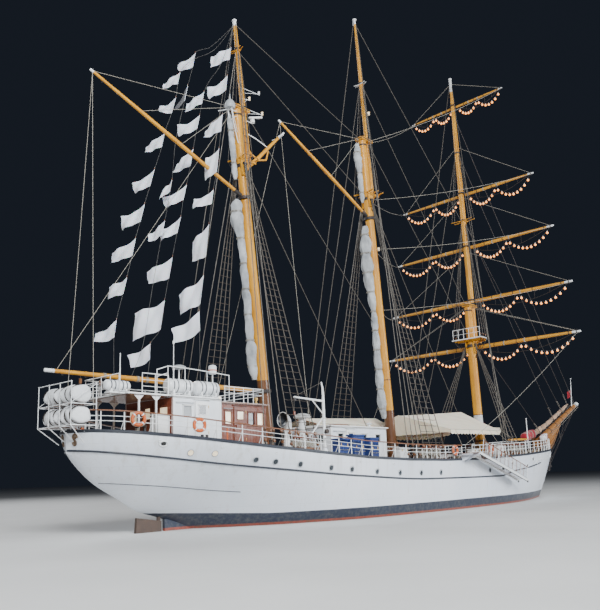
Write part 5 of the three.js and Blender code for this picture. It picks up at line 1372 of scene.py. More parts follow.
for mast, z, feet in SHROUDS:
    m = MASTS[mast]
    for side, s in (("port", 1), ("starboard", -1)):
        b = MB()
        x0 = MX(m, deck_z(m["x4"]))
        r = m["r0"] + (m["r1"] - m["r0"]) * (z - 9) / (m["cap"] - 9)
        yf = s * (deck_y(x0) - .42)
        zr = max(deck_z(x0 - feet[0] + .15), deck_z(x0 - feet[3] - .15)) + .004
        xa, xb = x0 - feet[3] - .15, x0 - feet[0] + .15
        b.box(xa, xb, min(yf, yf - s * .14), max(yf, yf - s * .14), zr, zr + .12, 2, .02)
        hx = MX(m, z)
        b.box(hx - .22, hx + .1, min(s * (r + .02), s * (r + .16)), max(s * (r + .02), s * (r + .16)), z - .14, z + .02, 4, .03)
        legs = []
        for i, f in enumerate(feet):
            p, q = V(x0 - f, yf - s * .07, zr + .1), V(hx - .02 - .045 * i, s * (r + .09), z - .03)
            legs.append((p, q))
            b.rope(p, q, .028, 0)
            u = (q - p).normalized()
            # chain plate, deadeyes and lanyards
            b.tube([p - u * .1, p + u * .12], .03, 6, 4)
            for h in (.2, .78):
                c = p + u * h
                b.lathe(c - V(0, .055, 0), (0, 1, 0), [(0, .06), (.012, .095), (.05, .1), (.06, .1), (.098, .095), (.11, .06)], 14, 3)
            side_ = u.cross(V(0, 1, 0)).normalized()
            for k in (-.05, 0, .05):
                b.tube([p + u * .22 + side_ * k, p + u * .76 + side_ * k], .012, 4, 1)
            for k in range(5):
                b.ring(p + u * (.95 + .045 * k), u, .028, .013, 8, 5, 1)
        # sheer pole with belaying pins
        a0, a1 = legs[0][0].lerp(legs[0][1], .055), legs[-1][0].lerp(legs[-1][1], .055)
        a0.z = a1.z = (a0.z + a1.z) / 2
        b.tube([a0 + V(.12, 0, 0), a1 - V(.12, 0, 0)], .022, 6, 4)
        ratlines(b, legs, zr + 1.45, z - 1.2, .4, 1)
        b.build(f"{mast}_shrouds_{side}_fine", [WIRE, TAR, BROWN_AND_MAST_SHADE, BROWN_AND_MAST_SHADE, STEEL], "ship", f"{mast}_shrouds_{side}", "wire")
for name, a, q in (("main_stay", (MX(MASTS["main"], 22.1) + .45, 0, 22.1), (35.9, 0, 3.72)), ("mizzen_stay", (MX(MASTS["mizzen"], 20.8) + .4, 0, 20.8), (23.4, 0, 3.42))):
    b = MB()
    b.rope(a, q, .024, 0)
    u = (Vector(a) - Vector(q)).normalized()
    for h in (.3, .95):
        b.lathe(Vector(q) + u * h - V(0, .06, 0), (0, 1, 0), [(0, .07), (.02, .11), (.1, .11), (.12, .07)], 14, 2)
    for k in (-.06, 0, .06):
        b.tube([Vector(q) + u * .3 + V(k, 0, 0), Vector(q) + u * .95 + V(k, 0, 0)], .013, 4, 1)
    b.tube([Vector(q) - V(0, 0, .12), Vector(q) + u * .25], .04, 8, 3)
    for k in range(6):
        b.ring(Vector(q) + u * (1.15 + .05 * k), u, .03, .014, 8, 5, 1)
    b.build(name + "_fine", [WIRE, TAR, BROWN_AND_MAST_SHADE, STEEL], "ship", name, "wire")

b = MB()
for s in (-1, 1):
    # topmast, topgallant and royal shrouds of the fore mast
    top = F["cap"] - F["dbl"]
    tx = MX(F, top)
    legs = []
    for i, x in enumerate((tx - .62, tx - .2, tx + .2)):
        p, q = V(x, s * 1.29, top + .1), V(AX(23.6) - .1 + .06 * i, s * (.22), 23.6)
        legs.append((p, q))
        b.rope(p, q, .023, 0)
        b.lathe(p + V(0, -.04, .25), (0, 1, 0), [(0, .04), (.01, .065), (.07, .065), (.08, .04)], 10, 3)
    ratlines(b, legs, top + .9, 23.0, .4, 1, .015)
    for i, x in enumerate((AX(23.9) - .3, AX(23.9) + .12)):
        b.rope((x, s * .97, 23.95), (AX(30.2) - .05 + .08 * i, s * .19, 30.15), .02, 0)
    b.rope((AX(30.2) - .1, s * .2, 30.25), (AX(36.4), s * .1, 36.4), .017, 0)
    for i in range(18):
        z = 24.5 + .3 * i
        t = (z - 23.95) / 6.2
        b.tube([V(AX(23.9) - .3, s * .97, 23.95).lerp(V(AX(30.2) - .05, s * .19, 30.15), t), V(AX(23.9) + .12, s * .97, 23.95).lerp(V(AX(30.2) + .03, s * .19, 30.15), t)], .01, 4, 1)
    # main and mizzen topmast shrouds from the crosstrees
    for nm, zh in (("main", 30.9), ("mizzen", 28.1)):
        m = MASTS[nm]
        zt = m["cap"] - m["dbl"]
        ah = AHEAD(m)
        legs = []
        for i, x in enumerate((MX(m, zt) - .38, MX(m, zt) + ah * .4)):
            p, q = V(x, s * m["tree"], zt + .05), V(MX(m, zh) + ah - .04 + .08 * i, s * .16, zh)
            legs.append((p, q))
            b.rope(p, q, .021, 0)
        ratlines(b, legs, zt + .8, zh - .8, .45, 1, .014)
        for x in (MX(m, zt) - .38, MX(m, zt) + ah * .4):
            b.rope((x, s * m["tree"], zt), (MX(m, zt - 1.4) + .02, s * (mast_r(m, zt - 1.4)), zt - 1.4), .016, 0)
    # backstays to the rail, abaft the shrouds
    for nm, zs, xs_ in (("fore", (23.6, 30.1, 36.5), (33.7, 33.15, 32.6)), ("main", (26.6, 31.1, 36.0), (21.35, 20.75, 20.15)), ("mizzen", (24.4, 28.3, 30.1), (9.7, 9.15, 8.6))):
        m = MASTS[nm]
        for z, x in zip(zs, xs_):
            p = V(x, s * (deck_y(x) - .22), deck_z(x) + .05)
            q = V(MX(m, z) + AHEAD(m) - .05, s * .14, z)
            b.rope(p, q, .026, 0)
            u = (q - p).normalized()
            b.tube([p, p + u * .25], .035, 6, 2)
            b.lathe(p + u * .3 - V(0, .05, 0), (0, 1, 0), [(0, .05), (.012, .085), (.088, .085), (.1, .05)], 12, 3)
            b.lathe(p + u * .85 - V(0, .05, 0), (0, 1, 0), [(0, .05), (.012, .085), (.088, .085), (.1, .05)], 12, 3)
            for k in (-.04, .04):
                b.tube([p + u * .3 + V(k, 0, 0), p + u * .85 + V(k, 0, 0)], .011, 4, 1)
# stays between the masts, vangs of the gaffs at rest are on their own pieces
MN, MZ = MASTS["main"], MASTS["mizzen"]
for p, q in (((MX(MN, 26.8) + AHEAD(MN) + .2, 0, 26.7), (MX(F, 13.6) - .35, 0, 13.6)), ((MX(MN, 31.3) + AHEAD(MN) + .12, 0, 31.3), (MX(F, 16.2) - .32, 0, 16.25)),
             ((MX(MN, 36.3) + AHEAD(MN), 0, 36.2), (AX(23.7) - .3, 0, 23.75)), ((MX(MZ, 24.6) + AHEAD(MZ) + .2, 0, 24.5), (MX(MN, 12.5) - .36, 0, 12.5)),
             ((MX(MZ, 28.5) + AHEAD(MZ) + .1, 0, 28.4), (MX(MN, 22.0) - .3, 0, 22.3)), ((MX(MZ, 30.3) + AHEAD(MZ), 0, 30.2), (MX(MN, 26.6) - .3, 0, 26.7))):
    b.rope(p, q, .023, 0)
b.build("upper_rigging", [WIRE, TAR, STEEL, BROWN_AND_MAST_SHADE], "ship")

# lamps, aerials and the radar brackets of the mizzen
b = MB()
z = 24.3
b.tube([V(11.3, 0, 20.9), V(12.3, 0, 21.9), V(13.4, 0, 23.1), V(14.1, 0, 23.85)], [.13, .12, .105, .09], 14, 0)
b.tube([V(11.3, 0, 22.35), V(11.7, 0, 21.95), V(12.25, 0, 21.72), V(12.95, 0, 21.95), V(13.15, 0, 22.6)], [.05, .055, .06, .055, .045], 10, 0)
b.tube([V(14.08, 0, 23.83), V(14.54, 0, 24.3)], [.092, .06], 14, 1)
b.ball((14.58, 0, 24.34), .07, 12, 1)
b.tube([V(14.05, -.5, 23.85), V(14.05, 0, 23.8), V(14.05, .5, 23.85)], .028, 8, 1)
b.tube([V(11.2, 0, 23.2), V(12.1, 0, 23.1), V(13.1, 0, 22.85)], .035, 8, 1)
for y in (-.16, .16):
    b.tube([V(10.5, y, 22.2), V(9.95, y - .2, 23.4), V(9.78, y - .26, 24.1)], .028, 8, 1)
    b.tube([V(10.4, y, 23.9), V(9.9, y - .22, 23.55)], .024, 8, 1)
    b.tube([V(10.45, y, 22.9), V(9.82, y - .26, 24.05)], .018, 6, 1)
b.tube([V(9.78, -.46, 24.1), V(9.78, -.06, 24.1)], .03, 8, 1)
b.tube([V(9.4, .35, 24.08), V(9.78, -.26, 24.12), V(10.2, -.3, 24.1)], .03, 8, 1)
for zz in (22.9, 23.5):
    b.tube([V(10.22 - (zz - 22.9) * .5, -.32, zz), V(10.22 - (zz - 22.9) * .5, .02, zz)], .016, 6, 1)
b.lathe((9.8, -.26, 24.12), (0, 0, 1), [(0, .2), (.03, .27), (.14, .32), (.3, .31), (.46, .24), (.58, .13), (.62, .05), (.72, .035), (.95, .02), (1.0, 0)], 28, 2)
# scanner bar on its turning unit, lamps on short arms
b.lathe((11.85, 0, 24.05), (0, 0, 1), [(0, .12), (.02, .15), (.2, .14), (.24, .08), (.3, .07)], 20, 1)
b.obox((12.0, -.12, 24.42), V(.69, -.72, 0).normalized(), V(.72, .69, 0).normalized(), V(0, 0, 1), .42, .07, .06, 1, .03)
b.tube([V(11.15, 0, 24.0), V(11.9, 0, 24.04)], .03, 8, 1)
for zz, x1_ in ((26.1, 12.45), (24.8, 12.7), (25.4, 11.62)):
    xm = MX(MZ, zz) + AHEAD(MZ)
    b.tube([V(xm + .1, 0, zz), V(x1_, 0, zz + .1)], .02, 8, 1)
    b.tube([V(xm + .1, 0, zz - .35), V(x1_ - .2, 0, zz + .08)], .014, 6, 1)
    b.lathe((x1_, 0, zz + .1), (0, 0, 1), [(0, .07), (.01, .08), (.03, .06), (.17, .06), (.19, .085), (.2, .07), (.23, 0)], 16, 4 if zz < 26 else 1)
# lamps and aerials on the other masts
for m, zz in ((MN, 18.5), (F, 20.2), (F, 31.3), (MN, 29.1)):
    low = zz < m["cap"] - m["dbl"]
    xm = MX(m, zz) + (0 if low else AHEAD(m))
    r = mast_r(m, zz) if low else .2
    x1_ = xm + r + .42
    if m is F:
        continue
    b.tube([V(xm + r * .8, 0, zz), V(x1_, 0, zz)], .022, 8, 3)
    b.lathe((x1_, 0, zz), (0, 0, 1), [(0, .08), (.02, .1), (.04, .07), (.2, .07), (.22, .1), (.25, .06), (.27, 0)], 16, 4)
for m, y in ((MN, .16), (F, .13), (MZ, .13)):
    tr = m["truck"]
    x = MX(m, tr) + AHEAD(m)
    b.tube([V(x, y * .4, tr - .5), V(x, y, tr - .42), V(x, y, tr + .0)], .012, 6, 1)
b.build("mizzen_instruments", [GOLD, WHITE, GREY_AND_RAILING_SHADE, STEEL, LIT], "ship")


# ------------------------------------------------------------------ furled sails: each is one long cloth rolled up, layer on layer
def furled(name, node, centre, radius, n_along, width, turns=7, per=16, mat=SAIL, lump=0.16, ties=9, squeeze=(1, 1)):
    """centre(t), radius(t) for t in 0..1; the section is a loose spiral from the outside in."""
    r_ = random.Random(name)
    ph = [(r_.uniform(0, 6.28), r_.uniform(0, 6.28), r_.randint(3, 7), r_.uniform(.4, 1)) for _ in range(5)]
    pts = [Vector(centre(i / n_along)) for i in range(n_along + 1)]
    u0 = None
    rows = []
    tie_t = [(k + .5) / ties for k in range(ties)]
    for i in range(n_along + 1):
        t = i / n_along
        d = (pts[min(i + 1, n_along)] - pts[max(i - 1, 0)]).normalized()
        u = u0 or d.cross(V(0, 1, 0)).normalized()
        u = (u - d * u.dot(d)).normalized()
        u0 = u
        w = d.cross(u)
        pinch = 1 - .2 * sum(math.exp(-((t - q) * n_along / 1.3) ** 2) for q in tie_t)
        R = radius(t) * pinch
        row = []
        for k in range(turns * per + 1):
            f = k / (turns * per)
            a = f * turns * 2 * math.pi
            rad = R * (1 - .93 * f)
            fold = 1 + lump * (1 - .5 * f) * sum(c * math.sin(a * (1 if q < 2 else q % 4 + 1) + p1 + 7 * t * (q % 3 + 1)) * math.sin(p2 + 9 * t * q) for p1, p2, q, c in ph) / 3 + lump * (.42 * math.sin(5 * a + 31 * t + ph[0][0]) * math.sin(19 * t + ph[1][1]) + .3 * math.sin(4 * a - 47 * t + ph[2][0]) + .22 * math.sin(61 * t + ph[3][1]))
            row.append(pts[i] + u * (rad * fold * math.cos(a) * squeeze[0]) + w * (rad * fold * math.sin(a) * squeeze[1]))
        rows.append(row)
    b = MB()
    b.grid(rows, 0)
    o = b.build(name, mat, "ship", node, None, smooth=60, fix=False)
    # gaskets round the roll
    g = MB()
    for q in tie_t:
        i = q * n_along
        k = int(i)
        c = pts[k].lerp(pts[min(k + 1, n_along)], i - k)
        d = (pts[min(k + 1, n_along)] - pts[k]).normalized()
        for e in (-.03, .03):
            g.ring(c + d * e, d, radius(q) * .84 * max(squeeze) + .01, .018, 22, 6, 0)
    g.build(name + "_gaskets", [ROPE], "ship")
    return o


FURLED = [
    ("mizzen_sail", "mizzen", [[8.0, .16], [8.5, .32], [9.6, .33], [10.6, .27], [13, .26], [15.6, .23], [16.6, .3], [17.6, .44], [18.25, .4], [18.6, .2]]),
    ("mizzen_topsail", "mizzen", [[19.9, .1], [20.3, .19], [22, .18], [23.4, .2], [23.9, .1]]),
    ("main_sail", "main", [[6.2, .16], [6.8, .32], [9, .31], [12, .27], [13.8, .22], [15.2, .34], [16.8, .47], [18.4, .42], [19.5, .34], [20, .18]]),
    ("main_topsail", "main", [[21.75, .1], [22.2, .2], [24, .22], [25.4, .33], [26.2, .15]])]
for name, mast, st in FURLED:
    m = MASTS[mast]
    za, zb = st[0][0], st[-1][0]

    def roll_at(t, m=m, st=st, za=za, zb=zb):
        z = za + (zb - za) * t
        r = float(np.interp(z, [q[0] for q in st], [q[1] for q in st]))
        return (MX(m, z) - (m["r0"] + max(r, .24) + .06), 0, z)

    def roll_r(t, st=st, za=za, zb=zb):
        return float(np.interp(za + (zb - za) * t, [q[0] for q in st], [q[1] for q in st])) * .98
    furled(name + "_roll", name, roll_at, roll_r, int((zb - za) * 5), 4, ties=int((zb - za) / 1.35), lump=.24)

# head sails stowed along the bowsprit, and the covered bundle inboard
STOW = [[47.9, .46, 5.66, .2], [48.9, .44, 5.98, .28], [50.5, .34, 6.58, .22], [53, .31, 7.6, .2], [55.3, .3, 8.56, .17], [56.1, .3, 8.88, .07]]


def along(table, t, cols):
    s_ = t * (len(table) - 1)
    i = min(int(s_), len(table) - 2)
    f = s_ - i
    return [table[i][c] * (1 - f) + table[i + 1][c] * f for c in cols]


furled("head_sails_roll", "head_sails", lambda t: along(STOW, t, (0, 1, 2)), lambda t: along(STOW, t, (3,))[0], 44, 3, turns=6, mat=SAILTAN, ties=9, lump=.2)


def valise(name, c, ax, half, rx, rz, mat, node=None, straps=3, n=28, seed=1, power=.72, body="ship", strap_mat=None, lump=.05):
    """A stuffed roll or bundle: crowned ends, seams and the pull of its lashings."""
    r_ = random.Random(seed)
    ph = [r_.uniform(0, 6.28) for _ in range(6)]
    c, ax = Vector(c), Vector(ax).normalized()
    side_ = ax.cross(V(0, 0, 1)).normalized()
    up = side_.cross(ax)
    k = 40
    st = [-1 + 2 * (i + .5) / straps for i in range(straps)]
    rows = []
    for i in range(k + 1):
        t = -1 + 2 * i / k
        end = (1 - abs(t) ** 9) ** .5 if abs(t) < 1 else 0
        end = max(end, .02)
        pinch = 1 - .085 * sum(math.exp(-((t - q) * half / .09) ** 2) for q in st)
        row = []
        for j in range(n):
            a = 2 * math.pi * j / n
            ca, sa = math.cos(a), math.sin(a)
            q = 1 + lump * (math.sin(3 * a + ph[0] + 4 * t) * .5 + math.sin(5 * a + ph[1] - 6 * t) * .35 + math.sin(9 * t + ph[2]) * .4)
            x = rx * math.copysign(abs(ca) ** power, ca) * q * end * pinch
            y = rz * math.copysign(abs(sa) ** power, sa) * q * end * pinch
            row.append(c + ax * (t * half) + side_ * x + up * max(y, -rz * .97))
        rows.append(row)
    b = MB()
    b.grid(rows, 0, wrap=True)
    b.f.append(tuple(range(n)))
    b.m.append(0)
    b.f.append(tuple(reversed(range(k * n, (k + 1) * n))))
    b.m.append(0)
    o = b.build(name, mat, body, node or (), None, smooth=70)
    g = MB()
    for q in st:
        ring = []
        for j in range(33):
            a = 2 * math.pi * j / 32
            ca, sa = math.cos(a), math.sin(a)
            ring.append(c + ax * (q * half) + side_ * (rx * .935 * math.copysign(abs(ca) ** power, ca)) + up * (rz * .935 * math.copysign(abs(sa) ** power, sa)))
        for e in (-.022, .022):
            g.tube([p + ax * e for p in ring], .016, 5, 0, caps=False)
    g.build(name + "_lashings", [strap_mat or TAR], body)
    return o


valise("stowed_jib_bundle", (46.95, .5, 5.5), V(1.55, .03, .3), 1.2, .36, .4, REDC, None, 4, seed=4, strap_mat=ROPE, lump=.1)
valise("stowed_awning_bundle", (47.7, -.62, 5.28), V(1.5, .2, .34), .62, .24, .3, CANVAS, None, 3, seed=9, strap_mat=REDC, lump=.1)

# ------------------------------------------------------------------ stern rack and its bundles
b = MB()
rx0, rx1, ry, tiers, rt_ = -.62, .6, 1.5, (4.98, 5.92), 6.88
for y in (-ry, -.5, .5, ry):
    b.tube([V(rx1, y, deck_z(.6)), V(rx1, y, rt_)], .021, 10, 0)
    b.tube([V(rx0, y, tiers[0] - .04), V(rx0, y, rt_)], .019, 10, 0)
    for z in tiers:
        b.tube([V(rx0, y, z - .03), V(rx1, y, z - .03)], .022, 10, 0)
    b.tube([V(rx0, y, tiers[0] - .04), V(.25, y * .75, 4.2)], .022, 8, 0)
for x in (rx0, rx1):
    for z in (*[t - .03 for t in tiers], rt_ - .03):
        b.tube([V(x, -ry, z), V(x, ry, z)], .021, 10, 0)
        for y in (-ry, ry):
            b.ball((x, y, z), .032, 10, 0)
for y in (-ry, ry):
    b.tube([V(rx0, y, tiers[1]), V(rx1, y, rt_ - .05)], .014, 6, 0)
for z in tiers:
    for y in np.linspace(-ry + .2, ry - .2, 7):
        b.box(rx0, rx1, y - .05, y + .05, z - .018, z - .003, 1, .004)
b.build("stern_rack_fine", [WHITE, VARNISH_AND_SHADE], "ship", "stern_rack")
k = 0
for tier, z in zip(("lower", "upper"), tiers):
    for s, y0 in ((-1, -.735), (1, .735)):
        k += 1
        valise(f"{tier}_bundle_{'starboard' if s < 0 else 'port'}", (-.01, y0, z + .435), V(0, 1, 0), .675, .535, .42, CANVAS, None if s > 0 else f"{tier}_bundles", 3, seed=k, power=.92, lump=.085)

# ------------------------------------------------------------------ raft canisters and other moulded gear
for name, x, y, z, ln, r, foot in (("raft_canister_aft", 5.05, -1.55, 6.99, 1.55, .36, 6.54), ("raft_canister_forward", 6.75, -1.55, 6.99, 1.5, .36, 6.54), ("quarter_canister", 1.62, -1.5, 6.79, 1.3, .25, 6.501)):
    b = MB()
    h = ln / 2
    prof = [(0, 0), (0, r * .45), (.02, r * .68), (.07, r * .88), (.13, r * .97), (.2, r)]
    prof += [(h - .07, r), (h - .05, r * 1.008), (h + .05, r * 1.008), (h + .07, r)]
    prof += [(ln - a, q) for a, q in reversed(prof[:6])]
    b.lathe((x - h, y, z), (1, 0, 0), prof, 32, 0)
    for f in (-.62, -.3, .3, .62):
        b.lathe((x + f * h - .03, y, z), (1, 0, 0), [(0, r + .001), (.003, r + .004), (.057, r + .004), (.06, r + .001)], 32, 1)
    for f in (-.3, .3):
        c = x + f * ln
        b.prism([(-r * .85, foot), (r * .85, foot), (r * .8, z - r * .35), (r * .5, z - r * .72), (-r * .5, z - r * .72), (-r * .8, z - r * .35)], (V(c, y, 0), V(0, 1, 0), V(0, 0, 1), V(1, 0, 0)), .035, 2)
        b.box(c - .07, c + .07, y - r * .9, y + r * .9, foot, foot + .02, 2, .006)
    b.tube([V(x - .3 * ln, y - r * .8, foot + .05), V(x + .3 * ln, y - r * .8, foot + .05)], .018, 8, 2)
    b.build(name + "_fine", [PLASTIC, RACKC, WHITE], "ship", name, smooth=40)

b = MB()
# rail of the house tops: rods, posts with feet and dodger battens
zt_, zm = 7.18, 6.85
for z, r in ((zt_ - .02, .026), (zm - .02, .018), (7.015, .013)):
    b.tube([V(4.4, 1.825, z), V(10.525, 1.825, z)], r, 8, 0)
    b.tube([V(10.525, 1.825, z), V(10.525, -1.825, z)], r, 8, 0)
    b.tube([V(7.75, -1.825, z), V(10.525, -1.825, z)], r, 8, 0)
for x, y, z in [(x, 1.825, 6.53 if x < 7.38 else 6.375) for x in (4.42, 5.4, 6.4, 7.4, 8.4, 9.4, 10.52)] + [(x, -1.825, 6.375) for x in (7.8, 8.45, 9.1, 9.8, 10.52)] + [(10.525, y, 6.43) for y in (-.6, .6)]:
    b.lathe((x, y, z), (0, 0, 1), [(0, .05), (.012, .05), (.02, .024), (zt_ - z - .02, .02), (zt_ - z, .022)], 10, 0)
    b.ball((x, y, zt_ - .02), .034, 10, 0)
b.build("house_top_rail_fine", [WHITE], "ship", "house_top_rail")

# boat deck: painted slab and posts from the frame, with a planked top, a guard rail and the panelled companion
dress("boat_deck", WHITE)
bevel("boat_deck", .006)
b = MB()
for i in range(30):
    y = -1.9 + i * .131
    b.box(1.93, 4.26, y, y + .122, 6.502, 6.512, 1, .003)
gy = 1.9
posts = [(x, s * gy) for s in (-1, 1) for x in (1.98, 2.72, 3.45, 4.2)] + [(1.95, y) for y in (-1.15, -.4, .4, 1.15)]
for x, y in posts:
    if y < -1.2 and x < 2.4:
        continue
    b.lathe((x, y, 6.51), (0, 0, 1), [(0, .05), (.012, .05), (.02, .022), (.9, .019), (.93, .019)], 10, 0)
for z, r in ((7.43, .024), (7.12, .014), (6.82, .014)):
    b.tube([V(2.72, -gy, z), V(4.2, -gy, z)], r, 8, 0)
    b.tube([V(1.98, gy, z), V(4.2, gy, z)], r, 8, 0)
    b.tube([V(1.95, -1.15, z), V(1.95, gy, z)], r, 8, 0)
# varnished boards, windows, a locker and pipe posts on the after wall of the house below the deck
wx, wz0, wz1 = 4.386, deck_z(4.3), 6.38
for i in range(31):
    y = -1.97 + i * .1283
    b.box(wx - .014, wx, y, y + .119, wz0 + .03, wz1, 2, .004)
for y in (-1.99, -.62, .62, 1.99):
    b.box(wx - .03, wx + .0, y - .045, y + .045, wz0, wz1, 3, .01)
for z in (wz0 + .06, 5.1, wz1 - .05):
    b.box(wx - .026, wx, -1.97, 1.97, z - .05, z + .05, 3, .01)
for y in (-1.3, 1.3):
    pane(b, (wx - .014, y, 5.68), (0, 1, 0), (-1, 0, 0), .3, .26, 3, 5, .05, .024, -.003)
b.box(wx - .05, wx - .014, -.36, .36, wz0 + .08, 6.24, 3, .012)
b.box(wx - .064, wx - .046, -.27, .27, wz0 + .2, 5.05, 2, .01)
pane(b, (wx - .05, 0, 5.72), (0, 1, 0), (-1, 0, 0), .2, .26, 3, 5, .04, .018, -.003)
b.lathe((wx - .05, -.3, 5.24), (-1, 0, 0), [(0, .03), (.03, .02), (.06, .035), (.08, .03), (.085, 0)], 12, 4)
# white locker and life-jacket box on the starboard side, pillars of the deck with feet and brackets
b.box(3.62, 4.34, -1.86, -1.3, deck_z(3.7) + .03, 5.5, 0, .03)
b.box(3.58, 4.345, -1.9, -1.26, 5.5, 5.56, 0, .02)
for e in (-.18, .18):
    b.box(3.61, 3.625, -1.58 + e - .15, -1.58 + e + .15, deck_z(3.7) + .12, 5.42, 0, .01)
for x in (2.6, 3.55):
    for y in (-1.82, 1.82):
        b.lathe((x, y, deck_z(x) + .004), (0, 0, 1), [(0, .085), (.02, .085), (.03, .05), (.12, .046), (.13, .0)], 14, 0)
        for e in (-1, 1):
            b.prism([(0, 0), (.26 * e, 0), (.26 * e, -.04), (.03 * e, -.26), (0, -.26)], (V(x, y, 6.425), V(1, 0, 0), V(0, 0, 1), V(0, 1, 0)), .012, 0)
b.build("boat_deck_fittings", [WHITE, TEAK, VARN, VARN, BRASS, LIT], "ship")

# davit
b = MB()
x, y, z = 12.88, -4.1, 3.6
b.lathe((x, y, z + .34), (0, 0, 1), [(0, .085), (.02, .1), (.08, .1), (.1, .085), (1.4, .083), (1.42, .1), (1.5, .1), (1.52, .083), (2.5, .08)], 20, 0)
b.tube([V(x, y, z + 2.83), V(x, y, z + 3.2), V(x - .03, y, z + 3.6), V(x - .12, y, z + 3.9)], [.08, .07, .055, .04], 14, 0)
b.tube([V(x, y, z + 2.85), V(x - 1.2, y, z + 2.9), V(x - 2.3, y, z + 2.95)], [.062, .055, .045], 12, 0)
b.tube([V(x, y, z + 2.1), V(x - .95, y, z + 2.9)], .034, 10, 0)
b.rope((x - .12, y, z + 3.86), (x - 2.22, y, z + 3.0), .012, 1)
b.lathe((x - 2.24, y, z + 2.84), (0, 1, 0), [(-.05, .03), (-.045, .09), (-.01, .07), (.01, .07), (.045, .09), (.05, .03)], 16, 2)
b.rope((x - 2.3, y, z + 2.8), (x - 2.3, y, z + 2.2), .012, 1)
b.obox((x - 2.3, y, z + 2.1), V(1, 0, 0), V(0, 1, 0), V(0, 0, 1), .06, .04, .1, 3, .02)
b.ring(V(x - 2.3, y, z + 1.93), V(0, 1, 0), .05, .014, 14, 6, 2)
b.lathe((x, y - .1, z + 1.2), (0, -1, 0), [(0, .11), (.02, .13), (.04, .07), (.12, .07), (.14, .13), (.16, .11)], 18, 2)
b.build("davit_fine", [WHITE, WIRE, STEEL, VARN], "davit", "davit")

# gangway
b = MB()
gx, gz, gl, gw, gy_, gd = 26.75, 3.62, 6.9, .72, -4.98, 1.98
a = math.asin(gd / gl)
ca, sa = math.cos(a), math.sin(a)


def G(d, h, y):
    return V(gx + d * ca + h * sa, y, gz - d * sa + h * ca)


for y in (gy_ + .03, gy_ - gw + .03):
    b.obox(G(gl / 2 - .06, -.03, y), V(ca, 0, -sa), V(0, 1, 0), V(sa, 0, ca), gl / 2 + .06, .026, .09, 0, .01)
    b.obox(G(gl / 2 - .06, .052, y), V(ca, 0, -sa), V(0, 1, 0), V(sa, 0, ca), gl / 2 + .06, .036, .009, 0, .004)
for i in range(23):
    d = .2 + i * .287
    b.obox(G(d, .0, gy_ - gw / 2 + .03), V(1, 0, 0), V(0, 1, 0), V(0, 0, 1), .12, gw / 2 - .04, .012, 1, .005)
y = gy_ - gw + .02
for i in range(7):
    d = .25 + i * 1.07
    b.lathe(G(d, .05, y), V(sa, 0, ca), [(0, .03), (.02, .03), (.03, .021), (.86, .019), (.87, .03), (.9, .032), (.93, .02), (.94, 0)], 10, 0)
# the two lower rails are grey and the stringer's lower edge black: painted shade on a white railing
for h, r, mm in ((.92, .03, 1), (.12, .016, 5), (.5, .011, 5)):
    b.tube([G(.25, h, y), G(gl - .26, h, y)], r, 8, mm)
b.obox(G(gl / 2 - .06, -.135, y - .012), V(ca, 0, -sa), V(0, 1, 0), V(sa, 0, ca), gl / 2 + .05, .02, .02, 3, .006)
# flat balusters between the stanchions
# the balusters are grey, every third one dark varnish: painted shade between white balusters
for i in range(33):
    d = .42 + i * .19
    b.obox(G(d, .52, y), V(ca, 0, -sa), V(0, 1, 0), V(sa, 0, ca), .03, .007, .39, 5 if i % 3 else 1, .004)
for y in (gy_ + .03, gy_ - gw + .03):
    b.lathe(G(gl - .1, -.1, y) - V(0, .03, 0), (0, 1, 0), [(0, .04), (.004, .075), (.056, .075), (.06, .04)], 20, 3)
b.tube([G(-.08, -.02, gy_ + .05), G(-.08, -.02, gy_ - gw)], .03, 10, 4)
b.build("gangway_fine", [WHITE, VARNISH_AND_SHADE, ROPE, SHADE_BLACK, GALV, GREY_AND_RAILING_SHADE], "gangway", "gangway")
# ------------------------------------------------------------------ awnings
AWN = [[25.6, 0, 4.2, 6.5, 5.25], [30, 0, 4.25, 6.82, 5.3], [34.05, 0, 3.3, 7.15, 5.4], [36.2, 0, 2.3, 6.0, 5.75]]
AWP = [[17.6, 2.15, 1.45, 6.15, 5.75], [25.75, 2.15, 1.45, 6.45, 5.75]]


def awn_pt(T, x, u):
    yc, w, rz, ez = [float(np.interp(x, [r[0] for r in T], [r[c] for r in T])) for c in (1, 2, 3, 4)]
    prof = float(np.interp(abs(u), [0, .5, 1], [1, .52, 0]))
    sagc = .045 * math.sin(math.pi * min(abs(u), 1)) ** 2
    bays = math.sin(math.pi * ((x - T[0][0]) / 1.75 % 1)) ** 2
    return V(x, yc + u * w, ez + (rz - ez) * prof - sagc * (.35 + .65 * bays))


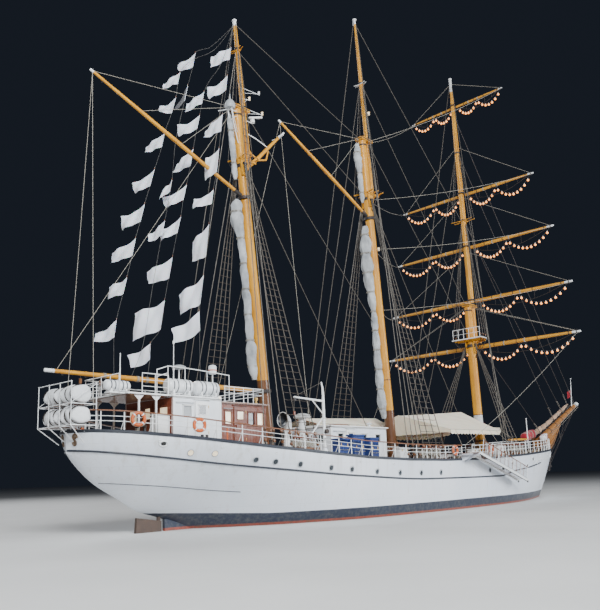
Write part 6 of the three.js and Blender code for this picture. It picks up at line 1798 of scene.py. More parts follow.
def awning(name, T, node, nx, nu, valance, slot=None):
    x0, x1 = T[0][0], T[-1][0]
    us = [(-1 + 2 * j / nu) for j in range(nu + 1)]
    if slot:
        us = sorted(set([u for u in us if abs(u) > .045] + [-.034, .034]))
    b = MB()
    xs_ = [x0 + (x1 - x0) * i / nx for i in range(nx + 1)]
    grid = [[awn_pt(T, x, u) for u in us] for x in xs_]
    for i in range(nx + 1):
        # scalloped valance hanging from both eaves
        for s, e in ((0, -1), (1, 1)):
            p = grid[i][0] if s == 0 else grid[i][-1]
            lo = p + V(0, e * .02, -valance * (.78 + .22 * abs(math.sin(math.pi * i * .5))))
            if s == 0:
                grid[i].insert(0, lo)
            else:
                grid[i].append(lo)
    b.grid(grid, 0)
    if slot:
        f, m = [], []
        for fc, mm in zip(b.f, b.m):
            c = sum((Vector(b.v[i]) for i in fc), Vector()) / 4
            if slot[0] < c.x < slot[1] and abs(c.y) < .16:
                continue
            f.append(fc)
            m.append(mm)
        b.f, b.m = f, m
    o = b.build(name, AWNC, "ship", node, None, smooth=50, fix=False)
    g = MB()
    # side ropes along the eaves and spreaders under the cloth
    for s in (0, -1):
        g.tube([r[1 if s == 0 else -2] + V(0, 0, -.012) for r in grid], .018, 6, 0)
    k = 0
    xx = x0 + .02
    while xx < x1:
        g.tube([awn_pt(T, xx, u) - V(0, 0, .05) for u in np.linspace(-1, 1, 15) if not (slot and abs(u) < .05 and slot[0] < xx < slot[1])], .026, 7, 1)
        xx += 1.75
    return o, g


o, g = awning("awning_cloth_main", AWN, "awning", 54, 28, .34, (32.9, 34.4))
# gable cloth at the aft end, with its own folds
for s in (-1, 1):
    for x in np.arange(26.2, 36, 1.75):
        p = awn_pt(AWN, x, s)
        q = V(x, s * (deck_y(x) - .1), deck_z(x) + .95)
        g.rope(p - V(0, 0, .02), q, .011, 0)
g.tube([V(27.2, 0, 3.2), V(27.2, 0, awn_pt(AWN, 27.2, 0).z - .06)], .05, 10, 1)
g.tube([V(31.2, 0, 3.3), V(31.2, 0, awn_pt(AWN, 31.2, 0).z - .06)], .05, 10, 1)
g.build("awning_ropes_and_spreaders", [ROPE, VARNISH_AND_SHADE], "ship")
rows = []
for j in range(29):
    u = -1 + 2 * j / 28
    top = awn_pt(AWN, 25.6, u)
    bot = 5.02 + .06 * abs(math.sin(math.pi * u * 3))
    rows.append([V(25.58 - .03 * math.sin(u * 15) * (i / 8), top.y, top.z + (bot - top.z) * i / 8) for i in range(9)])
b = MB()
b.grid(rows, 0)
o = b.build("awning_gable", AWNC, "ship", fix=False, smooth=50)
o, g = awning("awning_cloth_port", AWP, (), 34, 12, .24)
for x in (17.8, 19.7, 21.7, 23.6, 25.6):
    p = awn_pt(AWP, x, 1)
    g.rope(p - V(0, 0, .02), V(x, deck_y(x) - .1, deck_z(x) + .95), .011, 0)
    p = awn_pt(AWP, x, -1)
    g.tube([p - V(0, 0, .04), V(x, p.y, deck_z(x) if x > 21.5 else 5.43)], .03, 8, 1)
g.build("awning_port_ropes", [ROPE, VARNISH_AND_SHADE], "ship")
# glow of the lamps under the awning shows on its inside
b = MB()
for x in (27.0, 29.5, 32.0, 34.5):
    for y in (-1.6, 1.6):
        p = awn_pt(AWN, x, y / 4.2)
        b.lathe(p - V(0, 0, .42), (0, 0, 1), [(0, 0), (.02, .07), (.09, .1), (.16, .07), (.18, .05), (.2, .06), (.24, .03), (.38, .012)], 14, 0)
b.build("awning_lamps", [BULB], "ship")

# ------------------------------------------------------------------ deck gear
b = MB()
zw = max(deck_z(42.65), deck_z(43.75)) + .002
b.lathe((43.2, -1.0, zw + .5), (0, 1, 0), [(0, 0), (0, .2), (.03, .23), (.16, .2), (.22, .17), (.24, .22), (.27, .24), (.6, .2), (.9, .18), (.95, .27), (1.05, .27), (1.1, .18), (1.4, .2), (1.73, .24), (1.76, .22), (1.78, .17), (1.84, .2), (1.97, .23), (2, .2), (2, 0)], 26, 0)
for y in (-.75, .6):
    b.prism([(-.34, 0), (.34, 0), (.3, .35), (.18, .8), (-.18, .8), (-.3, .35)], (V(43.2, y + .075, zw), V(1, 0, 0), V(0, 0, 1), V(0, 1, 0)), .075, 0)
b.box(42.7, 43.7, -.8, .8, zw, zw + .08, 0, .015)
b.lathe((43.2, .075, zw + .5), (1, 0, 0), [(-.28, .05), (-.27, .12), (.27, .12), (.28, .05)], 16, 1)
for y in (-.35, .35):
    for i in range(14):
        c = V(43.45 + i * .095, y, zw + .16 if i > 2 else zw + .5 - i * .1)
        b.ring(c, V(0, 1, 0) if i % 2 else V(0, 0, 1), .045, .016, 10, 6, 0)
b.build("windlass_fine", [STEEL, BRASS], "ship", "windlass", smooth=35)

for name, x, y, h, r in (("cowl_vent_port", 13.3, 1.9, 2.0, .24), ("cowl_vent_starboard", 11.9, -2.3, 1.85, .24)):
    zb = max(deck_z(x - .3), deck_z(x + .3)) + .002
    b = MB()
    b.lathe((x, y, zb), (0, 0, 1), [(0, r + .08), (.02, r + .08), (.04, r + .02), (.3, r), (.34, r + .02), (.4, r + .02), (.43, r * .97), (h * .62, r * .92), (h * .63, r * .98), (h * .66, r * .98), (h * .67, r * .9)], 28, 0)
    arc = [V(x, y, zb + h * .6), V(x, y, zb + h * .74), V(x - .02, y, zb + h * .84), V(x - .09, y, zb + h * .92), V(x - .2, y, zb + h * .965), V(x - .33, y, zb + h * .98), V(x - .385, y, zb + h * .98)]
    b.tube(arc, [r * .88, r * .93, r * 1.03, r * 1.18, r * 1.38, r * 1.62, r * 1.74], 28, 0, caps=False)
    b.tube([V(x - .385, y, zb + h * .98), V(x - .36, y, zb + h * .98), V(x - .2, y, zb + h * .965), V(x - .08, y, zb + h * .9)], [r * 1.74, r * 1.6, r * 1.28, r * .9], 28, 1, caps=False)
    b.ring((x - .385, y, zb + h * .98), (1, 0, 0), r * 1.72, .022, 32, 8, 0)
    b.build(name + "_fine", [WHITE, NAVY], "ship", name, smooth=50)

b = MB()
zs = max(deck_z(13.95), deck_z(15.45)) + .002
b.box(14.0, 15.4, -.7, .7, zs, zs + .5, 0, .015)
for s in (-1, 1):
    b.prism([(0, 0), (.74, .32), (.74, .36), (-.04, .03), (-.04, 0)], (V(14.7 - s * .72, 0, zs + .53), V(s, 0, 0), V(0, 0, 1), V(0, 1, 0)), .72, 0)
    for k in range(3):
        y = -.45 + k * .45
        n = V(-s * .4, 0, .92).normalized()
        c = V(14.7 - s * .36, y, zs + .53 + .2)
        t = V(s * .92, 0, .4).normalized()
        b.obox(c + n * .012, t, V(0, 1, 0), n, .26, .15, .008, 1, .003)
        for q in (-.1, 0, .1):
            b.tube([c + n * .035 + t * -.26 + V(0, q, 0), c + n * .035 + t * .26 + V(0, q, 0)], .009, 6, 2)
b.tube([V(14.7, -.74, zs + .87), V(14.7, .74, zs + .87)], .03, 10, 0)
b.box(13.97, 15.43, -.73, .73, zs - .002, zs + .07, 0, .012)
b.build("skylight_fine", [VARN, GLASS, BRASS], "ship", "skylight", smooth=35)

FLUKES = [[44.65, 2.32, 2.75], [44.9, 2.1, 2.42], [45.2, 1.94, 2.28], [45.5, 1.85, 2.42], [45.75, 1.82, 2.75]]
for name, s in (("anchor_port", 1), ("anchor_starboard", -1)):
    b = MB()
    top, foot = V(45.2, s * 2.27, 3.5), V(45.2, s * 1.94, 2.3)
    b.tube([top, top.lerp(foot, .5), foot], [.055, .06, .078], 12, 0)
    b.ring(top + V(0, 0, -.03), (1, 0, 0), .085, .022, 18, 8, 0)
    b.ring(top + V(0, 0, .1), (0, 1, 0), .07, .02, 18, 8, 0)
    b.lathe(foot + V(-.17, -s * .0, .02), (1, 0, 0), [(0, .06), (.02, .105), (.32, .105), (.34, .06)], 14, 0)
    b.tube([V(x, s * y, z) for x, y, z in FLUKES], [.03, .085, .1, .085, .03], 12, 0)
    for e, q in ((-1, 0), (1, -1)):
        c = V(FLUKES[q][0], s * FLUKES[q][1], FLUKES[q][2] - .1)
        b.prism([(-.15, -.12), (0, -.16), (.15, -.12), (.1, .1), (0, .24), (-.1, .1)], (c, V(.15, s * 1.0, .1).normalized(), V(e * .25, 0, .96), V(.96, 0, -e * .25)), .024, 0)
    b.build(name + "_fine", [STEEL], "ship", name, smooth=45)

b = MB()


def coil(cx, cy, cz, R=.22, turns=5, layers=2, mat=1):
    for l in range(layers):
        for k in range(turns):
            b.ring((cx, cy, cz + .022 + .036 * l), (0, 0, 1), R - .036 * k - .012 * l, .019, 20, 6, mat)


for s in (-1, 1):
    # pin rails inside the bulwark with pins and hanks
    for xa, xb in ((36.2, 33.9), (23.9, 21.6), (12.2, 10.4)):
        yy = s * (deck_y((xa + xb) / 2) - .32)
        zz = deck_z(xa) + .78
        b.obox(((xa + xb) / 2, yy, zz), V(1, 0, 0), V(0, 1, 0), V(0, 0, 1), (xa - xb) / 2, .07, .03, 0, .012)
        for x in (xa - .15, (xa + xb) / 2, xb + .15):
            b.tube([V(x, yy, deck_z(x)), V(x, yy, zz)], .022, 8, 2)
        n = 7
        for i in range(n):
            x = xb + .2 + (xa - xb - .4) * i / (n - 1)
            b.lathe((x, yy, zz - .17), (0, 0, 1), [(0, 0), (.01, .014), (.18, .015), (.2, .026), (.27, .026), (.33, .018), (.35, 0)], 8, 0)
            for q in range(4):
                b.ring(V(x, yy - s * .04, zz - .2 - .03 * q), V(.1 * (q - 1.5), 1, 0), .13 + .015 * q, .016, 14, 5, 1)
    # bollards, fairleads, cleats
    for x in (2.4, 8.9, 22.6, 29.2, 38.2, 43.9):
        yy = s * (deck_y(x) - .42)
        if yy * s < .5:
            continue
        z = deck_z(x)
        b.box(x - .34, x + .34, yy - .12, yy + .12, z, z + .04, 3, .01)
        for e in (-.19, .19):
            b.lathe((x + e, yy, z + .03), (0, 0, 1), [(0, .085), (.02, .075), (.26, .072), (.28, .095), (.33, .1), (.36, .08), (.37, 0)], 18, 3)
        for q in range(5):
            b.ring((x - .19, yy, z + .1 + .035 * q), (0, 0, 1), .094, .019, 18, 6, 1)
    for x in (5.2, 24.8, 33.0, 41.0):
        z = deck_z(x)
        yy = s * (deck_y(x) - .2)
        for e in (-.14, .14):
            b.lathe((x + e, yy, z), (0, 0, 1), [(0, .05), (.05, .07), (.12, .06), (.2, .075), (.22, .05), (.23, 0)], 12, 3)
    for x, yy in ((13.6, 3.2), (23.2, 3.4), (27.2, 3.4), (31.9, 3.3), (34.9, 3.0), (40.2, 2.2), (9.3, 3.1)):
        coil(x, s * yy, deck_z(x) + .004)
# fife rails round the main and fore masts
for m in (MN, F):
    x0 = MX(m, 4)
    z = deck_z(x0)
    for s in (-1, 1):
        b.obox((x0 - .1, s * .85, z + .88), V(1, 0, 0), V(0, 1, 0), V(0, 0, 1), .8, .07, .035, 0, .012)
        for x in (x0 - .8, x0 + .6):
            b.lathe((x, s * .85, z), (0, 0, 1), [(0, .07), (.05, .07), (.08, .045), (.4, .06), (.7, .045), (.86, .06), (.9, .06)], 12, 0)
        for i in range(6):
            b.lathe((x0 - .75 + i * .26, s * .85, z + .7), (0, 0, 1), [(0, 0), (.01, .014), (.18, .015), (.2, .026), (.27, .026), (.35, 0)], 8, 0)
            for q in range(3):
                b.ring(V(x0 - .75 + i * .26, s * .91, z + .62 - .03 * q), V(.1 * (q - 1.5), 1, 0), .12 + .015 * q, .016, 12, 5, 1)
    b.obox((x0 - .85, 0, z + .88), V(0, 1, 0), V(1, 0, 0), V(0, 0, 1), .85, .07, .035, 0, .012)
b.build("deck_gear", [VARN, ROPE, WHITE, STEEL], "ship")

b = MB()
# lifebuoys on the rail: a fat ring with four white bands and a grab line
for x, s in ((2.08, -1), (4.81, -1), (25.09, -1), (2.08, 1), (14.0, 1), (30.0, 1), (30.0, -1)):
    c = V(x, s * (deck_y(x) + .0), deck_z(x) + .62)
    n = V(-(deck_y(x + .1) - deck_y(x - .1)) / .2, s, 0).normalized()
    b.ring(c, n, .27, .078, 30, 12, 0)
    t = n.cross(V(0, 0, 1)).normalized()
    for k in range(4):
        a = k * math.pi / 2 + .785
        d = t * math.cos(a) + V(0, 0, 1) * math.sin(a)
        q = t * -math.sin(a) + V(0, 0, 1) * math.cos(a)
        b.lathe(c + d * .27 - q * .025, q, [(0, .078), (.005, .083), (.045, .083), (.05, .078)], 14, 1)
    b.tube([c + (t * math.cos(a) + V(0, 0, 1) * math.sin(a)) * (.36 + .012 * math.cos(4 * a + math.pi)) for a in np.linspace(0, 2 * math.pi, 41)], .009, 5, 2, caps=False)
# boxes by the rail, fire hydrants, deck lockers
for x, w_, m_ in ((14.3, .9, 3), (15.6, 1.0, 3), (17.0, .8, 3), (28.6, .9, 1), (19.9, .9, 1)):
    yy = -(deck_y(x) - .62)
    z = deck_z(x)
    hb_ = {14.3: .86, 15.6: 1.2, 17.0: 1.12}.get(x, .62)
    b.box(x - w_ / 2, x + w_ / 2, yy - .26, yy + .26, z + .04, z + hb_, m_, .05)
    b.box(x - w_ / 2 - .03, x + w_ / 2 + .03, yy - .29, yy + .29, z + hb_, z + hb_ + .08, m_, .035)
    if m_ == 3:
        # the cover's gathered folds and its lashing
        for q in range(7):
            xx = x - w_ / 2 + w_ * (q + .5) / 7
            b.tube([V(xx, yy - .262, z + .1), V(xx + .02 * math.sin(q * 2.1), yy - .275, z + hb_ * .5), V(xx - .015, yy - .27, z + hb_)], [.012, .022, .012], 6, 3)
        b.tube([V(x - w_ / 2 - .01, yy - .285, z + .34), V(x, yy - .295, z + .3), V(x + w_ / 2 + .01, yy - .285, z + .34)], .013, 6, 2)
    for e in (-.3, .3):
        b.box(x + e * w_ - .03, x + e * w_ + .03, yy - .31, yy - .28, z + .5, z + .66, 4, .006)
        b.box(x + e * w_ - .05, x + e * w_ + .05, yy - .2, yy + .2, z, z + .05, 5, .01)
# spare golden spar on crutches along the rail, and a white pole by the bow
b.lathe((36.95, -2.5, 4.78), (3.55, 0, .12), [(0, 0), (.01, .05), (.1, .075), (1.7, .085), (3.3, .07), (3.5, .05), (3.55, 0)], 16, 6)
for x in (37.4, 40.0):
    z = deck_z(x)
    b.tube([V(x, -2.62, 4.86), V(x, -2.5, 4.68), V(x, -2.38, 4.86)], .025, 8, 1)
    b.tube([V(x, -2.5, z), V(x, -2.5, 4.7)], .03, 8, 1)
b.lathe((43.6, -1, deck_z(43.6)), (0, 0, 1), [(0, .1), (.03, .1), (.05, .05), (1.4, .045), (2.85, .035), (2.88, .06), (2.93, .06), (2.95, 0)], 14, 1)
for x, s in ((6.6, -1), (16.0, 1), (32.6, -1)):
    yy = s * (deck_y(x) - .5)
    z = deck_z(x)
    b.lathe((x, yy, z), (0, 0, 1), [(0, .07), (.03, .07), (.04, .04), (.5, .04), (.52, .06), (.6, .06), (.62, .03), (.66, .03), (.67, .06), (.7, .06), (.71, 0)], 12, 7)
b.build("deck_loose_gear", [ORANGE, WHITE, ROPE, BLUE, BRASS, VARN, GOLD, ORANGE], "ship")

# hatches and ladders from the main deck to the house tops
b = MB()
z = deck_z(29.5)
b.box(28.8, 31.0, -.95, .95, z, z + .42, 0, .02)
for i in range(9):
    b.box(28.83 + i * .239, 28.83 + i * .239 + .226, -.9, .9, z + .42, z + .47, 1, .006)
z = deck_z(39.3)
b.box(38.6, 40.0, -.7, .7, z, z + .75, 0, .02)
b.box(38.56, 40.04, -.75, .75, z + .75, z + .83, 1, .02)
for k, (x, y) in enumerate(((10.95, -1.1), (10.95, 1.1), (15.75, 1.0))):
    zb, zt2 = deck_z(x), (6.4 if k < 2 else 5.4)
    e = 1 if k < 2 else -1
    for q in (-.24, .24):
        b.obox(((x + .22 * e), y + q, (zb + zt2) / 2), V(0, 1, 0), V(e * .2, 0, -.98).normalized().cross(V(0, 1, 0)), V(e * .2, 0, -.98).normalized(), .02, .05, (zt2 - zb) / 2, 1, .008)
    for i in range(7):
        f = (i + .5) / 7
        b.box(x + .22 * e + e * .2 * (.5 - f) * (zt2 - zb) - .08, x + .22 * e + e * .2 * (.5 - f) * (zt2 - zb) + .08, y - .24, y + .24, zb + (zt2 - zb) * f, zb + (zt2 - zb) * f + .03, 1, .006)
b.build("hatches_and_ladders", [WHITE, VARNISH_AND_SHADE], "ship")

# ------------------------------------------------------------------ rudder and propeller keep their frame shapes
dress("rudder", RUDM)
bevel("rudder", .01, 3)
dress("propeller", BRONZE)
bevel("propeller", .006, 2)

# ------------------------------------------------------------------ lifts and braces: each joins the ship to a yard
TOPY = {"course_yard": 16.1, "lower_topsail_yard": 20.9, "upper_topsail_yard": 26.0, "topgallant_yard": 30.6, "royal_yard": 36.7}
for name, (x, z, half, r, ax, mr) in YARD_AT.items():
    zt_ = TOPY[name]
    hx = (MX(F, zt_) + (0 if zt_ < F["cap"] - .3 else AHEAD(F)))
    hr = mast_r(F, zt_) if zt_ < F["cap"] - .3 else top_r("fore", F, zt_)
    if name == "lower_topsail_yard":
        zt_ = 21.0
        hx, hr = AX(zt_), top_r("fore", F, zt_)
    for s in (-1, 1):
        b = MB()
        p, q = V(hx, s * (hr + .03), zt_), V(x, s * half * .955, z + r * .6 + .03)
        n = 14
        b.tube([p.lerp(q, i / n) for i in range(n + 1)], .0125, 5, 0)
        if name == "course_yard":
            p2 = V(hx, s * (hr + .03), zt_ - .1)
            q2 = V(x, s * half * .955, z + r * .6)
            b.tube([p2.lerp(q2, i / n) for i in range(n + 1)], .01, 5, 0)
        o = b.build(f"{name}_lift_{'p' if s > 0 else 's'}", [ROPE], None, ride=False)
        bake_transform(o)
        # brace, led aft to the main mast (upper yards) or the rail (course)
        b = MB()
        if name == "course_yard":
            p = V(26.8, s * (deck_y(26.8) - .2), deck_z(26.8) + .98)
        else:
            zz = {"lower_topsail_yard": 14.0, "upper_topsail_yard": 18.5, "topgallant_yard": 22.2, "royal_yard": 26.6}[name]
            p = V(MX(MN, zz) + mast_r(MN, zz), s * (.08 if zz < 26 else .2), zz)
        q = V(x - .02, s * half * .97, z - r * .5)
        n = 20
        b.tube([p.lerp(q, i / n) - V(0, 0, .35 * 4 * (i / n) * (1 - i / n)) for i in range(n + 1)], .0125, 5, 0)
        o = b.build(f"{name}_brace_{'p' if s > 0 else 's'}", [ROPE], None, ride=False)
        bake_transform(o)

# gaff vangs and peak halyards, topping lift and sheet of the boom
def taut(name, p, q, r=.0125, mat=ROPE, sag=.0, n=16):
    b = MB()
    p, q = Vector(p), Vector(q)
    b.tube([p.lerp(q, i / n) - V(0, 0, sag * 4 * (i / n) * (1 - i / n)) for i in range(n + 1)], r, 5, 0)
    o = b.build(name, [mat], None, ride=False)
    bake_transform(o)
    return o


for nm, m, end, zz, zs_ in (("mizzen_gaff", MZ, V(.72, 0, 22.94), 24.5, 18.9), ("main_gaff", MN, V(14.14, 0, 25.11), 26.7, 20.7)):
    a = V(MX(m, zs_), 0, zs_)
    for f in (.45, .7, .97):
        q = a.lerp(end, f) + V(0, 0, .1)
        taut(f"{nm}_peak_{int(f * 100)}", (MX(m, zz) - mast_r(m, zz), 0, zz), q)
    for s in (-1, 1):
        if nm == "mizzen_gaff":
            p = (.61, s * 1.25, deck_z(.61) + .98)
        else:
            p = (11.5, s * (deck_y(11.5) - .12), deck_z(11.5) + 1.0)
        taut(f"{nm}_vang_{'p' if s > 0 else 's'}", p, end * .985 + a * .015 - V(0, 0, .05), sag=.25)
BA, BE = V(MX(MZ, 7.36), 0, 7.36), V(-.37, 1.62, 7.74)
taut("boom_topping_lift", (MX(MZ, 24.4) - .24, 0, 24.4), BA.lerp(BE, .95) + V(0, 0, .12))
for f, x, y in ((.78, 3.0, .75), (.86, 1.5, 1.2)):
    q = BA.lerp(BE, f) - V(0, 0, .5)
    taut(f"boom_sheet_{int(f * 100)}", (x - .0, y, deck_z(x) + (.1 if x < 1.9 else 0) if x < 1.9 else 6.52), q, .013)


# ------------------------------------------------------------------ rail over the canisters, lamp, drum and cap by it, dark varnished deckhead under the boat deck as painted shade
b = MB()
yy = -1.93
rp = [wall_pt(px, py, yy) for px, py in ((157, 369.5), (168, 366), (185, 368), (207, 371.5), (229, 375.5))]
b.tube(rp, .024, 8, 0)
for q in rp:
    b.tube([V(q.x, yy, 6.5 if q.x < 7.38 else 6.42), q], .02, 8, 0)
    b.ball(tuple(q), .03, 10, 0)
b.tube([q + V(0, 0, -.33) for q in rp[:2]], .016, 8, 0)
q = wall_pt(212.5, 373, -1.7)
b.lathe((q.x, q.y, q.z - .08), (0, 0, 1), [(0, .03), (.02, .17), (.05, .2), (.3, .21), (.42, .2), (.47, .15), (.49, .08), (.5, 0)], 24, 1)
b.lathe((q.x, q.y, q.z + .1), (0, 0, 1), [(0, .205), (.01, .222), (.05, .222), (.06, .205)], 24, 3)
b.tube([V(q.x, q.y, 6.42), V(q.x, q.y, q.z)], .03, 8, 0)
q = wall_pt(179, 367.5, -1.6)
b.lathe((q.x, q.y, q.z - .1), (0, 0, 1), [(0, .1), (.02, .1), (.04, .3), (.09, .36), (.15, .33), (.22, .16), (.24, 0)], 26, 2)
b.tube([V(q.x, q.y, 6.5), V(q.x, q.y, q.z - .08)], .035, 8, 0)
q = wall_pt(120.3, 353, -1.9)
b.lathe((q.x, -1.9, 6.5), (0, 0, 1), [(0, .05), (.012, .05), (.02, .03), (q.z - 6.55, .022), (q.z - 6.52, .03), (q.z - 6.5, 0)], 12, 0)
# deck lamp on the corner of the after house
q = wall_pt(219, 398, -2.06)
b.box(q.x - .09, q.x + .09, -2.13, -2.01, q.z - .07, q.z + .07, 0, .02)
b.box(q.x - .07, q.x + .07, -2.15, -2.125, q.z - .055, q.z + .055, 4, .01)
# tall vent with a broad cap in the waist
q = wall_pt(302.5, 434, -2.6)
zd = deck_z(q.x)
b.lathe((q.x, q.y, zd), (0, 0, 1), [(0, .3), (.04, .3), (.06, .22), (1.5, .2), (1.98, .2), (2.02, .46), (2.08, .5), (2.18, .46), (2.27, .22), (2.3, 0)], 26, 0)
# stay of the davit post, from its collar to the deck
q = wall_pt(306.5, 442, -4.0)
b.ring((12.88, -4.1, 5.52), (0, 0, 1), .125, .02, 22, 8, 0)
b.tube([V(12.74, -4.1, 5.5), V((12.74 + q.x) / 2, -4.05, (5.5 + q.z) / 2), V(q.x, -4.0, max(q.z, deck_z(q.x)))], [.04, .045, .04], 10, 0)
# dark varnished slats under the boat deck: painted shade beneath it
for i in range(28):
    y = -1.86 + i * .133
    b.box(1.98, 4.34, y, y + .126, 6.402, 6.418, 5, .003)
b.build("rail_lamp_and_caps", [WHITE, CANVAS, GREY_AND_RAILING_SHADE, ORANGE, LIT, VARNISH_AND_SHADE], "ship")

# ------------------------------------------------------------------ flag hoists
def chord_depth(a, c, py):
    """Depth of the point of the line a-c that lies on a picture row."""
    lo, hi = 0.0, 1.0
    for _ in range(40):
        t = (lo + hi) / 2
        d = a.lerp(c, t) - CAMP
        if 350.38 - 700.045 * d.dot(CU) / d.dot(CF) < py:
            lo = t
        else:
            hi = t
    return (a.lerp(c, (lo + hi) / 2) - CAMP).dot(CF)


def flag(name, ht, hb, ft, fb, seed, mat):
    """A plain flag between its hoist (top, bottom) and its fly (top, bottom): a billowing patch with a sagging upper edge and a fluttering fly."""
    r_ = random.Random(seed)
    p0, p1, am = r_.uniform(0, 6.28), r_.uniform(0, 6.28), r_.uniform(.03, .055)
    w = ((ft - ht).length + (fb - hb).length) / 2
    h = ((hb - ht).length + (fb - ft).length) / 2
    nrm = (ft - ht).cross(hb - ht).normalized()
    n, k = 20, 12
    rows = []
    for i in range(n + 1):
        u = i / n
        row = []
        for j in range(k + 1):
            v = j / k
            p = ht.lerp(ft, u).lerp(hb.lerp(fb, u), v)
            off = am * w * (1.5 * math.sin(p0 + 5.4 * u + 1.4 * v) + .7 * math.sin(p1 + 11 * u - 3.2 * v)) * u ** .6
            sag = .075 * w * math.sin(math.pi * u) * (1 - .45 * v) + .02 * w * math.sin(p1 + 6 * u)
            row.append(p + nrm * off - V(0, 0, sag) + (ft - ht).normalized() * (.02 * w * math.sin(p0 + 7 * v) * u))
        rows.append(row)
    b = MB()
    b.grid(rows, 0)
    o = b.build(name, [mat], None, ride=False, fix=False, smooth=80)
    return o, w, h, rows


TRK = V(MX(MZ, 30.1) + AHEAD(MZ) - .1, 0, 30.05)
# each hoist: foot, what it is made fast to, its line in the picture, then its flags as
# (hoist top x, y, hoist bottom x, y, fly top x, y, fly bottom x, y) in pixels
HOISTS = [
    ("guard", V(6.2, -1.83, 7.2), "ship", [(231, 44), (229.5, 59), (227.3, 76), (225.7, 91), (222.4, 114), (220.8, 131), (219, 149), (216.5, 172), (213.3, 190), (208.9, 224), (205.5, 256), (203.5, 275), (199.9, 304), (199.6, 331)],
     [(230.9, 47.4, 229.5, 59.3, 210.3, 55.5, 210, 66.3), (227.3, 76.1, 225.7, 90.7, 207.5, 89.1, 208.3, 98.9), (222.4, 114, 220.8, 130.9, 204, 129.8, 204, 137.4),
      (219, 148.8, 216.5, 172.1, 205.6, 159, 204, 180.2), (213.3, 189.8, 211.6, 203.9, 195, 200, 191.7, 207.9), (208.9, 223.9, 205.5, 256.5, 191.5, 242, 191.7, 261.5),
      (203.5, 274.9, 199.9, 303.7, 178.7, 295, 179.2, 314.5), (199.2, 311.7, 199.8, 331.1, 171.6, 328.7, 176.3, 343.9)]),
    ("inner", V(4.9, .93, 7.58), "mizzen_boom", [(222, 62), (210, 80), (204, 92), (201.8, 104), (199.6, 116), (196.9, 129), (193.1, 149), (190.4, 166), (186.5, 185), (183.2, 200), (180.7, 217), (177, 233), (172.4, 257), (168.7, 278), (164.7, 300), (160.2, 329), (150.2, 344), (149.7, 360)],
     [(204, 91.8, 201.8, 103.7, 186, 102.7, 184.5, 111.3), (199.6, 115.7, 196.9, 129.2, 178, 126, 178, 136.3), (193.1, 148.7, 190.4, 165.6, 175.5, 163, 172.5, 172.6),
      (186.5, 185.1, 183.2, 200.1, 162.5, 198.5, 164.7, 207.2), (180.7, 217, 177, 233, 161.5, 230.5, 160, 240), (172.4, 256.8, 168.7, 278.2, 145.6, 271.5, 147.9, 283.6),
      (164.7, 299.6, 160.2, 329.1, 134.5, 313, 131.4, 340.8), (150.2, 343.9, 149.7, 359.9, 127.8, 355.2, 132.5, 368.6)]),
    ("middle", V(4.0, 1.05, 7.61), "mizzen_boom", [(212, 46), (200, 50), (195.3, 53.3), (192.6, 67.4), (187.7, 86), (184, 103), (175.5, 142), (172, 180), (164.7, 221.3), (161.7, 235.5), (152, 290), (143, 345)],
     [(195.3, 53.3, 192.6, 67.4, 177, 65.2, 178, 70.9), (187.7, 85.9, 184.6, 101, 180.5, 99, 174.9, 110), (172, 179.7, 169.5, 191.5, 163.5, 189.5, 158.6, 199.8), (164.7, 221.3, 161.9, 235.5, 148.3, 234, 148.6, 241.4)]),
    ("outer", V(3.1, 1.15, 7.64), "mizzen_boom", [(214, 50), (192, 60), (179.9, 72.1), (177.7, 84), (175.8, 98), (171.5, 113.5), (164.4, 133), (161.7, 147), (154.4, 170), (149.9, 186), (144.6, 204), (140.3, 221.5), (135.5, 238), (132.1, 255), (126.9, 277), (123.1, 293), (116.4, 320), (113.9, 338)],
     [(179.9, 72.1, 177.7, 83.7, 162.3, 83.2, 161.7, 88), (175.8, 97.8, 171.5, 113.5, 160.5, 107.5, 158.4, 111.3), (164.4, 133, 161.7, 146.6, 144.9, 145.4, 144.9, 152),
      (154.4, 169.7, 149.9, 186.2, 132.5, 184.1, 133.9, 192.5), (144.6, 204.1, 140.3, 221.5, 122.2, 217.3, 121.1, 229.6), (135.5, 238, 132.1, 255.4, 110.8, 252.8, 110.8, 262.5),
      (126.9, 276.9, 123.1, 293.4, 109, 287.2, 106.8, 299), (116.4, 320.4, 113.8, 337.8, 95.7, 333.8, 95.7, 342.5)])]
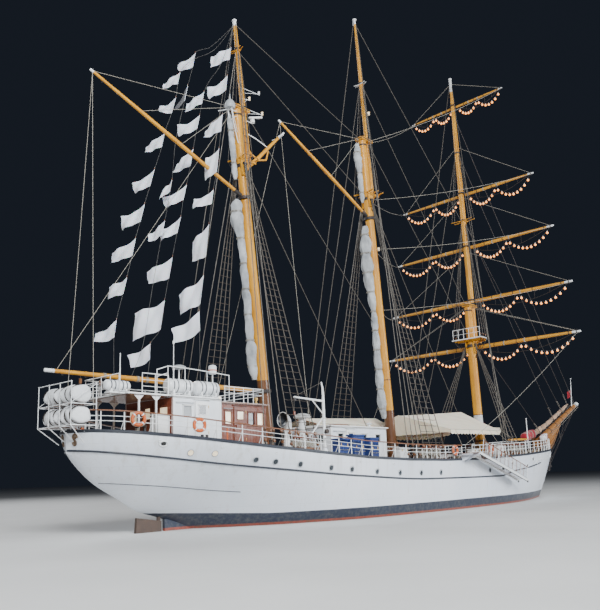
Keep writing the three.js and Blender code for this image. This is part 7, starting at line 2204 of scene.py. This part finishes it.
for hname, foot, body, line, flags in HOISTS:
    pts = [TRK] + [at(px, py, chord_depth(TRK, foot, py)) for px, py in line] + [foot]
    # a smooth line through the points
    fine = []
    for i in range(len(pts) - 1):
        q0, q1, q2, q3 = pts[max(i - 1, 0)], pts[i], pts[i + 1], pts[min(i + 2, len(pts) - 1)]
        for k in range(4):
            t = k / 4
            fine.append((q1 * 2 + (q2 - q0) * t + (q0 * 2 - q1 * 5 + q2 * 4 - q3) * t * t + (q1 * 3 - q0 - q2 * 3 + q3) * t ** 3) / 2)
    fine.append(foot)
    b = MB()
    b.tube(fine, .0095, 5, 0)
    o = b.build(f"halyard_{hname}", [HALY], None, ride=False)
    if body == "ship":
        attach(o, "ship")
    else:
        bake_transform(o)
    for i, f in enumerate(flags):
        d = chord_depth(TRK, foot, f[1])
        ht, hb = at(f[0], f[1], d), at(f[2], f[3], chord_depth(TRK, foot, f[3]))
        ft, fb = at(f[4], f[5], d + .28), at(f[6], f[7], d + .22)
        o, w, h, rows = flag(f"flag_{hname}_{i + 1}", ht, hb, ft, fb, 100 + i * 7 + len(hname), FLAGD if (hname, i) == ("middle", 1) else FLAG)
        g = MB()
        # hem along the hoist with a toggle at its head
        g.tube([q - CF * .004 for q in rows[0]], .013, 6, 0)
        g.tube([rows[0][0], rows[0][0] + V(0, 0, .11)], .014, 6, 1)
        t = g.build(f"flag_{hname}_{i + 1}_hem", [FLAG, VARNISH_AND_SHADE], None, ride=False)
        for q in (o, t):
            if body == "ship":
                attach(q, "ship")
            else:
                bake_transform(q)
# small limp flag on the jackstaff
jt, jb = V(56.62, 0, 10.45), V(56.53, 0, 9.8)
o, w, h, rows = flag("flag_jack", jt, jb, jt + V(-.4, .3, -.26), jb + V(-.34, .26, -.34), 5, REDC)
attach(o, "ship")

# ------------------------------------------------------------------ stage: pale floor at the waterline, soft light
def material_floor():
    m = Mat("studio_floor", (0.62, 0.62, 0.61), 0.75)
    m.color(m.mix(m.ramp(m.noise(.4, 4), (.3, 0.0), (.75, 1.0)), (0.66, 0.66, 0.65), (0.60, 0.60, 0.59)))
    return m.m


me = bpy.data.meshes.new("floor")
R_ = 160
me.from_pydata([(-R_, -R_, 0), (R_, -R_, 0), (R_, R_, 0), (-R_, R_, 0)], [], [(0, 1, 2, 3)])
me.materials.append(material_floor())
floor = bpy.data.objects.new("floor", me)
bpy.context.scene.collection.objects.link(floor)

world = bpy.data.worlds.new("studio")
bpy.context.scene.world = world
world.use_nodes = True
bg = world.node_tree.nodes["Background"]
bg.inputs["Color"].default_value = (0.011, 0.014, 0.021, 1)
bg.inputs["Strength"].default_value = 1.0


def area(name, loc, target, size, power, color=(1, 1, 1)):
    l = bpy.data.lights.new(name, "AREA")
    l.energy, l.size, l.color, l.shape = power, size, color, "DISK"
    o = bpy.data.objects.new(name, l)
    o.location = loc
    o.rotation_euler = (Vector(target) - Vector(loc)).to_track_quat("-Z", "Y").to_euler()
    bpy.context.scene.collection.objects.link(o)


area("key", (-26, -30, 22), (0, 0, 5), 16, 25000, (.95, .98, 1))
area("fill", (22, -34, 14), (2, 0, 5), 20, 14500, (.90, .95, 1))
area("rim", (-6, 30, 26), (0, 0, 7), 18, 8000, (.95, .97, 1))
